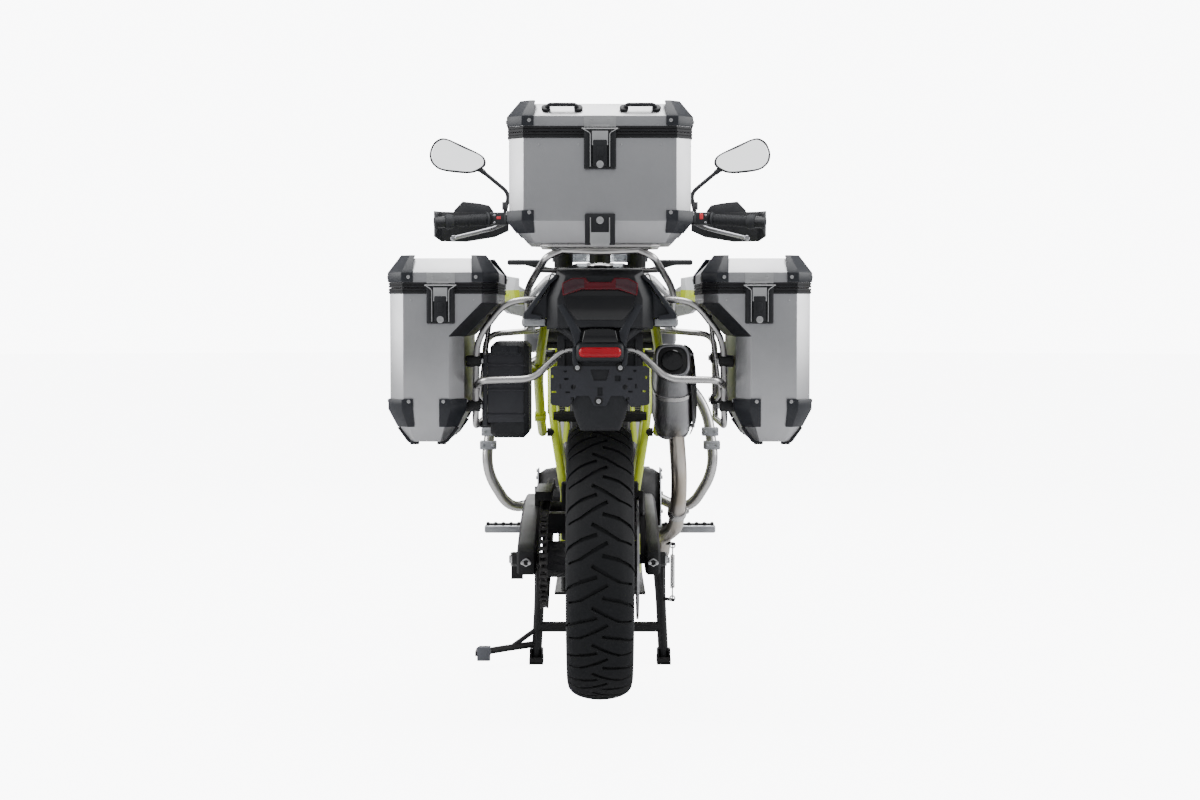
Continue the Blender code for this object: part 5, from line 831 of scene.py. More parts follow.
@dataclass
class LuggageCase:
    """A luggage case: its skin, corner caps, gaskets, latch, screws and handles."""

    name: str
    shell: str
    lid: str
    lid_body: str
    x_low: float
    x_high: float
    y_low: float
    y_high: float
    floor: float
    bevel_top: float
    rim: float
    lid_edge: float
    top: float
    step_side: int = 0
    step_x: float = 0.0
    corner: float = 0.032
    low_inset: float = 0.038
    lid_inset: float = 0.032
    cap_reach: float = 0.024
    cap_wall: float = 0.004
    gasket: float = 0.0125
    latch_width: float = 0.062

    def plan(self, out: float, height: float) -> list[Vector]:
        """The eight corners of the case in plan, moved outwards."""
        cut = self.corner + 0.59 * out
        a, b, c, d = self.x_low - out, self.x_high + out, self.y_low - out, self.y_high + out
        return [vec(x, y, height) for x, y in ((a + cut, c), (b - cut, c), (b, c + cut), (b, d - cut),
            (b - cut, d), (a + cut, d), (a, d - cut), (a, c + cut))]

    def edge(self, sx: int, low: bool = False) -> float:
        """The place in X of a side's face, above its step or below."""
        if low and self.step_side == sx:
            return self.step_x
        return self.x_high if sx > 0 else self.x_low

    def face(self, sy: int) -> float:
        """The place in Y of the front or the rear face."""
        return self.y_high if sy > 0 else self.y_low

    def gasket_band(self, low: float, high: float, body: str, name: str) -> None:
        """A ribbed rubber band round the case between two heights."""
        levels = ((0.0004, 0.0), (0.0026, 0.06), (0.0026, 0.42), (0.0012, 0.46), (0.0012, 0.54),
            (0.0026, 0.58), (0.0026, 0.94), (0.0004, 1.0))
        rows = [self.plan(out, low + (high - low) * rise) for out, rise in levels]
        faces = strips(len(rows), len(rows[0]), wrap=True)
        placed(cleaned(mesh_of([p for row in rows for p in row], faces)), name, body, SEAL)

    def corner_cap(self, sx: int, sy: int, rows: list[tuple[float, float]], body: str, name: str,
            low: bool = False) -> None:
        """A moulded cap over one corner.

        Args:
            sx: side of the corner in X, -1 or 1.
            sy: side of the corner in Y, -1 or 1.
            rows: height and inset of each row of the cap, in order.
            body: the body that it rides on.
            name: its name.
            low: whether it sits below the case's step.
        """
        out = self.cap_wall / 2 + 0.0006
        rings = []
        for height, inset in rows:
            x, y = self.edge(sx, low) + sx * (out - inset), self.face(sy) + sy * (out - inset)
            cut = self.corner * (1.0 - 0.5 * inset / self.low_inset)
            reach = self.corner + self.cap_reach - inset * 0.92
            rings.append([vec(x - sx * back, y - sy * down, height)
                for back, down in ((reach, 0.0), (cut, 0.0), (0.0, cut), (0.0, reach))])
        made = lofted(rings, closed=False)
        apply_modifier(made, "SOLIDIFY", thickness=self.cap_wall, offset=0.0, use_even_offset=True)
        placed(bevelled(cleaned(made), 0.0011), name, body, CAP_PLASTIC)

    def screw(self, place: Point, normal: Point, radius: float = 0.0042) -> Thing:
        """A button head screw with its socket, standing on a face."""
        foot, out = Vector(place), Vector(normal)
        socket = bar(foot + out * 0.0012, foot + out * 0.006, radius * 0.42, 6)
        return bored(bar(foot, foot + out * 0.0026, radius, 16, 0.0012), [socket])

    def caps(self) -> None:
        """The four lid caps, the four lower caps and their screws."""
        slope = (self.top - self.lid_edge) / self.lid_inset
        low_slope = (self.bevel_top - self.floor) / self.low_inset
        lid_rows = [(self.rim + self.gasket + 0.0006, 0.0), (self.lid_edge - 0.001, 0.0),
            (self.lid_edge + 0.006 * slope, 0.005), (self.top + 0.005, self.lid_inset * 0.86),
            (self.top + 0.0046, self.lid_inset * 1.1)]
        low_rows = [(self.bevel_top + 0.023, 0.0), (self.bevel_top + 0.001, 0.0),
            (self.bevel_top - 0.02 * low_slope, 0.0195)]
        inset, proud = self.corner + 0.012, self.cap_wall + 0.0004
        lid_level = (self.rim + self.gasket + self.lid_edge) / 2 + 0.001
        for part, body, rows, level in (("lid", self.lid_body, lid_rows, lid_level),
                ("low", "root", low_rows, self.bevel_top + 0.018)):
            screws = []
            for sx in (-1, 1):
                for sy in (-1, 1):
                    low = part == "low"
                    spot = f"{'right' if sx > 0 else 'left'}_{'front' if sy > 0 else 'rear'}"
                    self.corner_cap(sx, sy, rows, body, f"{self.name}.{part}_cap_{spot}", low)
                    x, y = self.edge(sx, low), self.face(sy)
                    screws.append(self.screw((x - sx * inset, y + sy * proud, level), (0, sy, 0)))
                    screws.append(self.screw((x + sx * proud, y - sy * inset, level), (sx, 0, 0)))
            placed(screws, f"{self.name}.{part}_screws", body, BOLT)

    def latch(self, middle: float) -> None:
        """The hook latch on the rear face with its lever, bail and lid plate."""
        wide, foot, face = self.latch_width, self.rim - 0.078, self.y_low

        def part(size: Point, spot: Point, bevel: float) -> Thing:
            """A block from shares of the latch's width and metres out from and above its foot."""
            return block((size[0] * wide, size[1], size[2]),
                (middle + spot[0] * wide, face - spot[1], foot + spot[2]), bevel)

        def rod(spots: tuple, radius: float, bend: float) -> Thing:
            """A bent rod through places given like a block's."""
            return pipe([vec(middle + x * wide, face - out, foot + z) for x, out, z in spots], radius, bend,
                2)

        body = [part((1.0, 0.009, 0.084), (0.0, 0.005, 0.042), 0.0024),
            part((0.16, 0.015, 0.08), (-0.4, 0.0085, 0.04), 0.0022),
            part((0.16, 0.015, 0.08), (0.4, 0.0085, 0.04), 0.0022),
            part((0.46, 0.011, 0.056), (0.0, 0.012, 0.033), 0.0028),
            part((0.2, 0.004, 0.02), (0.0, 0.0185, 0.036), 0.0012)]
        placed(body, f"{self.name}.latch_body", "root", PLASTIC)
        lock = bar((middle, face - 0.016, foot + 0.009), (middle, face - 0.0205, foot + 0.009), 0.0078, 24,
            0.001)
        slit = block((0.0014, 0.006, 0.007), (middle, face - 0.0215, foot + 0.009))
        bail = [part((0.5, 0.0018, 0.03), (0.0, 0.0158, 0.064), 0.0006), bored(lock, [slit])]
        for s in (-1, 1):
            bail.append(rod(((s * 0.3, 0.0168, 0.004), (s * 0.3, 0.0168, 0.074), (s * 0.54, 0.015, 0.084)),
                0.0011, 0.004))
        bail.append(rod(((-0.56, 0.014, 0.084), (0.56, 0.014, 0.084)), 0.0015, 0.001))
        placed(bail, f"{self.name}.latch_bail", "root", BOLT)
        plate = [part((1.0, 0.0022, 0.024), (0.0, 0.0016, 0.1), 0.0006),
            part((0.6, 0.006, 0.005), (0.0, 0.005, 0.0905), 0.0012)]
        plate += [self.screw((middle + s * wide * 0.28, face - 0.0027, self.rim + 0.025), (0, -1, 0),
            0.0034) for s in (-1, 1)]
        placed(plate, f"{self.name}.latch_plate", self.lid_body, BOLT)

    def lock_tower(self, middle: float) -> None:
        """The lower lock of a case that lifts off, with its key barrel and steel tongue."""
        face, low = self.y_low, self.floor
        base = block((0.064, 0.012, 0.066), (middle, face - 0.0066, low + 0.0275), 0.0026)
        placed(base, f"{self.name}.lock_tower", "root", PLASTIC)
        barrel = bar((middle, face - 0.012, low + 0.046), (middle, face - 0.0155, low + 0.046), 0.008, 28,
            0.001)
        slit = block((0.0014, 0.005, 0.009), (middle, face - 0.016, low + 0.046), 0.0, (0.0, 90.0, 0.0))
        parts = [bored(barrel, [slit]), block((0.04, 0.002, 0.03), (middle, face - 0.0136, low + 0.006),
            0.0006)]
        parts += [pipe([vec(middle + s * 0.02, face - 0.0137, low + rise) for rise in (0.052, -0.002)],
            0.0012, 0.001, 2) for s in (-1, 1)]
        placed(parts, f"{self.name}.lock_parts", "root", BOLT)

    def rivets(self) -> None:
        """Small rivet heads below the rim, on all four faces."""
        heads, level, inset = [], self.rim - 0.026, self.corner
        runs = ((True, self.x_low, self.x_high, (self.y_low, self.y_high), (0.1, 0.36, 0.64, 0.9)),
            (False, self.y_low, self.y_high, (self.x_low, self.x_high), (0.08, 0.36, 0.64, 0.92)))
        for across, low, high, faces, shares in runs:
            for face, sign in zip(faces, (-1, 1)):
                for share in shares:
                    along = low + inset + share * (high - low - 2 * inset)
                    ends = [(along, at, level) if across else (at, along, level)
                        for at in (face, face + sign * 0.0014)]
                    heads.append(bar(*ends, 0.0021, 10, 0.0006))
        placed(heads, f"{self.name}.rivets", "root", BOLT)

    def handles(self, places: tuple[float, ...], width: float) -> None:
        """Carry handles on the sloped rear edge of the lid."""
        slope = vec(0.0, self.lid_inset, self.top - self.lid_edge).normalized()
        out = vec(0.0, -slope.z, slope.y)
        middle = vec(0.0, self.y_low + self.lid_inset * 0.55,
            self.lid_edge + (self.top - self.lid_edge) * 0.55)
        made = []
        for x in places:
            base = middle + vec(x)
            path = [base + vec(s * width / 2) * k + out * o
                for s, k, o in ((-1, 1.0, 0.002), (-1, 0.86, 0.012), (1, 0.86, 0.012), (1, 1.0, 0.002))]
            made.append(pipe(path, 0.0042, 0.008, 3))
            for s in (-1, 1):
                foot = base + vec(s * width * 0.52)
                made.append(bar(foot + out * 0.0004, foot + out * 0.006, 0.0095, 20, 0.0016))
        placed(made, f"{self.name}.handles", self.lid_body, PLASTIC, smooth=45.0)

    def feet(self) -> None:
        """The rails down the lower slope with their feet, at every corner."""
        made = []
        for sy in (-1, 1):
            y = self.face(sy) - sy * 0.05
            for sx in (-1, 1):
                edge = self.edge(sx, True)
                made.append(pipe([vec(edge - sx * 0.017, y, self.bevel_top - 0.04),
                    vec(edge - sx * 0.04, y, self.floor + 0.001),
                    vec(edge - sx * 0.06, y, self.floor - 0.001)], 0.0042, 0.004, 3))
                made.append(block((0.02, 0.014, 0.007), (edge - sx * 0.052, y, self.floor - 0.003), 0.0022))
        placed(made, f"{self.name}.feet", "root", PLASTIC, smooth=45.0)

    def step_shade_sheet(self, high: float, low: float) -> None:
        """The dark sheet over the slope where the case narrows beside the wheel; a black plastic profile is
        real there, and the rest of the sheet's black is painted shade for the slope's shadow under the
        overhang.

        Args:
            high: height of the slope's upper edge.
            low: height of its lower edge.
        """
        side, out = self.step_side, 0.0014
        a, b, cut = self.y_low - out, self.y_high + out, self.corner + 0.59 * out
        rings = [[vec(x + side * (out - back), y, height)
            for back, y in ((cut, a), (0.0, a + cut), (0.0, b - cut), (cut, b))]
            for height, x in ((high - 0.001, self.edge(side)), (low + 0.001, self.step_x))]
        made = lofted(rings, closed=False)
        apply_modifier(made, "SOLIDIFY", thickness=0.0018, offset=0.0)
        # Black over the whole slope: a real black plastic profile, and painted shade for the shadow under
        # the overhang.
        placed(cleaned(made), f"{self.name}.step_liner", "root", PLASTIC)

    def build(self) -> None:
        """Makes everything that every case has."""
        refined(self.shell, "root", CASE_SKIN, 0.0012, 30.0)
        refined(self.lid, self.lid_body, CASE_SKIN, 0.0012, 30.0)
        self.gasket_band(self.rim - self.gasket, self.rim - 0.0004, "root", f"{self.name}.body_gasket")
        self.gasket_band(self.rim + 0.0007, self.rim + self.gasket, self.lid_body,
            f"{self.name}.lid_gasket")
        self.caps()
        self.rivets()


@dataclass
class Luggage:
    """The three cases."""

    side_outer: float = 0.464
    side_upper: float = 0.228
    side_lower: float = 0.3
    side_rear: float = -0.989
    side_front: float = -0.529

    def build(self) -> None:
        """Makes both side cases and the top case."""
        for name, side in SIDES:
            xs = sorted((side * self.side_upper, side * self.side_outer))
            case = LuggageCase(f"{name}_case", f"{name}_side_case", f"{name}_case_lid", f"{name}_lid",
                xs[0], xs[1], self.side_rear, self.side_front, 0.622, 0.695, 0.962, 0.996, 1.028, -side,
                side * self.side_lower)
            case.build()
            case.latch(side * 0.349)
            case.feet()
            # A dark sheet on the step slope, partly painted shade for the shadow under the overhang.
            case.step_shade_sheet(0.93, 0.855)
        top = LuggageCase("top_case", "top_case", "top_case_lid", "top_lid", -0.193, 0.193, -1.159, -0.799,
            1.056, 1.101, 1.288, 1.3215, 1.35, latch_width=0.068)
        top.build()
        top.latch(0.0)
        top.lock_tower(0.0)
        top.handles((-0.08, 0.085), 0.066)


@dataclass
class Racks:
    """The side case hoops, their pucks, and the top case carrier."""

    tube: float = 0.008
    bend: float = 0.06
    puck: float = 0.013

    def build(self) -> None:
        """Makes the tubes, pucks and plate."""
        cross = share_path(((0.2, -0.128, 0.828), (0.4, -0.128, 0.826), (0.74, -0.128, 0.762),
            (1.3, -0.126, 0.76), (1.38, -0.082, 0.745)))
        left = [vec(-p.x, p.y, p.z) for p in cross[::-1]]
        tubes = [pipe(left + cross, self.tube, 0.026, 5)]
        for rows, radius, bend, roundness in ((((0.512, -0.088, 0.942), (1.05, -0.088, 0.932),
                (1.37, -0.082, 0.85), (1.39, -0.08, 0.655), (1.38, 0.13, 0.655), (1.37, 0.13, 0.855),
                (0.667, 0.15, 0.867)), self.tube * 0.92, 0.034, 5),
                (((1.22, -0.084, 0.9), (1.26, -0.06, 0.86), (1.385, 0.02, 0.72), (1.385, 0.128, 0.7)),
                0.0055, 0.03, 4)):
            tubes += paired([pipe(share_path(rows), radius, bend, roundness)])
        placed(tubes, "rack_tubes", "root", STEEL, ("side_case_rack",), 50.0)
        spots = share_path(((1.385, -0.0805, 0.7), (1.375, 0.13, 0.7), (1.375, -0.0815, 0.8),
            (1.37, 0.13, 0.8)))
        for name, low, high, radius, sides, bevel, finish, smooth in (
                ("rack_pucks", -0.01, 0.0235, self.puck, 24, 0.003, HOSE, 45.0),
                ("rack_bolts", -0.015, -0.009, 0.007, 6, 0.001, BOLT, SMOOTH_DEG)):
            made = [bar(spot + vec(low), spot + vec(high), radius, sides, bevel) for spot in spots]
            placed(paired(made), name, "root", finish, smooth=smooth)
        self.carrier()

    def carrier(self) -> None:
        """The carrier plate with its slots and the two grab rails."""
        outline = [(-0.13, -0.1), (-0.11, -0.12), (0.11, -0.12), (0.13, -0.1), (0.13, 0.1), (0.11, 0.12),
            (-0.11, 0.12), (-0.13, 0.1)]
        holes = [framed(x, y, 0.026, 0.018) for x in (-0.078, 0.078) for y in (-0.07, 0.0, 0.07)]
        holes += [circle(0.024, 28, (0.0, 0.045)), circle(0.024, 28, (0.0, -0.045))]
        plate = sheet_of(outline, 0.006, Matrix.Identity(3), (0.0, -0.965, 1.0527), holes, 0.0008)
        rail = pipe(share_path(((0.84, 0.098, 0.886), (0.82, -0.07, 0.96), (0.58, -0.15, 1.03),
            (0.4, -0.15, 1.0447))), self.tube, self.bend, 5)
        lift = bar(share_place(0.72, 0.098, 0.886), share_place(0.84, 0.098, 0.886), 0.011, 20, 0.002)
        rear = pipe(share_path(((0.42, -0.15, 1.044), (0.1, -0.172, 1.04), (-0.1, -0.172, 1.04),
            (-0.42, -0.15, 1.044))), self.tube * 0.9, 0.05, 5)
        stay = pipe(share_path(((0.66, -0.12, 1.002), (0.4, -0.106, 1.0), (-0.4, -0.106, 1.0),
            (-0.66, -0.12, 1.002))), 0.006, 0.03, 4)
        placed([plate, rail, lift, mirrored_x(rail), mirrored_x(lift), rear, stay], "carrier_rails", "root",
            STEEL, ("top_case_carrier",), 50.0)


@dataclass
class FrameTubes:
    """Round tubes drawn over the frame's and the subframe's straight sided ones."""

    frame: float = 0.0142
    rail: float = 0.0117
    guard: float = 0.0148
    bend: float = 0.06
    frame_rows: tuple = (((0.1, 0.735, 1.03), (0.5, 0.6, 0.955), (0.62, 0.4, 0.8), (0.6, 0.362, 0.64),
        (0.44, 0.355, 0.44)), ((0.1, 0.75, 0.985), (0.54, 0.61, 0.76), (0.605, 0.374, 0.7)),
        ((0.1, 0.738, 1.02), (0.3, 0.69, 0.86), (0.46, 0.68, 0.56), (0.48, 0.67, 0.228), (0.48, 0.4, 0.228),
        (0.44, 0.355, 0.36), (0.44, 0.355, 0.44)))
    rail_rows: tuple = (((0.76, 0.4, 0.8), (0.76, 0.34, 0.812), (0.72, 0.25, 0.83), (0.62, 0.06, 0.9),
        (0.49, -0.118, 0.95)), ((0.62, 0.04, 0.905), (0.74, 0.12, 0.77), (0.74, 0.25, 0.65),
        (0.74, 0.36, 0.6)))
    guard_row: tuple = ((0.47, 0.679, 0.42), (1.24, 0.66, 0.345), (1.6, 0.628, 0.47), (1.5, 0.645, 0.64),
        (0.95, 0.668, 0.775), (0.33, 0.687, 0.8))

    def tubes(self, name: str, rows: tuple, radius: float, finish: Finish, steps: int = 2) -> None:
        """Round tubes along rows of shares, on both sides."""
        made = []
        for row in rows:
            made += paired([pipe(share_path(row), radius, self.bend, 5, steps)])
        placed(made, name, "root", finish, smooth=50.0)

    def build(self) -> None:
        """Makes the tubes, the crash bars' clamps and the rack lugs."""
        dressed("main_frame", BLACK_PAINT)
        dressed("rear_subframe", BLACK_PAINT)
        self.tubes("frame_tubes", self.frame_rows, self.frame, LIME)
        self.tubes("subframe_tubes", self.rail_rows, self.rail, LIME)
        self.tubes("crash_bar_tubes", (self.guard_row,), self.guard, STEEL, 8)
        brackets = []
        below, above = share_path(self.guard_row[2:4])
        for side in (-1, 1):
            for along in (0.4, 0.62):
                spot = below.lerp(above, along)
                x, y, z = side * spot.x, spot.y - 0.002, spot.z
                brackets.append(block((0.046, 0.034, 0.024), (x, y, z), 0.003))
                for out in (-0.014, 0.014):
                    brackets.append(bar((x + out, y - 0.0165, z), (x + out, y - 0.0215, z), 0.005, 6,
                        0.0008))
        placed(brackets, "crash_bar_clamps", "root", CAST, smooth=40.0)
        lugs = [bar(spot + vec(-0.014, step), spot + vec(0.014, step), 0.0125, 20, 0.002)
            for spot in share_path(self.rail_rows[1][1:3]) for step in (-0.012, 0.012)]
        placed(paired(lugs), "subframe_lugs", "root", LIME, smooth=45.0)


@dataclass
class TreadedTyre:
    """A tyre with its tread cut as grooves in one pitch that repeats round the tyre."""

    name: str
    node: str
    body: str
    axle: Vector
    radius: float
    half_width: float
    seat: float
    pitches: int
    groove_depth: float = 0.006
    groove_width: float = 0.0092
    columns: int = 26
    rows: int = 8
    section: tuple = ((0.0, 1.0), (0.22, 0.992), (0.42, 0.968), (0.66, 0.918), (0.86, 0.83), (0.955, 0.735),
        (1.0, 0.6), (1.0, 0.5))
    wall: tuple = ((1.0, 0.5), (0.985, 0.4), (0.93, 0.3), (0.8, 0.21), (0.66, 0.145), (0.62, 0.0))
    grooves: tuple = (((-0.06, 0.0), (-0.4, -0.13), (-0.7, -0.3), (-0.94, -0.52)),
        ((0.16, -0.19), (-0.16, -0.4), (-0.42, -0.59), (-0.7, -0.7)),
        ((0.05, -0.5), (0.4, -0.6), (0.68, -0.76), (0.94, -0.97)),
        ((-0.17, -0.74), (0.14, -0.95), (0.4, -1.13), (0.72, -1.22)))

    def half_section(self) -> list[Vector]:
        """The tread's half section in metres, out from the crown."""
        height = self.radius - self.seat
        return [Vector((x * self.half_width, self.seat + r * height)) for x, r in self.section]

    def mapped(self, u: float, v: float, deep: float) -> Vector:
        """A place on the tyre from a place on the flat tread.

        Args:
            u: share of the half arc across, from -1 to 1.
            v: turn round the axle in radians.
            deep: depth below the tread face.

        Returns:
            The place in metres.
        """
        half = self.half_section()
        lengths = [0.0]
        for a, b in zip(half, half[1:]):
            lengths.append(lengths[-1] + (b - a).length)
        goal = abs(u) * lengths[-1]
        index = 0
        while index < len(half) - 2 and lengths[index + 1] < goal:
            index += 1
        a, b = half[index], half[index + 1]
        t = (goal - lengths[index]) / (lengths[index + 1] - lengths[index])
        spot = a.lerp(b, min(t, 1.0))
        before = half[max(index - 1, 0)]
        after = half[min(index + 2, len(half) - 1)]
        lean_a, lean_b = (b - before).normalized(), (after - a).normalized()
        if index == 0:
            lean_a = Vector((1.0, 0.0))
        run = lean_a.lerp(lean_b, min(t, 1.0)).normalized()
        normal = Vector((-run.y, run.x))
        spot = spot - normal * deep
        x = math.copysign(spot.x, u) if u else 0.0
        return self.axle + vec(x, -spot.y * math.cos(v), spot.y * math.sin(v))

    def groove_quads(self, arc: float) -> list[list[Vector]]:
        """The convex pieces of one pitch's grooves in shares of the half arc."""
        pitch = math.tau * self.radius / self.pitches
        quads = []
        for shift in (-1, 0, 1, 2):
            for line in self.grooves:
                points = [Vector((u * arc, (v + shift) * pitch)) for u, v in line]
                for index, (a, b) in enumerate(zip(points, points[1:])):
                    run = (b - a).normalized()
                    side = Vector((-run.y, run.x))
                    wide = self.groove_width / 2 * (1.0 - 0.2 * index)
                    start = a - run * (0.0 if index == 0 else wide * 0.6)
                    quads.append([start + side * wide, start - side * wide,
                        b + run * wide * 0.3 - side * wide, b + run * wide * 0.3 + side * wide])
        return [q for q in quads if max(p.y for p in q) > 0.0 and min(p.y for p in q) < pitch]

    def pitch_patch(self, arc: float) -> bmesh.types.BMesh:
        """One flat pitch of tread, cut along its grooves and sunk inside them."""
        pitch = math.tau * self.radius / self.pitches
        shape = bmesh.new()
        bmesh.ops.create_grid(shape, x_segments=self.columns, y_segments=self.rows, size=0.5)
        for vert in shape.verts:
            vert.co = vec(vert.co.x * 2 * arc, (vert.co.y + 0.5) * pitch)
        quads = self.groove_quads(arc)
        for quad in quads:
            low = Vector((min(p.x for p in quad), min(p.y for p in quad)))
            high = Vector((max(p.x for p in quad), max(p.y for p in quad)))
            for a, b in zip(quad, quad[1:] + quad[:1]):
                near = [f for f in shape.faces if any(low.x - 0.001 <= v.co.x <= high.x + 0.001
                    for v in f.verts) and min(v.co.y for v in f.verts) < high.y
                    and max(v.co.y for v in f.verts) > low.y and min(v.co.x for v in f.verts) < high.x
                    and max(v.co.x for v in f.verts) > low.x]
                run = b - a
                geom = list({e for f in near for e in f.edges}) + near
                geom += list({v for f in near for v in f.verts})
                bmesh.ops.bisect_plane(shape, geom=geom, dist=0.00001, plane_co=(a.x, a.y, 0.0),
                    plane_no=(-run.y, run.x, 0.0))
        sunk = [f for f in shape.faces if self.inside(f.calc_center_median(), quads)]
        out = bmesh.ops.extrude_face_region(shape, geom=sunk)
        moved = [g for g in out["geom"] if isinstance(g, bmesh.types.BMVert)]
        bmesh.ops.delete(shape, geom=sunk, context="FACES_ONLY")
        for vert in moved:
            vert.co.z = -self.groove_depth
        ends = []
        for face in shape.faces:
            level = [v.co.y for v in face.verts]
            if abs(face.normal.z) < 0.5 and (max(level) < 1e-6 or min(level) > pitch - 1e-6):
                ends.append(face)
        bmesh.ops.delete(shape, geom=ends, context="FACES_ONLY")
        return shape

    @staticmethod
    def inside(spot: Vector, quads: list[list[Vector]]) -> bool:
        """Whether a place lies in any of the quads."""
        for quad in quads:
            signs = []
            for a, b in zip(quad, quad[1:] + quad[:1]):
                signs.append((b.x - a.x) * (spot.y - a.y) - (b.y - a.y) * (spot.x - a.x))
            if all(s <= 0 for s in signs) or all(s >= 0 for s in signs):
                return True
        return False

    def build(self) -> None:
        """Wraps the pitches round the tyre, adds the walls, and replaces the plain tyre."""
        half = self.half_section()
        arc = sum((b - a).length for a, b in zip(half, half[1:]))
        patch = self.pitch_patch(arc)
        patch.verts.ensure_lookup_table()
        flat = [v.co.copy() for v in patch.verts]
        order = {v: i for i, v in enumerate(patch.verts)}
        loops = [tuple(order[v] for v in f.verts) for f in patch.faces]
        patch.free()
        points, faces = [], []
        for turn in range(self.pitches):
            base = len(points)
            for place in flat:
                angle = math.tau * turn / self.pitches + place.y / self.radius
                points.append(self.mapped(place.x / arc, angle, -place.z))
            faces += [tuple(base + i for i in loop) for loop in loops]
        height = self.radius - self.seat
        around = self.pitches * self.rows
        for side in (-1, 1):
            faces += strips(len(self.wall), around, len(points))
            for share, rise in self.wall:
                for step in range(around):
                    angle = math.tau * step / around
                    r = self.seat + rise * height
                    points.append(self.axle + vec(side * share * self.half_width, -r * math.cos(angle),
                        r * math.sin(angle)))
        inner = len(points) - around
        other = inner - around * len(self.wall)
        for step in range(around):
            nxt = (step + 1) % around
            faces.append((inner + step, inner + nxt, other + nxt, other + step))
        made = cleaned(mesh_of(points, faces), 2 * MERGE_REACH)
        placed(made, self.name, self.body, RUBBER, (self.node,), 40.0)


def repeated(template: Thing, moves: list[Matrix]) -> Thing:
    """One object with a copy of a template at each place; the template goes."""
    data = template.data
    points, faces = [], []
    for move in moves:
        base = len(points)
        points += [move @ v.co for v in data.vertices]
        faces += [tuple(base + i for i in p.vertices) for p in data.polygons]
    bpy.data.objects.remove(template)
    return mesh_of(points, faces)


@dataclass
class DriveChain:
    """The roller chain over both sprockets."""

    pitch: float = 0.0159
    x: float = -0.1277
    rear_teeth: int = 42
    front_teeth: int = 16
    front: tuple = (-0.1202, 0.425)

    def path(self) -> tuple[list[tuple[float, float]], float]:
        """The chain's run in the side view and its length."""
        a, b = Vector((REAR_AXLE.y, REAR_AXLE.z)), Vector(self.front)
        ra = self.pitch * self.rear_teeth / math.tau
        rb = self.pitch * self.front_teeth / math.tau
        run = b - a
        heading = math.atan2(run.y, run.x)
        lean = math.acos((ra - rb) / run.length)
        points = []
        count = 60
        for step in range(count + 1):
            angle = heading + lean + (math.tau - 2 * lean) * step / count
            points.append(a + Vector((math.cos(angle), math.sin(angle))) * ra)
        for step in range(count + 1):
            angle = heading - lean + 2 * lean * step / count
            points.append(b + Vector((math.cos(angle), math.sin(angle))) * rb)
        points.append(points[0])
        length = sum((q - p).length for p, q in zip(points, points[1:]))
        return points, length

    def build(self) -> None:
        """Makes every link with its plates and rollers."""
        points, length = self.path()
        count = 2 * round(length / self.pitch / 2)
        step = length / count
        spots, walked, index = [], 0.0, 0
        for link in range(count):
            goal = link * step
            while walked + (points[index + 1] - points[index]).length < goal:
                walked += (points[index + 1] - points[index]).length
                index += 1
            a, b = points[index], points[index + 1]
            spots.append(a + (b - a).normalized() * (goal - walked))
        plates = {0: [], 1: []}
        for index, spot in enumerate(spots):
            after = spots[(index + 1) % count]
            run = after - spot
            turn = Matrix.Rotation(math.atan2(run.y, run.x), 4, "X")
            middle = (spot + after) / 2
            plates[index % 2].append(Matrix.Translation((self.x, middle.x, middle.y)) @ turn)
        parts = []
        for kind, out in ((0, 0.0062), (1, 0.0084)):
            plate = self.plate(out)
            parts.append(repeated(plate, plates[kind]))
        rollers = [Matrix.Translation((self.x, s.x, s.y)) for s in spots]
        roller = bar((-0.0095, 0, 0), (0.0095, 0, 0), 0.003, 6)
        parts.append(repeated(roller, rollers))
        drum = bar((-0.0052, 0, 0), (0.0052, 0, 0), 0.005, 8)
        parts.append(repeated(drum, rollers))
        placed(parts, "chain_links", "root", CHAIN_STEEL, ("drive_chain",), 30.0)

    def plate(self, out: float) -> Thing:
        """The pair of side plates of one link, waisted in the middle."""
        half = self.pitch / 2
        outline = [(-half - 0.006, 0.0), (-half - 0.0042, 0.0052), (-half, 0.0068), (0.0, 0.0048),
            (half, 0.0068), (half + 0.0042, 0.0052), (half + 0.006, 0.0), (half + 0.0042, -0.0052),
            (half, -0.0068), (0.0, -0.0048), (-half, -0.0068), (-half - 0.0042, -0.0052)]
        return joined([sheet_of(outline, 0.0018, SIDE_VIEW, (s * out, 0, 0)) for s in (-1, 1)])


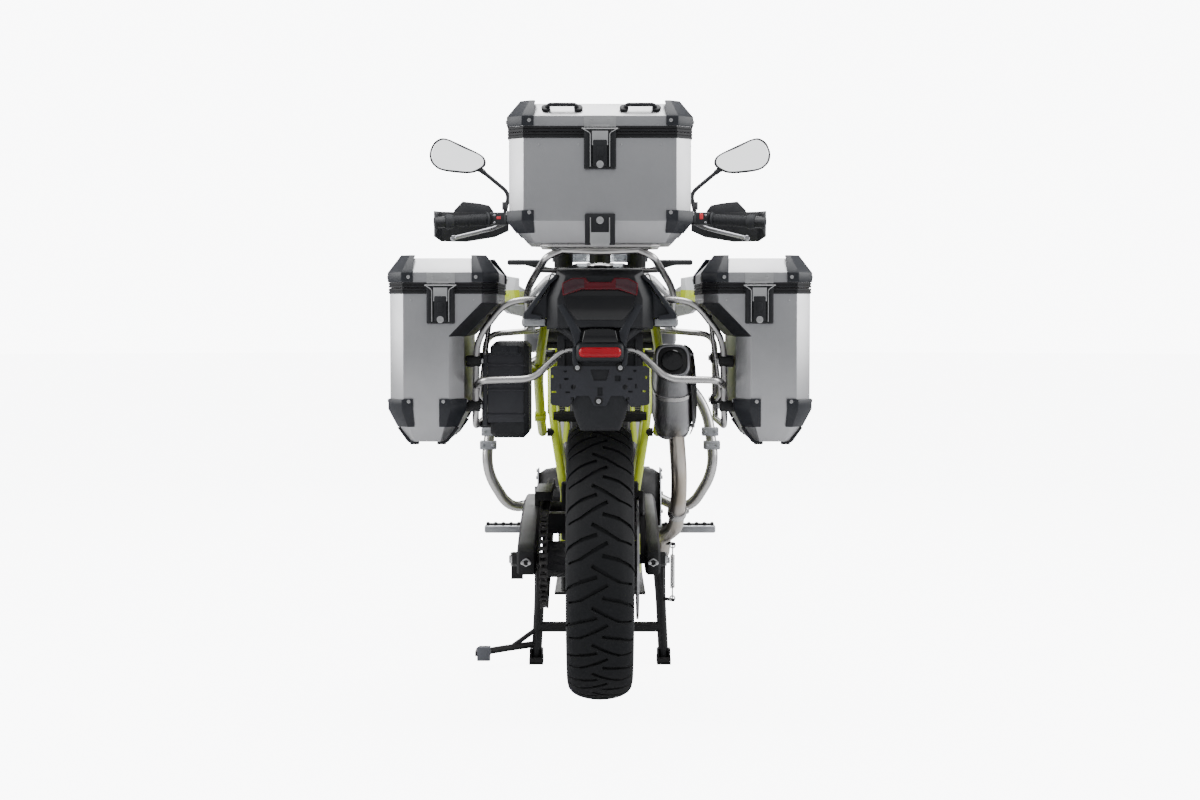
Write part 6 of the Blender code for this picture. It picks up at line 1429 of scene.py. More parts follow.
@dataclass
class WireWheel:
    """A wire wheel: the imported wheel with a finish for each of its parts."""

    node: str
    body: str
    axle: Vector
    rim_low: float
    disc_x: tuple
    disc_low: float
    disc_high: float
    hub: float
    sprocket_x: float = -9.0
    holes: int = 24

    def build(self) -> None:
        """Splits the wheel's finish by place, and puts thin dark coins on both faces of the discs where
        their holes are, painted shade for the dark seen through the holes.
        """
        made = refined(self.node, self.body, ENGINE, 0.0, 35.0)
        made.data.materials.clear()
        for finish in (GLOSS_BLACK, SPOKE_STEEL, DISC_STEEL, ENGINE, CHAIN_STEEL):
            made.data.materials.append(finish.material())
        for face in made.data.polygons:
            middle = face.center
            r = math.hypot(middle.y - self.axle.y, middle.z - self.axle.z)
            far = abs(abs(middle.x) - self.disc_x[1]) < 0.006 if self.disc_x[0] else (
                abs(middle.x - self.disc_x[1]) < 0.006)
            if r > self.rim_low:
                face.material_index = 0
            elif middle.x < self.sprocket_x:
                face.material_index = 4
            elif far and r > self.disc_low - 0.002:
                face.material_index = 2
            elif far and r > self.hub:
                face.material_index = 3
            elif r > self.hub:
                face.material_index = 1
            else:
                face.material_index = 3
        # The discs' holes are not cut: dark coins on their faces are painted shade for the dark seen
        # through them.
        marks = []
        sides = (-1, 1) if self.disc_x[0] else (1,)
        for side in sides:
            for outer in (-1, 1):
                x = side * self.disc_x[1] + outer * 0.0026
                for step in range(self.holes):
                    angle = math.tau * step / self.holes
                    r = self.disc_low + (self.disc_high - self.disc_low) * (0.3 + 0.2 * (step % 3))
                    spot = self.axle + vec(x, r * math.cos(angle), r * math.sin(angle))
                    marks.append(bar(spot - vec(0.0002), spot + vec(0.0002), 0.0036, 10))
        placed(marks, f"{self.node}.disc_holes", self.body, SEAL)
        self.nipples()

    def nipples(self) -> None:
        """Small spoke nipples round the rim's inside."""
        made = []
        for step in range(20):
            angle = math.tau * (step + 0.5) / 20
            for side in (-1, 1):
                out = vec(0, math.cos(angle + side * 0.03), math.sin(angle + side * 0.03))
                spot = self.axle + out * (self.rim_low - 0.004) + vec(side * 0.006)
                made.append(bar(spot, spot + out * 0.01, 0.0034, 8))
        placed(made, f"{self.node}.nipples", self.body, SPOKE_STEEL)


@dataclass
class Tail:
    """The tail's trim, the number plate's arm, the lamps and the rear signals."""

    lamp_half: float = 0.083
    lamp_low: float = 0.944
    lamp_y: float = -1.053
    lamp_tall: float = 0.04
    plate_slots: tuple = ((-0.073, 0.0125, 0.005, 0.002), (0.065, 0.0125, 0.005, 0.002),
        (-0.086, -0.0035, 0.002, 0.005), (0.078, -0.003, 0.002, 0.005), (-0.1, -0.0155, 0.005, 0.002),
        (0.094, -0.014, 0.005, 0.002), (-0.07, -0.0165, 0.005, 0.002), (0.066, -0.015, 0.005, 0.002),
        (-0.076, 0.029, 0.004, 0.002), (0.076, 0.03, 0.004, 0.002), (-0.103, 0.018, 0.002, 0.003),
        (0.1, 0.016, 0.002, 0.003), (-0.06, -0.03, 0.004, 0.003), (0.06, -0.03, 0.004, 0.003))

    def lamp(self) -> None:
        """The wide lamp: a dim red strip between two smoked wings, in a dark frame."""
        outline = [(0.0, 0.35), (0.47, 0.35), (0.97, 0.0), (1.0, 0.69), (0.73, 0.97), (0.37, 1.0),
            (0.3, 0.76), (0.0, 0.76)]
        shape = [(x * self.lamp_half, z * self.lamp_tall) for x, z in outline]
        shape += [(-x, z) for x, z in shape[-2:0:-1]]
        made = sheet_of(shape, 0.0136, REAR_VIEW, (0.0, self.lamp_y - 0.0072, self.lamp_low), None, 0.003,
            3)
        made.data.materials.append(DIM_RED.material())
        placed(made, "tail_lamp.fine", "root", RED, ("tail_lamp",))
        wing = [(0.4, 0.46), (0.52, 0.42), (0.93, 0.1), (0.955, 0.66), (0.72, 0.9), (0.42, 0.93)]
        placed([sheet_of([(side * x * self.lamp_half, z * self.lamp_tall) for x, z in wing], 0.003,
            REAR_VIEW, (0.0, self.lamp_y - 0.0142, self.lamp_low), None, 0.001, 2) for side in (-1, 1)],
            "tail_lamp_wings", "root", SMOKED)

    def arm(self) -> None:
        """The arm that carries the plate: a lofted body with its side webs."""
        rows = ((-0.148, 0.48, 0.8717, 1.0), (-0.1492, 0.36, 0.856, 1.15), (-0.15, 0.3, 0.845, 1.2),
            (-0.151, 0.27, 0.822, 1.22), (-0.152, 0.26, 0.8, 1.2), (-0.153, 0.285, 0.755, 1.05),
            (-0.154, 0.31, 0.71, 0.9), (-0.155, 0.27, 0.68, 0.8), (-0.156, 0.21, 0.652, 0.7))
        section = ((-1, -0.55), (-0.85, -0.95), (-0.4, -1), (0.4, -1), (0.85, -0.95), (1, -0.55), (1, 0.6),
            (0.85, 1), (-0.85, 1), (-1, 0.6))
        rings = [[share_place(half * x, along, height) + vec(0.0, deep * 0.012 * y) for x, y in section]
            for along, half, height, deep in rows]
        made = bevelled(lofted(rings), 0.0012, 2, 40.0)
        placed(made, "plate_arm", "root", PLASTIC, ("plate_carrier",), 45.0)
        face = share_y(-0.148) - 0.0128
        webs = [block((0.003, 0.003, 0.05), (x, face - 0.001, 0.69), 0.001) for x in (-0.03, 0.03)]
        webs += [block((0.05, 0.0026, 0.003), (0.0, face - 0.0012, z), 0.001) for z in (0.668, 0.7)]
        webs += [pipe([vec(side * 0.092, -1.022, 0.888), vec(side * 0.07, -1.034, 0.868),
            vec(side * 0.034, -1.04, 0.842)], 0.0085, 0.02, 3) for side in (-1, 1)]
        placed(webs, "plate_arm_webs", "root", PLASTIC, smooth=45.0)

    def plate_lamp(self) -> None:
        """The plate lamp's housing with its arms, and the low lamp."""
        top = sheet_of(both_halves([(0.04, 0.0), (0.034, 0.027), (0.02, 0.031)]), 0.03, REAR_VIEW,
            (0.0, -1.046, 0.843), None, 0.005, 3)
        placed(top, "plate_lamp_cover", "root", GLOSS_BLACK, smooth=50.0)
        ring = block((0.106, 0.032, 0.044), (0.0, -1.049, 0.8225), 0.013, segments=5)
        placed(ring, "plate_lamp_housing", "root", PLASTIC, smooth=50.0)
        lens = block((0.092, 0.02, 0.0235), (0.0, -1.06, 0.8225), 0.0092, segments=5)
        placed(lens, "low_brake_lamp.fine", "root", RED, ("low_brake_lamp",), 50.0)
        arms = []
        for side in (-1, 1):
            for shape, depth, y, z, bevel, segments in (
                    (((0.094, 0.088), (0.078, 0.092), (0.04, 0.029), (0.042, 0.01), (0.054, -0.006),
                    (0.06, 0.02), (0.066, 0.036)), 0.022, -1.043, 0.838, 0.004, 3),
                    (((0.054, 0.01), (0.061, 0.004), (0.059, -0.03), (0.05, -0.04), (0.047, -0.03)), 0.018,
                    -1.045, 0.826, 0.003, 2)):
                arms.append(sheet_of([(side * x, rise) for x, rise in shape], depth, REAR_VIEW, (0.0, y, z),
                    None, bevel, segments))
        placed(arms, "plate_lamp_arms", "root", CAP_PLASTIC, smooth=50.0)

    def plate(self) -> None:
        """The bare plate bracket with its slots, screws and backing."""
        outline = both_halves([(0.1, 0.0404), (0.1075, 0.036), (0.1075, -0.04), (0.104, -0.0437),
            (0.068, -0.049), (0.05, -0.0244), (0.024, -0.0244), (0.0127, -0.0465)])
        holes = [[(-0.021, 0.033), (0.021, 0.033), (0.014, 0.0087), (-0.014, 0.0087)],
            [(0.032, 0.0197), (0.0445, 0.0197), (0.0445, 0.0073), (0.032, 0.0073)],
            circle(0.0055, 20, (-0.058, -0.005)), circle(0.0055, 20, (0.054, -0.005)),
            [(-0.0055, -0.006), (0.0055, -0.006), (0.0055, -0.024), (-0.0055, -0.024)]]
        holes += [framed(*row) for row in self.plate_slots]
        sheet = sheet_of(outline, 0.0028, REAR_VIEW, (0.0, -1.0488, 0.752), holes, 0.0005)
        placed(sheet, "plate_bracket.fine", "root", BRACKET, ("plate_bracket",), 30.0)
        washers, bolts = [], []
        for x, z in ((-0.049, 0.789), (0.044, 0.789), (-0.003, 0.7165)):
            washers.append(bar((x, -1.0502, z), (x, -1.052, z), 0.0095, 28, 0.0006))
            bolts.append(bored(bar((x, -1.052, z), (x, -1.056, z), 0.0052, 16, 0.001),
                [bar((x, -1.0545, z), (x, -1.06, z), 0.0026, 6)]))
        inner = [block((0.188, 0.005, 0.15), (0.0, -0.995, 0.785), 0.0018)]
        inner += [block((0.004, 0.005, 0.13), (x, -0.999, 0.785), 0.0012)
            for x in (-0.078, -0.04, 0.0, 0.04, 0.078)]
        placed(inner, "plate_backing", "root", PLASTIC)
        placed(washers, "plate_washers", "root", HOSE)
        placed(bolts, "plate_bolts", "root", BOLT)

    def signals(self) -> None:
        """Both rear signals with ribbed rubber stalks."""
        stalks, bodies, lenses = [], [], []
        for side in (-1, 1):
            x, y, z = side * 0.084, -0.9986, 0.887
            for ring in range(6):
                at = x + side * (0.003 + 0.0056 * ring)
                stalks.append(bar((at, y, z), (at + side * 0.004, y, z), 0.012 - 0.0006 * ring, 18, 0.0012))
            stalks.append(bar((x - side * 0.01, y, z), (x + side * 0.04, y, z), 0.0075, 16))
            x = side * 0.144
            bodies.append(block((0.054, 0.026, 0.02), (x, y + 0.002, z), 0.006, segments=3))
            lenses.append(block((0.05, 0.008, 0.0165), (x, y - 0.0125, z), 0.0024, segments=3))
            for line in range(-4, 5):
                lenses.append(block((0.001, 0.001, 0.012), (x + line * 0.0052, y - 0.0166, z), 0.0003))
        placed(stalks + bodies, "rear_signals", "root", PLASTIC,
            ("left_rear_indicator", "right_rear_indicator"), 45.0)
        placed(lenses, "rear_signal_lenses", "root", LENS)

    def build(self) -> None:
        """Makes every piece of the tail."""
        self.lamp()
        self.arm()
        self.plate_lamp()
        self.plate()
        self.signals()
        self.cowl()

    def cowl(self) -> None:
        """The tail's own shell and the panels set on it."""
        refined("tail_cowl", "root", PLASTIC, 0.006, 50.0)
        half = [(0.076, 0.03), (0.078, 0.0), (0.07, -0.028), (0.05, -0.052)]
        panel = sheet_of(both_halves(half), 0.005, REAR_VIEW, (0.0, self.lamp_y - 0.003, self.lamp_low),
            None, 0.0016, 2)
        placed(panel, "tail_gloss_panel", "root", GLOSS_BLACK, smooth=40.0)
        shells, panels, stripes = [], [], []
        for side in (-1, 1):
            rings = []
            for y, w in ((-1.04, 0.0), (-0.99, 0.004), (-0.93, 0.002), (-0.87, -0.004)):
                line = [(0.094, 0.992), (0.112, 0.976), (0.14 + w, 0.938), (0.164 + w, 0.906),
                    (0.164 + w, 0.895), (0.128, 0.893), (0.126, 0.901), (0.15 + w, 0.906),
                    (0.132 + w, 0.936), (0.106, 0.972), (0.09, 0.985)]
                rings.append([vec(side * x, y, z) for x, z in line])
            shells.append(bevelled(lofted(rings), 0.0016, 2, 35.0))
            shells.append(bar((side * 0.076, -1.01, 0.888), (side * 0.1, -1.01, 0.888), 0.016, 28, 0.003))
            rows = []
            for y, x in ((-0.915, 0.128), (-0.78, 0.146), (-0.62, 0.16), (-0.47, 0.15)):
                low, high = 0.868, 0.962 - 0.1 * (y + 0.915)
                middle = (low + high) / 2
                rows.append([vec(side * (x + out), y, z)
                    for out, z in ((0.02, low), (0.024, middle), (0.0, high), (-0.004, high - 0.002),
                    (0.019, middle), (0.016, low + 0.001))])
            panels.append(bevelled(lofted(rows), 0.0012, 2, 35.0))
            push = vec(side * 0.0012)
            bands = [[row[0].lerp(row[1], along) + push * out
                for along, out in ((0.25, 1.0), (0.95, 1.0), (0.95, -0.5), (0.25, -0.5))]
                for row in rows[:3]]
            bands[0] = [p + vec(0, -0.0016) for p in bands[0]]
            stripes.append(lofted(bands))
            shells.append(sheet_of([(side * x, z) for x, z in ((0.078, 0.984), (0.092, 0.986),
                (0.146, 0.915), (0.158, 0.898), (0.078, 0.895))], 0.003, REAR_VIEW, (0.0, -1.02, 0.0), None,
                0.0008))
        placed(shells, "tail_shells", "root", CAP_PLASTIC, smooth=35.0)
        placed(panels, "tail_side_panels", "root", WHITE, smooth=35.0)
        placed(stripes, "tail_side_stripes", "root", LIME_DECAL, smooth=35.0)


@dataclass
class Muffler:
    """The muffler with its end cap, bands, heat shield, clamp and pipes."""

    sections: tuple = ((0.125, 0.87, 0.63, 0.4, 0.4), (0.105, 0.86, 0.65, 0.8, 0.8),
        (0.05, 0.85, 0.69, 1.0, 1.0), (-0.04, 0.82, 0.76, 0.94, 0.88), (-0.1, 0.8, 0.8, 0.84, 0.74),
        (-0.106, 0.8, 0.801, 0.78, 0.68))
    half_width: float = 0.049
    half_height: float = 0.058
    squareness: float = 3.2

    def ring(self, section: tuple, grow: float = 0.0, steps: int = 36) -> list[Vector]:
        """One section of the muffler's body, grown by a distance."""
        along, x, z, w, h = section
        centre = share_place(x, along, z)
        a, b = self.sections[0], self.sections[-1]
        run = (share_place(b[1], b[0], b[2]) - share_place(a[1], a[0], a[2])).normalized()
        side = vec(1.0)
        up = side.cross(run).normalized()
        if up.z < 0:
            up = -up
        out = []
        for step in range(steps):
            angle = math.tau * step / steps
            c, s = math.cos(angle), math.sin(angle)
            rate = (abs(c) ** self.squareness + abs(s) ** self.squareness) ** (-1.0 / self.squareness)
            out.append(centre + side * (c * rate * (self.half_width * w + grow))
                + up * (s * rate * (self.half_height * h + grow)))
        return out

    def between(self, t: float) -> tuple:
        """The section at a share of the way from the first to the last."""
        spot = t * (len(self.sections) - 1)
        index = min(int(spot), len(self.sections) - 2)
        a, b = self.sections[index], self.sections[index + 1]
        part = spot - index
        return tuple(p + (q - p) * part for p, q in zip(a, b))

    def build(self) -> None:
        """Makes the muffler with its rim, recess, outlet and bands."""
        body = lofted([self.ring(self.between(step / 20)) for step in range(21)])
        placed(body, "muffler.fine", "root", SATIN_STEEL, ("muffler",), 40.0)
        first, centre = [share_place(x, along, z) for along, x, z, _, _ in (self.sections[0],
            self.sections[-1])]
        run = (centre - first).normalized()
        end = self.between(1.0)
        rim = [self.ring(self.between(0.965), 0.0016)]
        rim += [[p + run * deep for p in self.ring(end, grow)]
            for deep, grow in ((0.0, 0.0016), (0.004, -0.001), (0.0036, -0.0058), (-0.003, -0.0066))]
        cap = bevelled(lofted(rim), 0.001, 2, 40.0)
        placed(cap, "muffler_end_cap", "root", SATIN_STEEL, smooth=45.0)
        back = lofted([[p + run * deep for p in self.ring(end, -0.0062)] for deep in (-0.004, 0.0008)])
        placed(back, "muffler_end_recess", "root", HOSE)
        side = vec(1.0)
        up = run.cross(side).normalized()
        angles = [math.tau * step / 40 for step in range(40)]
        mouth = [(0.0245, -0.004), (0.0245, 0.006), (0.0225, 0.0068), (0.0215, 0.002), (0.0005, 0.0014),
            (0.0005, -0.004)]
        tube = lofted([[centre + run * deep + (side * math.cos(a) + up * math.sin(a)) * radius
            for a in angles] for radius, deep in mouth])
        placed(tube, "muffler_outlet", "root", GLOSS_BLACK, smooth=45.0)
        bands = []
        for t in (0.22, 0.6):
            bands.append(lofted([self.ring(self.between(t + step), grow)
                for step, grow in ((-0.014, 0.0002), (-0.014, 0.002), (0.014, 0.002), (0.014, 0.0002))]))
        lug_top = share_place(0.8, 0.006, 0.8) + vec(0.0, 0.0, 0.01)
        bands.append(bar(lug_top + vec(-0.02), lug_top + vec(0.012), 0.009, 20, 0.0016))
        placed(bands, "muffler_bands", "root", STEEL, smooth=45.0)
        self.shield()

    def shield(self) -> None:
        """The slotted heat shield along the muffler's outer side."""
        rows = []
        for step in range(9):
            t = 0.26 + 0.5 * step / 8
            ring = self.ring(self.between(t), 0.007, 48)
            rows.append([ring[i % 48] for i in range(-6, 9)])
        made = lofted(rows, closed=False)
        apply_modifier(made, "SOLIDIFY", thickness=0.002, offset=0.0)
        slots = []
        for step in range(5):
            t = 0.31 + 0.4 * step / 4
            ring = self.ring(self.between(t), 0.007, 48)
            spot, near = ring[1], ring[2]
            lean = math.degrees(math.atan2(near.z - spot.z, near.y - spot.y))
            slots.append(block((0.02, 0.034, 0.006), tuple(ring[2]), 0.0, (lean - 62.0, 0.0, 0.0)))
        bored(made, slots)
        bevelled(cleaned(made), 0.0005, 1, 50.0)
        screws = []
        for t, index in ((0.29, 5), (0.29, -4), (0.73, 5), (0.73, -4)):
            ring = self.ring(self.between(t), 0.0, 48)
            base = ring[index % 48]
            screws.append(bar(base, base + vec(0.0105), 0.0048, 16, 0.001))
        placed(made, "muffler_shield", "root", PLASTIC, smooth=40.0)
        placed(screws, "muffler_shield_screws", "root", BOLT)


@dataclass
class Headers:
    """The exhaust pipes in front of and under the engine."""

    right: tuple = ((0.22, 0.665, 0.7), (0.22, 0.705, 0.69), (0.26, 0.706, 0.33), (0.7, 0.69, 0.262),
        (0.8, 0.5, 0.262), (0.825, 0.43, 0.272), (0.825, 0.345, 0.335), (0.83, 0.27, 0.35),
        (0.93, 0.205, 0.38), (0.9375, 0.165, 0.425))
    left: tuple = ((-0.22, 0.665, 0.7), (-0.22, 0.705, 0.69), (-0.22, 0.706, 0.48), (0.24, 0.706, 0.36))
    link: tuple = ((0.945, 0.125, 0.47), (0.94, 0.1, 0.53), (0.9, 0.09, 0.63))

    def build(self) -> None:
        """Makes the pipes, the collar and the flanges."""
        path = share_path(self.right)
        joint, end = path[-1], share_place(*self.link[0]) - path[-1]
        pipes = [pipe(rows, 0.019, 0.06, 6) for rows in ([*path, joint + end * 0.4], share_path(self.left))]
        placed(pipes, "header_pipes", "root", HOT_STEEL, ("exhaust_headers",), 50.0)
        link = pipe([joint + end * 0.3, *share_path(self.link)], 0.019, 0.05, 6)
        placed(link, "muffler_link_pipe", "root", HOT_STEEL, smooth=50.0)
        run, ear = end.normalized(), joint + vec(0.024)
        clamps = [bar(joint - run * 0.012, joint + run * 0.012, 0.0235, 32, 0.002),
            bar(ear - run * 0.004, ear + run * 0.006, 0.006, 6, 0.001)]
        for spot in share_path((self.right[0], self.left[0])):
            clamps.append(block((0.066, 0.008, 0.046), spot + vec(0.0, 0.006), 0.004))
            clamps += [bar(spot + vec(x, 0.006), spot + vec(x, 0.018), 0.0055, 6, 0.0008)
                for x in (-0.025, 0.025)]
        placed(clamps, "exhaust_clamps", "root", STEEL, smooth=40.0)


@dataclass
class Bars:
    """The handlebar, grips, levers, switches, guards and mirrors."""

    rows: tuple = ((2.15, 0.628, 1.158), (1.2, 0.662, 1.172), (0.48, 0.69, 1.181))

    def grip_line(self, side: int) -> tuple[Vector, Vector]:
        """The bar's end on a side and the direction back towards the middle."""
        end = share_place(*self.rows[0])
        knee = share_place(*self.rows[1])
        end.x, knee.x = side * end.x, side * knee.x
        return end, (knee - end).normalized()

    def build(self) -> None:
        """Makes everything on the handlebar."""
        path = share_path(self.rows)
        other = [vec(-p.x, p.y, p.z) for p in path[::-1]]
        tube = pipe(path + other, 0.011, 0.06, 5)
        placed(tube, "bar_tube", "steering", BLACK_PAINT, ("handlebar",), 50.0)
        grips, perches, levers, caps, switches, marks = [], [], [], [], [], []
        for _, side in SIDES:
            end, run = self.grip_line(side)
            turn = (0.0, 0.0, side * 6.0)

            def spot(along: float, y: float = 0.0, z: float = 0.0) -> Vector:
                """A place beside the bar at a distance inwards from its end."""
                return end + run * (0.004 + along) + vec(0.0, y, z)

            def sleeve(low: float, high: float, radius: float, sides: int, bevel: float) -> Thing:
                """A round sleeve on the bar between two distances."""
                return bar(spot(low), spot(high), radius, sides, bevel)

            grips.append(sleeve(0.0, 0.118, 0.015, 28, 0.002))
            for step in range(26):
                low = 0.006 + step * 0.0042
                grips.append(sleeve(low, low + 0.0022, 0.0163, 24, 0.0005))
            grips.append(sleeve(0.114, 0.121, 0.02, 28, 0.002))
            grips.append(sleeve(-0.005, 0.019, 0.0205, 32, 0.006))
            caps.append(sleeve(-0.007, 0.002, 0.008, 24, 0.002))
            switches.append(block((0.048, 0.04, 0.036), spot(0.148), 0.006, turn))
            perches.append(sleeve(0.172, 0.202, 0.0185, 28, 0.003))
            perches.append(block((0.034, 0.03, 0.022), spot(0.184, 0.024, 0.004), 0.004, turn))
            tip = spot(0.016, 0.04, -0.044)
            levers.append(pipe([spot(0.184, 0.03, -0.004), spot(0.14, 0.04, -0.022),
                spot(0.09, 0.042, -0.031), tip], 0.0058, 0.03, 4))
            levers.append(bar(tip + vec(0, -0.006), tip + vec(0, 0.006), 0.0086, 24, 0.0034))
            size, rise = (((0.01, 0.003, 0.016), 0.006) if side > 0 else ((0.012, 0.003, 0.008), 0.002))
            marks.append(block(size, spot(0.15, -0.0212, rise), 0.0014, turn))
            levers += [bar(spot(0.138, -0.0195, drop), spot(0.138, -0.0225, drop), 0.003, 12, 0.0006)
                for drop in (-0.01, 0.01)]
        placed(grips, "bar_grips", "steering", GRIP, smooth=40.0)
        placed(perches + switches, "bar_switches", "steering", PLASTIC, smooth=45.0)
        placed(levers, "bar_levers", "steering", FORK, smooth=45.0)
        placed(caps, "bar_ends", "steering", STEEL)
        placed(marks, "bar_buttons", "steering", SIGNAL_RED)
        self.mirrors()
        self.guards()
        clamp = []
        y, z = share_y(0.69), 1.181
        for x in (-0.07, 0.07):
            clamp.append(block((0.026, 0.04, 0.03), (x, y, z + 0.004), 0.004))
            clamp += [bar((x, y + step, z + 0.018), (x, y + step, z + 0.0225), 0.005, 12, 0.001)
                for step in (-0.013, 0.013)]
        placed(clamp, "bar_clamps", "steering", CAST, smooth=40.0)

    def guards(self) -> None:
        """Both handguards and the plates set on them."""
        tops = []
        for name, side in SIDES:
            refined(f"{name}_handguard", "steering", PLASTIC, 0.0016, 40.0)
            low, high = node_box(f"{name}_handguard")
            inner = min(abs(low.x), abs(high.x)) + 0.034
            shape = [(side * (inner + x), z) for x, z in ((0.01, -0.012), (0.01, 0.004), (0.022, 0.02),
                (0.052, 0.026), (0.098, 0.031), (0.122, 0.006), (0.124, -0.012))]
            tops.append(sheet_of(shape, 0.0046, REAR_VIEW, (0.0, high.y - 0.01, high.z), None, 0.0014, 2))
        placed(tops, "handguard_tops", "steering", PLASTIC, smooth=40.0)

    def mirrors(self) -> None:
        """Both mirrors, with glass set in their rims, and their stems; the glass glows as a painted bright
        reflection.
        """
        shape = [(0.25, 1.0), (0.6, 0.76), (0.95, 0.5), (1.0, 0.32), (0.96, 0.18), (0.74, 0.0),
            (0.19, 0.09), (0.03, 0.3), (0.0, 0.56), (0.08, 0.86)]
        for _ in range(2):
            ends = list(zip(shape, shape[1:] + shape[:1]))
            shape = [(a[0] + (b[0] - a[0]) * t, a[1] + (b[1] - a[1]) * t) for a, b in ends
                for t in (0.22, 0.78)]
        wide, tall, mid_x, mid_z = 0.16, 0.104, 0.5, 0.42
        corner = share_place(1.585, 0.656, 1.293) + vec(mid_x * wide, 0, mid_z * tall)
        spokes = [((mid_x - u) * wide, (v - mid_z) * tall) for u, v in shape]
        heads, glasses, stems = [], [], []
        for _, side in SIDES:
            rows = []
            for out, y in ((-0.01, 0.008), (0.0, 0.002), (0.0, -0.0085), (-0.0034, -0.0105),
                    (-0.0056, -0.0095)):
                rates = [1.0 + out / math.hypot(x, z) for x, z in spokes]
                rows.append([vec(side * (corner.x + x * rate), corner.y + y, corner.z + z * rate)
                    for (x, z), rate in zip(spokes, rates)])
            heads.append(bevelled(lofted(rows), 0.003, 3, 25.0))
            ring = [vec(p.x, corner.y - 0.0101, p.z) for p in rows[-1]]
            back = [p + vec(0, 0.003) for p in ring]
            glasses.append(bevelled(lofted([back, ring]), 0.0008, 2, 40.0))
            base, knee, top = [vec(side * p.x, p.y, p.z)
                for p in share_path(((1.33, 0.654, 1.182), (1.27, 0.654, 1.24), (1.74, 0.656, 1.318)))]
            run = (knee - top).normalized()
            stems += [bar(top - run * 0.004, top + run * 0.02, 0.0092, 24, 0.002),
                bar(top + run * 0.018, top + run * 0.034, 0.0074, 24, 0.0014),
                pipe([base, knee, top], 0.0056, 0.02, 4), bar(base + vec(0, 0, 0.012),
                base + vec(0, 0, 0.034), 0.0088, 6, 0.0012)]
        placed(heads + stems, "mirror_heads", "steering", PLASTIC, ("left_mirror", "right_mirror"), 40.0)
        # The glass glows though it is no lamp: a painted bright reflection.
        placed(glasses, "mirror_glass", "steering", GLOWING_MIRROR, smooth=20.0)


@dataclass
class Engine:
    """The engine's castings with their fins, bolts, covers and the radiator."""

    left_face: float = -0.165
    right_face: float = 0.16
    cover_radius: float = 0.09
    cover_bolts: float = 0.079

    def build(self) -> None:
        """Makes the engine's finer castings and what is fixed to them."""
        for node in ("crankcase", "cylinder_block", "cylinder_head"):
            refined(node, "root", ENGINE, 0.002, 35.0)
        refined("engine_guard", "root", BLACK_PAINT, 0.0012, 35.0)
        bolts, rims = [], []
        edge, wide = self.cover_radius, self.cover_bolts
        for side, along, height, face in ((-1, 0.532, 0.4, self.left_face),
                (1, 0.5, 0.405, self.right_face)):
            centre = vec(face, share_y(along), height)
            rims.append(turned([(edge - 0.02, 0.0), (edge - 0.002, 0.0), (edge - 0.004, side * 0.003),
                (edge - 0.018, side * 0.003)], centre, 64))
            rims.append(turned([(0.0005, 0.0), (0.046, 0.0), (0.043, side * 0.004), (0.0005, side * 0.005)],
                centre, 48))
            for step in range(10):
                angle = math.tau * (step + 0.5) / 10
                spot = centre + vec(0.0, wide * math.cos(angle), wide * math.sin(angle))
                bolts.append(bar(spot, spot + vec(side * 0.0075), 0.0052, 12, 0.0012))
        placed(rims, "engine_cover_rims", "root", CAST, smooth=35.0)
        for side in (-1, 1):
            for along, height in ((0.42, 0.33), (0.42, 0.46), (0.6, 0.47), (0.62, 0.33)):
                spot = vec(side * 0.1, share_y(along), height)
                bolts.append(bar(spot, spot + vec(side * 0.006), 0.0062, 12, 0.0014))
        placed(bolts, "engine_bolts", "root", BOLT)
        fins = [block((0.176, 0.006, 0.005), (0.0, share_y(0.662), 0.575 + 0.024 * step), 0.0016)
            for step in range(5)]
        placed(fins, "engine_front_fins", "root", ENGINE)
        self.radiator()
        filler = [bar((0.112, 0.086, 0.474), (0.136, 0.086, 0.474), 0.015, 28, 0.003),
            block((0.008, 0.026, 0.006), (0.138, 0.086, 0.474), 0.0016)]
        placed(filler, "oil_filler_cap", "root", PLASTIC)

    def radiator(self) -> None:
        """The radiator's finned core between its side tanks."""
        refined("radiator", "root", BLACK_PAINT, 0.0, 30.0)
        fins = [block((0.244, 0.031, 0.0014), (0.0, 0.0, -0.086 + 0.172 * step / 33)) for step in range(34)]
        fins += [block((0.0024, 0.0296, 0.176), (-0.12 + 0.24 * step / 8, 0.0, 0.0)) for step in range(9)]
        made = joined(fins)
        made.rotation_euler = (math.radians(-4.0), 0.0, 0.0)
        made.location = (0.0, 0.387, 0.715)
        placed(settle(made), "radiator_fins", "root", DISC_STEEL)


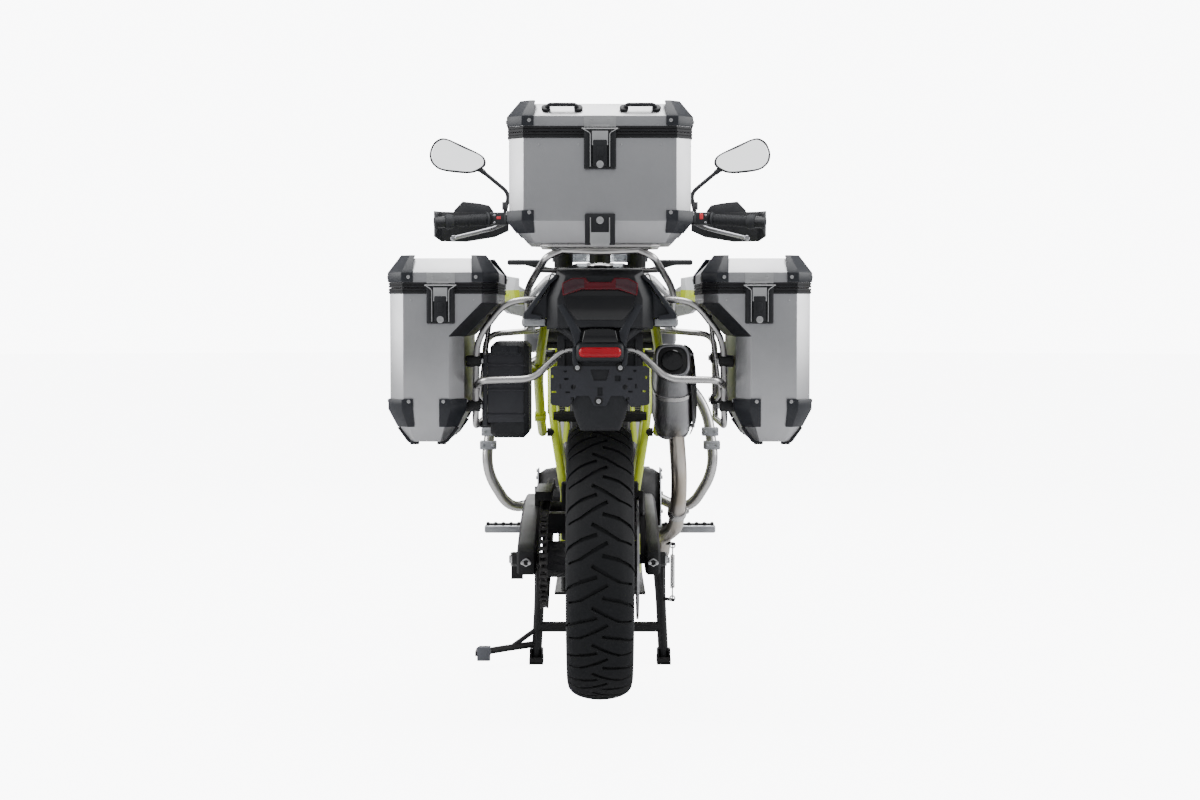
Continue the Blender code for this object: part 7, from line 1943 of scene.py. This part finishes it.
@dataclass
class FrontEnd:
    """The fork, headlamp, beak, screen, shrouds and mudguard."""

    leg_x: float = 0.105
    lead: float = 0.04

    def along_leg(self, side: int, up: float) -> Vector:
        """A place on a fork leg at a distance up the steering axis."""
        foot = STEER_FOOT + vec(side * self.leg_x)
        return foot + STEER_FORWARD * self.lead + STEER_UP * up

    def build(self) -> None:
        """Makes the front end."""
        refined("front_fork", "steering", BLACK_PAINT, 0.0012, 35.0)
        low = 0.955 / STEER_UP.z
        legs, seals, caps, lowers = [], [], [], []
        for side in (-1, 1):
            foot, joint, top, cap = [self.along_leg(side, up)
                for up in (0.395, low - 0.33, low - 0.037, 1.115 / STEER_UP.z + 0.04)]
            legs.append(bar(joint, top, 0.0272, 40, 0.002))
            lowers.append(bar(foot, joint - STEER_UP * 0.004, 0.0218, 40, 0.002))
            seals.append(bar(joint - STEER_UP * 0.012, joint + STEER_UP * 0.004, 0.029, 40, 0.003))
            caps.append(bar(cap, cap + STEER_UP * 0.01, 0.018, 6, 0.002))
            caps.append(bar(cap + STEER_UP * 0.008, cap + STEER_UP * 0.014, 0.008, 20, 0.0012))
        placed(legs, "fork_upper_tubes", "steering", BLACK_PAINT, smooth=45.0)
        placed(lowers, "fork_lower_tubes", "steering", FORK, smooth=45.0)
        placed(seals, "fork_seals", "steering", SEAL, smooth=45.0)
        placed(caps, "fork_caps", "steering", STEEL)
        for node, body, finish, bevel, smooth in (("front_mudguard", "steering", PLASTIC, 0.0015, 40.0),
                ("headlamp", "root", PLASTIC, 0.002, 35.0), ("front_beak", "root", PLASTIC, 0.0025, 40.0),
                ("windscreen", "root", SCREEN, 0.0, 50.0), ("left_shroud", "root", SHROUD, 0.003, 40.0),
                ("right_shroud", "root", SHROUD, 0.003, 40.0)):
            refined(node, body, finish, bevel, smooth)
        self.lens()
        self.stripes()

    def lens(self) -> None:
        """The headlamp's clear front with two lamps behind it."""
        refined("headlamp_lens", "root", LENS, 0.003, 35.0)
        rings = []
        for side in (-1, 1):
            centre = vec(side * 0.04, 0.63, 0.9995)
            rings.append(turned([(0.02, -0.004), (0.0245, -0.004), (0.0245, 0.004), (0.0215, 0.005)],
                centre, 40, "Y"))
        placed(rings, "headlamp_rings", "root", STEEL)

    def stripes(self) -> None:
        """The lime stripe on each shroud."""
        made = []
        for name, side in SIDES:
            low, high = node_box(f"{name}_shroud")
            x, middle = max(abs(low.x), abs(high.x)) + 0.0006, (low.z + high.z) / 2
            rear = vec(side * x, low.y + 0.1, middle + 0.01)
            front = vec(side * x, high.y - 0.24, middle - 0.004)
            spot = (rear + front) / 2 - vec(side * 0.004)
            made.append(block((0.003, (front - rear).length, 0.012), spot, 0.001, (4.0, 0.0, 0.0)))
        placed(made, "shroud_stripes", "root", LIME_DECAL)


@dataclass
class Seats:
    """The padded rider's and passenger's seats, and the tank."""

    rider: tuple = ((0.2102, 0.74, 0.85, 0.925), (0.235, 0.76, 0.838, 0.89), (0.33, 0.76, 0.817, 0.872),
        (0.395, 0.66, 0.815, 0.868), (0.418, 0.5, 0.845, 0.868))
    pillion: tuple = ((-0.06, 0.48, 0.95, 0.99), (-0.045, 0.58, 0.94, 1.005), (0.08, 0.66, 0.9, 0.985),
        (0.195, 0.7, 0.86, 0.955), (0.21, 0.64, 0.86, 0.935))
    rows_between: int = 6
    voxel: float = 0.006
    frames: int = 16
    most_move: float = 0.005
    held: float = 0.008
    easing: float = 0.03

    def cushion(self, table: tuple) -> Thing:
        """A closed cushion through crowned sections with a fine even skin."""
        rings = []
        dense = []
        for a, b in zip(table, table[1:]):
            for step in range(self.rows_between):
                t = step / self.rows_between
                dense.append(tuple(p + (q - p) * t for p, q in zip(a, b)))
        dense.append(table[-1])
        for along, half, low, high in dense:
            y = share_y(along)
            w, h = half * HALF_WIDTH - 0.003, high - low - 0.0045
            section = [(1.0, 0.0), (1.0, 0.3), (1.0, 0.55), (0.965, 0.78), (0.86, 0.94), (0.62, 0.992),
                (0.32, 1.0), (0.0, 1.0)]
            ring = [vec(w * x, y, low + h * z) for x, z in section]
            ring += [vec(-p.x, p.y, p.z) for p in ring[-2::-1]]
            ring += [vec(w * x, y, low) for x in (-0.66, -0.33, 0.0, 0.33, 0.66)]
            rings.append(ring)
        return lofted(rings)

    def swollen(self, made: Thing) -> Thing:
        """Fills a cushion with pressure and keeps its skin near the shape it started from.

        Args:
            made: the closed cushion, a little smaller than it ends.

        Returns:
            The same object with its skin settled.
        """
        apply_modifier(made, "REMESH", mode="VOXEL", voxel_size=self.voxel)
        start = [vert.co.copy() for vert in made.data.vertices]
        floor = min(spot.z for spot in start)
        cloth = made.modifiers.new("filling", "CLOTH")
        for option, value in FILLING.items():
            setattr(cloth.settings, option, value)
        cloth.settings.effector_weights.gravity = 0.0
        cloth.point_cache.frame_start, cloth.point_cache.frame_end = 1, self.frames
        scene = bpy.context.scene
        for frame in range(1, self.frames + 1):
            scene.frame_set(frame)
        settled = made.evaluated_get(bpy.context.evaluated_depsgraph_get())
        ends = [vert.co.copy() for vert in settled.data.vertices]
        made.modifiers.remove(cloth)
        scene.frame_set(1)
        for vert, first, last in zip(made.data.vertices, start, ends):
            move = last - first
            loose = min(1.0, max(0.0, (first.z - floor - self.held) / self.easing))
            far = min(move.length, self.most_move * loose)
            vert.co = first + (move.normalized() * far if move.length > 1e-6 else move)
        made.data.update()
        apply_modifier(made, "SMOOTH", factor=0.5, iterations=4)
        apply_modifier(made, "SUBSURF", levels=1, render_levels=1)
        return made

    def build(self) -> None:
        """Makes both cushions with their seams, and the finer tank."""
        for name, table in (("rider_seat", self.rider), ("pillion_seat", self.pillion)):
            made = self.swollen(self.cushion(table))
            placed(made, f"{name}.fine", "root", VINYL, (name,), 60.0)
            path = [vec(half * HALF_WIDTH * 0.935 + 0.0008, share_y(along), low + (high - low) * 0.87)
                for along, half, low, high in table]
            seams = [pipe([vec(side * p.x, p.y, p.z) for p in path], 0.0016, 0.03, 2) for side in (-1, 1)]
            placed(seams, f"{name}_piping", "root", SEAL, smooth=50.0)
        tank = refined("fuel_tank", "root", BLACK_PAINT, 0.006, 50.0)
        tank.data.materials.clear()
        tank.data.materials.append(GLOSS_BLACK.material())
        y, ring = share_y(0.585), 0.028
        cap = [turned([(0.0005, 0.0), (0.036, 0.0), (0.036, 0.003), (0.032, 0.006), (0.0005, 0.006)],
            vec(0.0, y, 1.035), 56, "Z"), block((0.016, 0.028, 0.004), (0.0, y, 1.0425), 0.0012)]
        for step in range(6):
            angle = math.tau * step / 6
            foot = vec(ring * math.cos(angle), y + ring * math.sin(angle), 1.04)
            cap.append(bar(foot, foot + vec(0, 0, 0.0028), 0.0028, 12, 0.0006))
        placed(cap, "tank_filler_cap", "root", STEEL)


@dataclass
class Underside:
    """The stands, the swingarm, the shock, the pegs and the tool box."""

    stand_tube: float = 0.0133

    def build(self) -> None:
        """Makes the lower parts."""
        self.stand()
        self.spring()
        self.arm()
        refined("rear_shock", "root", BLACK_PAINT, 0.0, 40.0)
        self.pegs()
        self.tool_box()

    def stand(self) -> None:
        """The centre stand's round tubes, feet and pedal."""
        dressed("centre_stand", BLACK_PAINT)
        dressed("side_stand", BLACK_PAINT)
        tubes, pads = [], []
        for side in (-1, 1):
            knee, foot = [vec(side * p.x, p.y, p.z) for p in share_path(
                ((0.78, 0.356, 0.18), (0.825, 0.368, 0.015)))]
            tubes.append(pipe([vec(side * 0.148, share_y(0.35), 0.262), knee, foot], self.stand_tube, 0.03,
                5))
            pads.append(block((0.034, 0.07, 0.009), (foot.x, foot.y, 0.005), 0.0024))
            pads += [block((0.005, 0.04, 0.032), (foot.x + out, foot.y, 0.021), 0.0016)
                for out in (-0.015, 0.015)]
        tubes.append(pipe([vec(x, share_y(0.361), 0.095) for x in (-0.16, 0.16)], self.stand_tube, 0.01, 5))
        lever = share_path(((-0.8, 0.366, 0.05), (-1.15, 0.35, 0.044), (-1.5, 0.32, 0.04)))
        tubes.append(pipe(lever, 0.0078, 0.02, 4))
        placed(tubes, "stand_tubes", "centre_stand", BLACK_PAINT, smooth=50.0)
        placed(pads, "stand_pads", "centre_stand", BLACK_PAINT)
        x, y, z = lever[-1] + vec(0.004)
        tread = [block((0.034, 0.06, 0.014), (x, y, z + 0.002), 0.003, (-14.0, 0.0, 0.0)),
            block((0.034, 0.01, 0.036), (x, y - 0.029, z), 0.0026)]
        tread += [block((0.03, 0.005, 0.004), (x, y - 0.014 + step * 0.012, z + 0.0105), 0.001)
            for step in range(4)]
        placed(tread, "stand_pedal", "centre_stand", PEDAL)

    def spring(self) -> None:
        """The centre stand's return spring, wound round the line between its two hooks."""
        top, low = vec(0.186, share_y(0.352) - 0.034, 0.316), vec(0.186, share_y(0.36) - 0.034, 0.17)
        run = (low - top).normalized()
        side = vec(0.0, 1.0).cross(run).normalized()
        other = run.cross(side)
        turns, steps, coil = 24, 10, []
        for step in range(turns * steps + 1):
            angle = math.tau * step / steps
            out = (side * math.cos(angle) + other * math.sin(angle)) * 0.0046
            coil.append(top.lerp(low, 0.2 + 0.58 * step / (turns * steps)) + out)
        eye = [(0.0046, -0.0016), (0.0082, -0.0016), (0.0082, 0.0016), (0.0046, 0.0016)]
        parts = [pipe(coil, 0.0017, 0.0001, 2), bar(top, top.lerp(low, 0.22), 0.0019, 12),
            bar(top.lerp(low, 0.76), low, 0.0019, 12), turned(eye, top + vec(0, 0, -0.004), 20, "Y"),
            turned(eye, low + vec(0, 0, 0.004), 20, "Y")]
        placed(parts, "stand_spring", "root", BOLT, smooth=60.0)
        hanger = [bar(spot + vec(-0.026, 0.03), spot + vec(0.004, -0.003), 0.0044, 16, 0.0008)
            for spot in (top, low)]
        placed(hanger, "stand_spring_hanger", "root", BLACK_PAINT)

    def arm(self) -> None:
        """The swingarm's castings, the chain adjusters and the axle's ends."""
        refined("swingarm", "root", BLACK_PAINT, 0.0025, 40.0)
        parts, z, axle = [], REAR_AXLE.z, REAR_AXLE.y
        for x, side, inset in ((-0.19, -1, 0.022), (0.138, 1, -0.017)):
            middle, out = x + inset, x + side * 0.004
            rows = [((middle + step, -0.848), (middle + step, -0.868), 0.004, 12, 0.0006)
                for step in (-0.008, 0.008)]
            rows += [((middle, -0.845), (middle, -0.856), 0.01, 6, 0.001),
                ((out, axle), (out + side * 0.012, axle), 0.0165, 6, 0.0014),
                ((out, axle), (out + side * 0.0155, axle), 0.0095, 20, 0.0014)]
            parts += [bar((*low, z), (*high, z), radius, sides, bevel)
                for low, high, radius, sides, bevel in rows]
        placed(parts, "axle_adjusters", "root", BOLT)

    def pegs(self) -> None:
        """The foot pegs with serrated rubber pads."""
        for name, side in SIDES:
            refined(f"{name}_foot_peg", "root", CAST, 0.0015, 35.0)
            low, high = node_box(f"{name}_foot_peg")
            inner, outer = (low.x, high.x) if side > 0 else (high.x, low.x)
            deep, middle = high.y - low.y, (low.y + high.y) / 2
            teeth = [block((0.008, deep * 0.86, 0.009),
                (inner + (outer - inner) * (0.36 + 0.6 * step / 6), middle, high.z + 0.002), 0.002)
                for step in range(7)]
            teeth.append(block((abs(outer - inner) * 0.66, deep * 0.7, 0.006),
                (inner + (outer - inner) * 0.64, middle, high.z + 0.001), 0.0015))
            placed(teeth, f"{name}_peg_teeth", "root", HOSE)

    def tool_box(self) -> None:
        """The tool box under the left case with its ribs and lock."""
        refined("tool_box", "root", PLASTIC, 0.004, 35.0)
        low, high = node_box("tool_box")
        wide, mid = high.x - low.x, (low.x + high.x) / 2 + 0.006
        shift = low.z + 0.192
        made = [block((wide * 0.7, 0.006, 0.15), (mid, low.y + 0.001, low.z + 0.11), 0.002),
            block((wide * 0.62, 0.006, high.z - 0.036 - shift),
            (mid, low.y + 0.0014, (high.z - 0.036 + shift) / 2), 0.002)]
        made += [block((wide * 0.76, 0.007, 0.005), (mid, low.y - 0.0006, low.z + rise), 0.0014)
            for rise in (0.052, 0.108, 0.164)]
        made.append(block((0.01, 0.007, (high.z - low.z) * 0.74),
            (low.x + 0.018, low.y + 0.0004, (low.z + high.z) / 2), 0.002))
        placed(made, "tool_box_panel", "root", BRACKET, smooth=40.0)
        latch = [block((0.06, 0.008, 0.022), (mid, low.y - 0.001, high.z - 0.018), 0.0026),
            bar((mid, low.y - 0.003, high.z - 0.018), (mid, low.y - 0.0075, high.z - 0.018), 0.007, 24,
            0.001)]
        placed(latch, "tool_box_latch", "root", CAP_PLASTIC, smooth=40.0)


def main() -> None:
    """Builds every piece in order."""
    logging.basicConfig(level=logging.INFO, format="%(name)s: %(message)s")
    studio = Studio()
    studio.camera()
    studio.floor()
    studio.lights()
    Luggage().build()
    Racks().build()
    FrameTubes().build()
    TreadedTyre("rear_tyre.fine", "rear_tyre", "rear_wheel", REAR_AXLE, 0.321, 0.075, 0.2159, 22).build()
    TreadedTyre("front_tyre.fine", "front_tyre", "front_wheel", FRONT_AXLE, 0.348, 0.046, 0.2667, 26,
        groove_depth=0.005, groove_width=0.007).build()
    WireWheel("rear_wire_wheel", "rear_wheel", REAR_AXLE, 0.196, (0, 0.086), 0.104, 0.138, 0.06,
        -0.118).build()
    WireWheel("front_wire_wheel", "front_wheel", FRONT_AXLE, 0.247, (1, 0.062), 0.118, 0.1525,
        0.042).build()
    DriveChain().build()
    Tail().build()
    Muffler().build()
    Headers().build()
    Bars().build()
    Engine().build()
    FrontEnd().build()
    Seats().build()
    Underside().build()


if __name__ == "__main__":
    main()
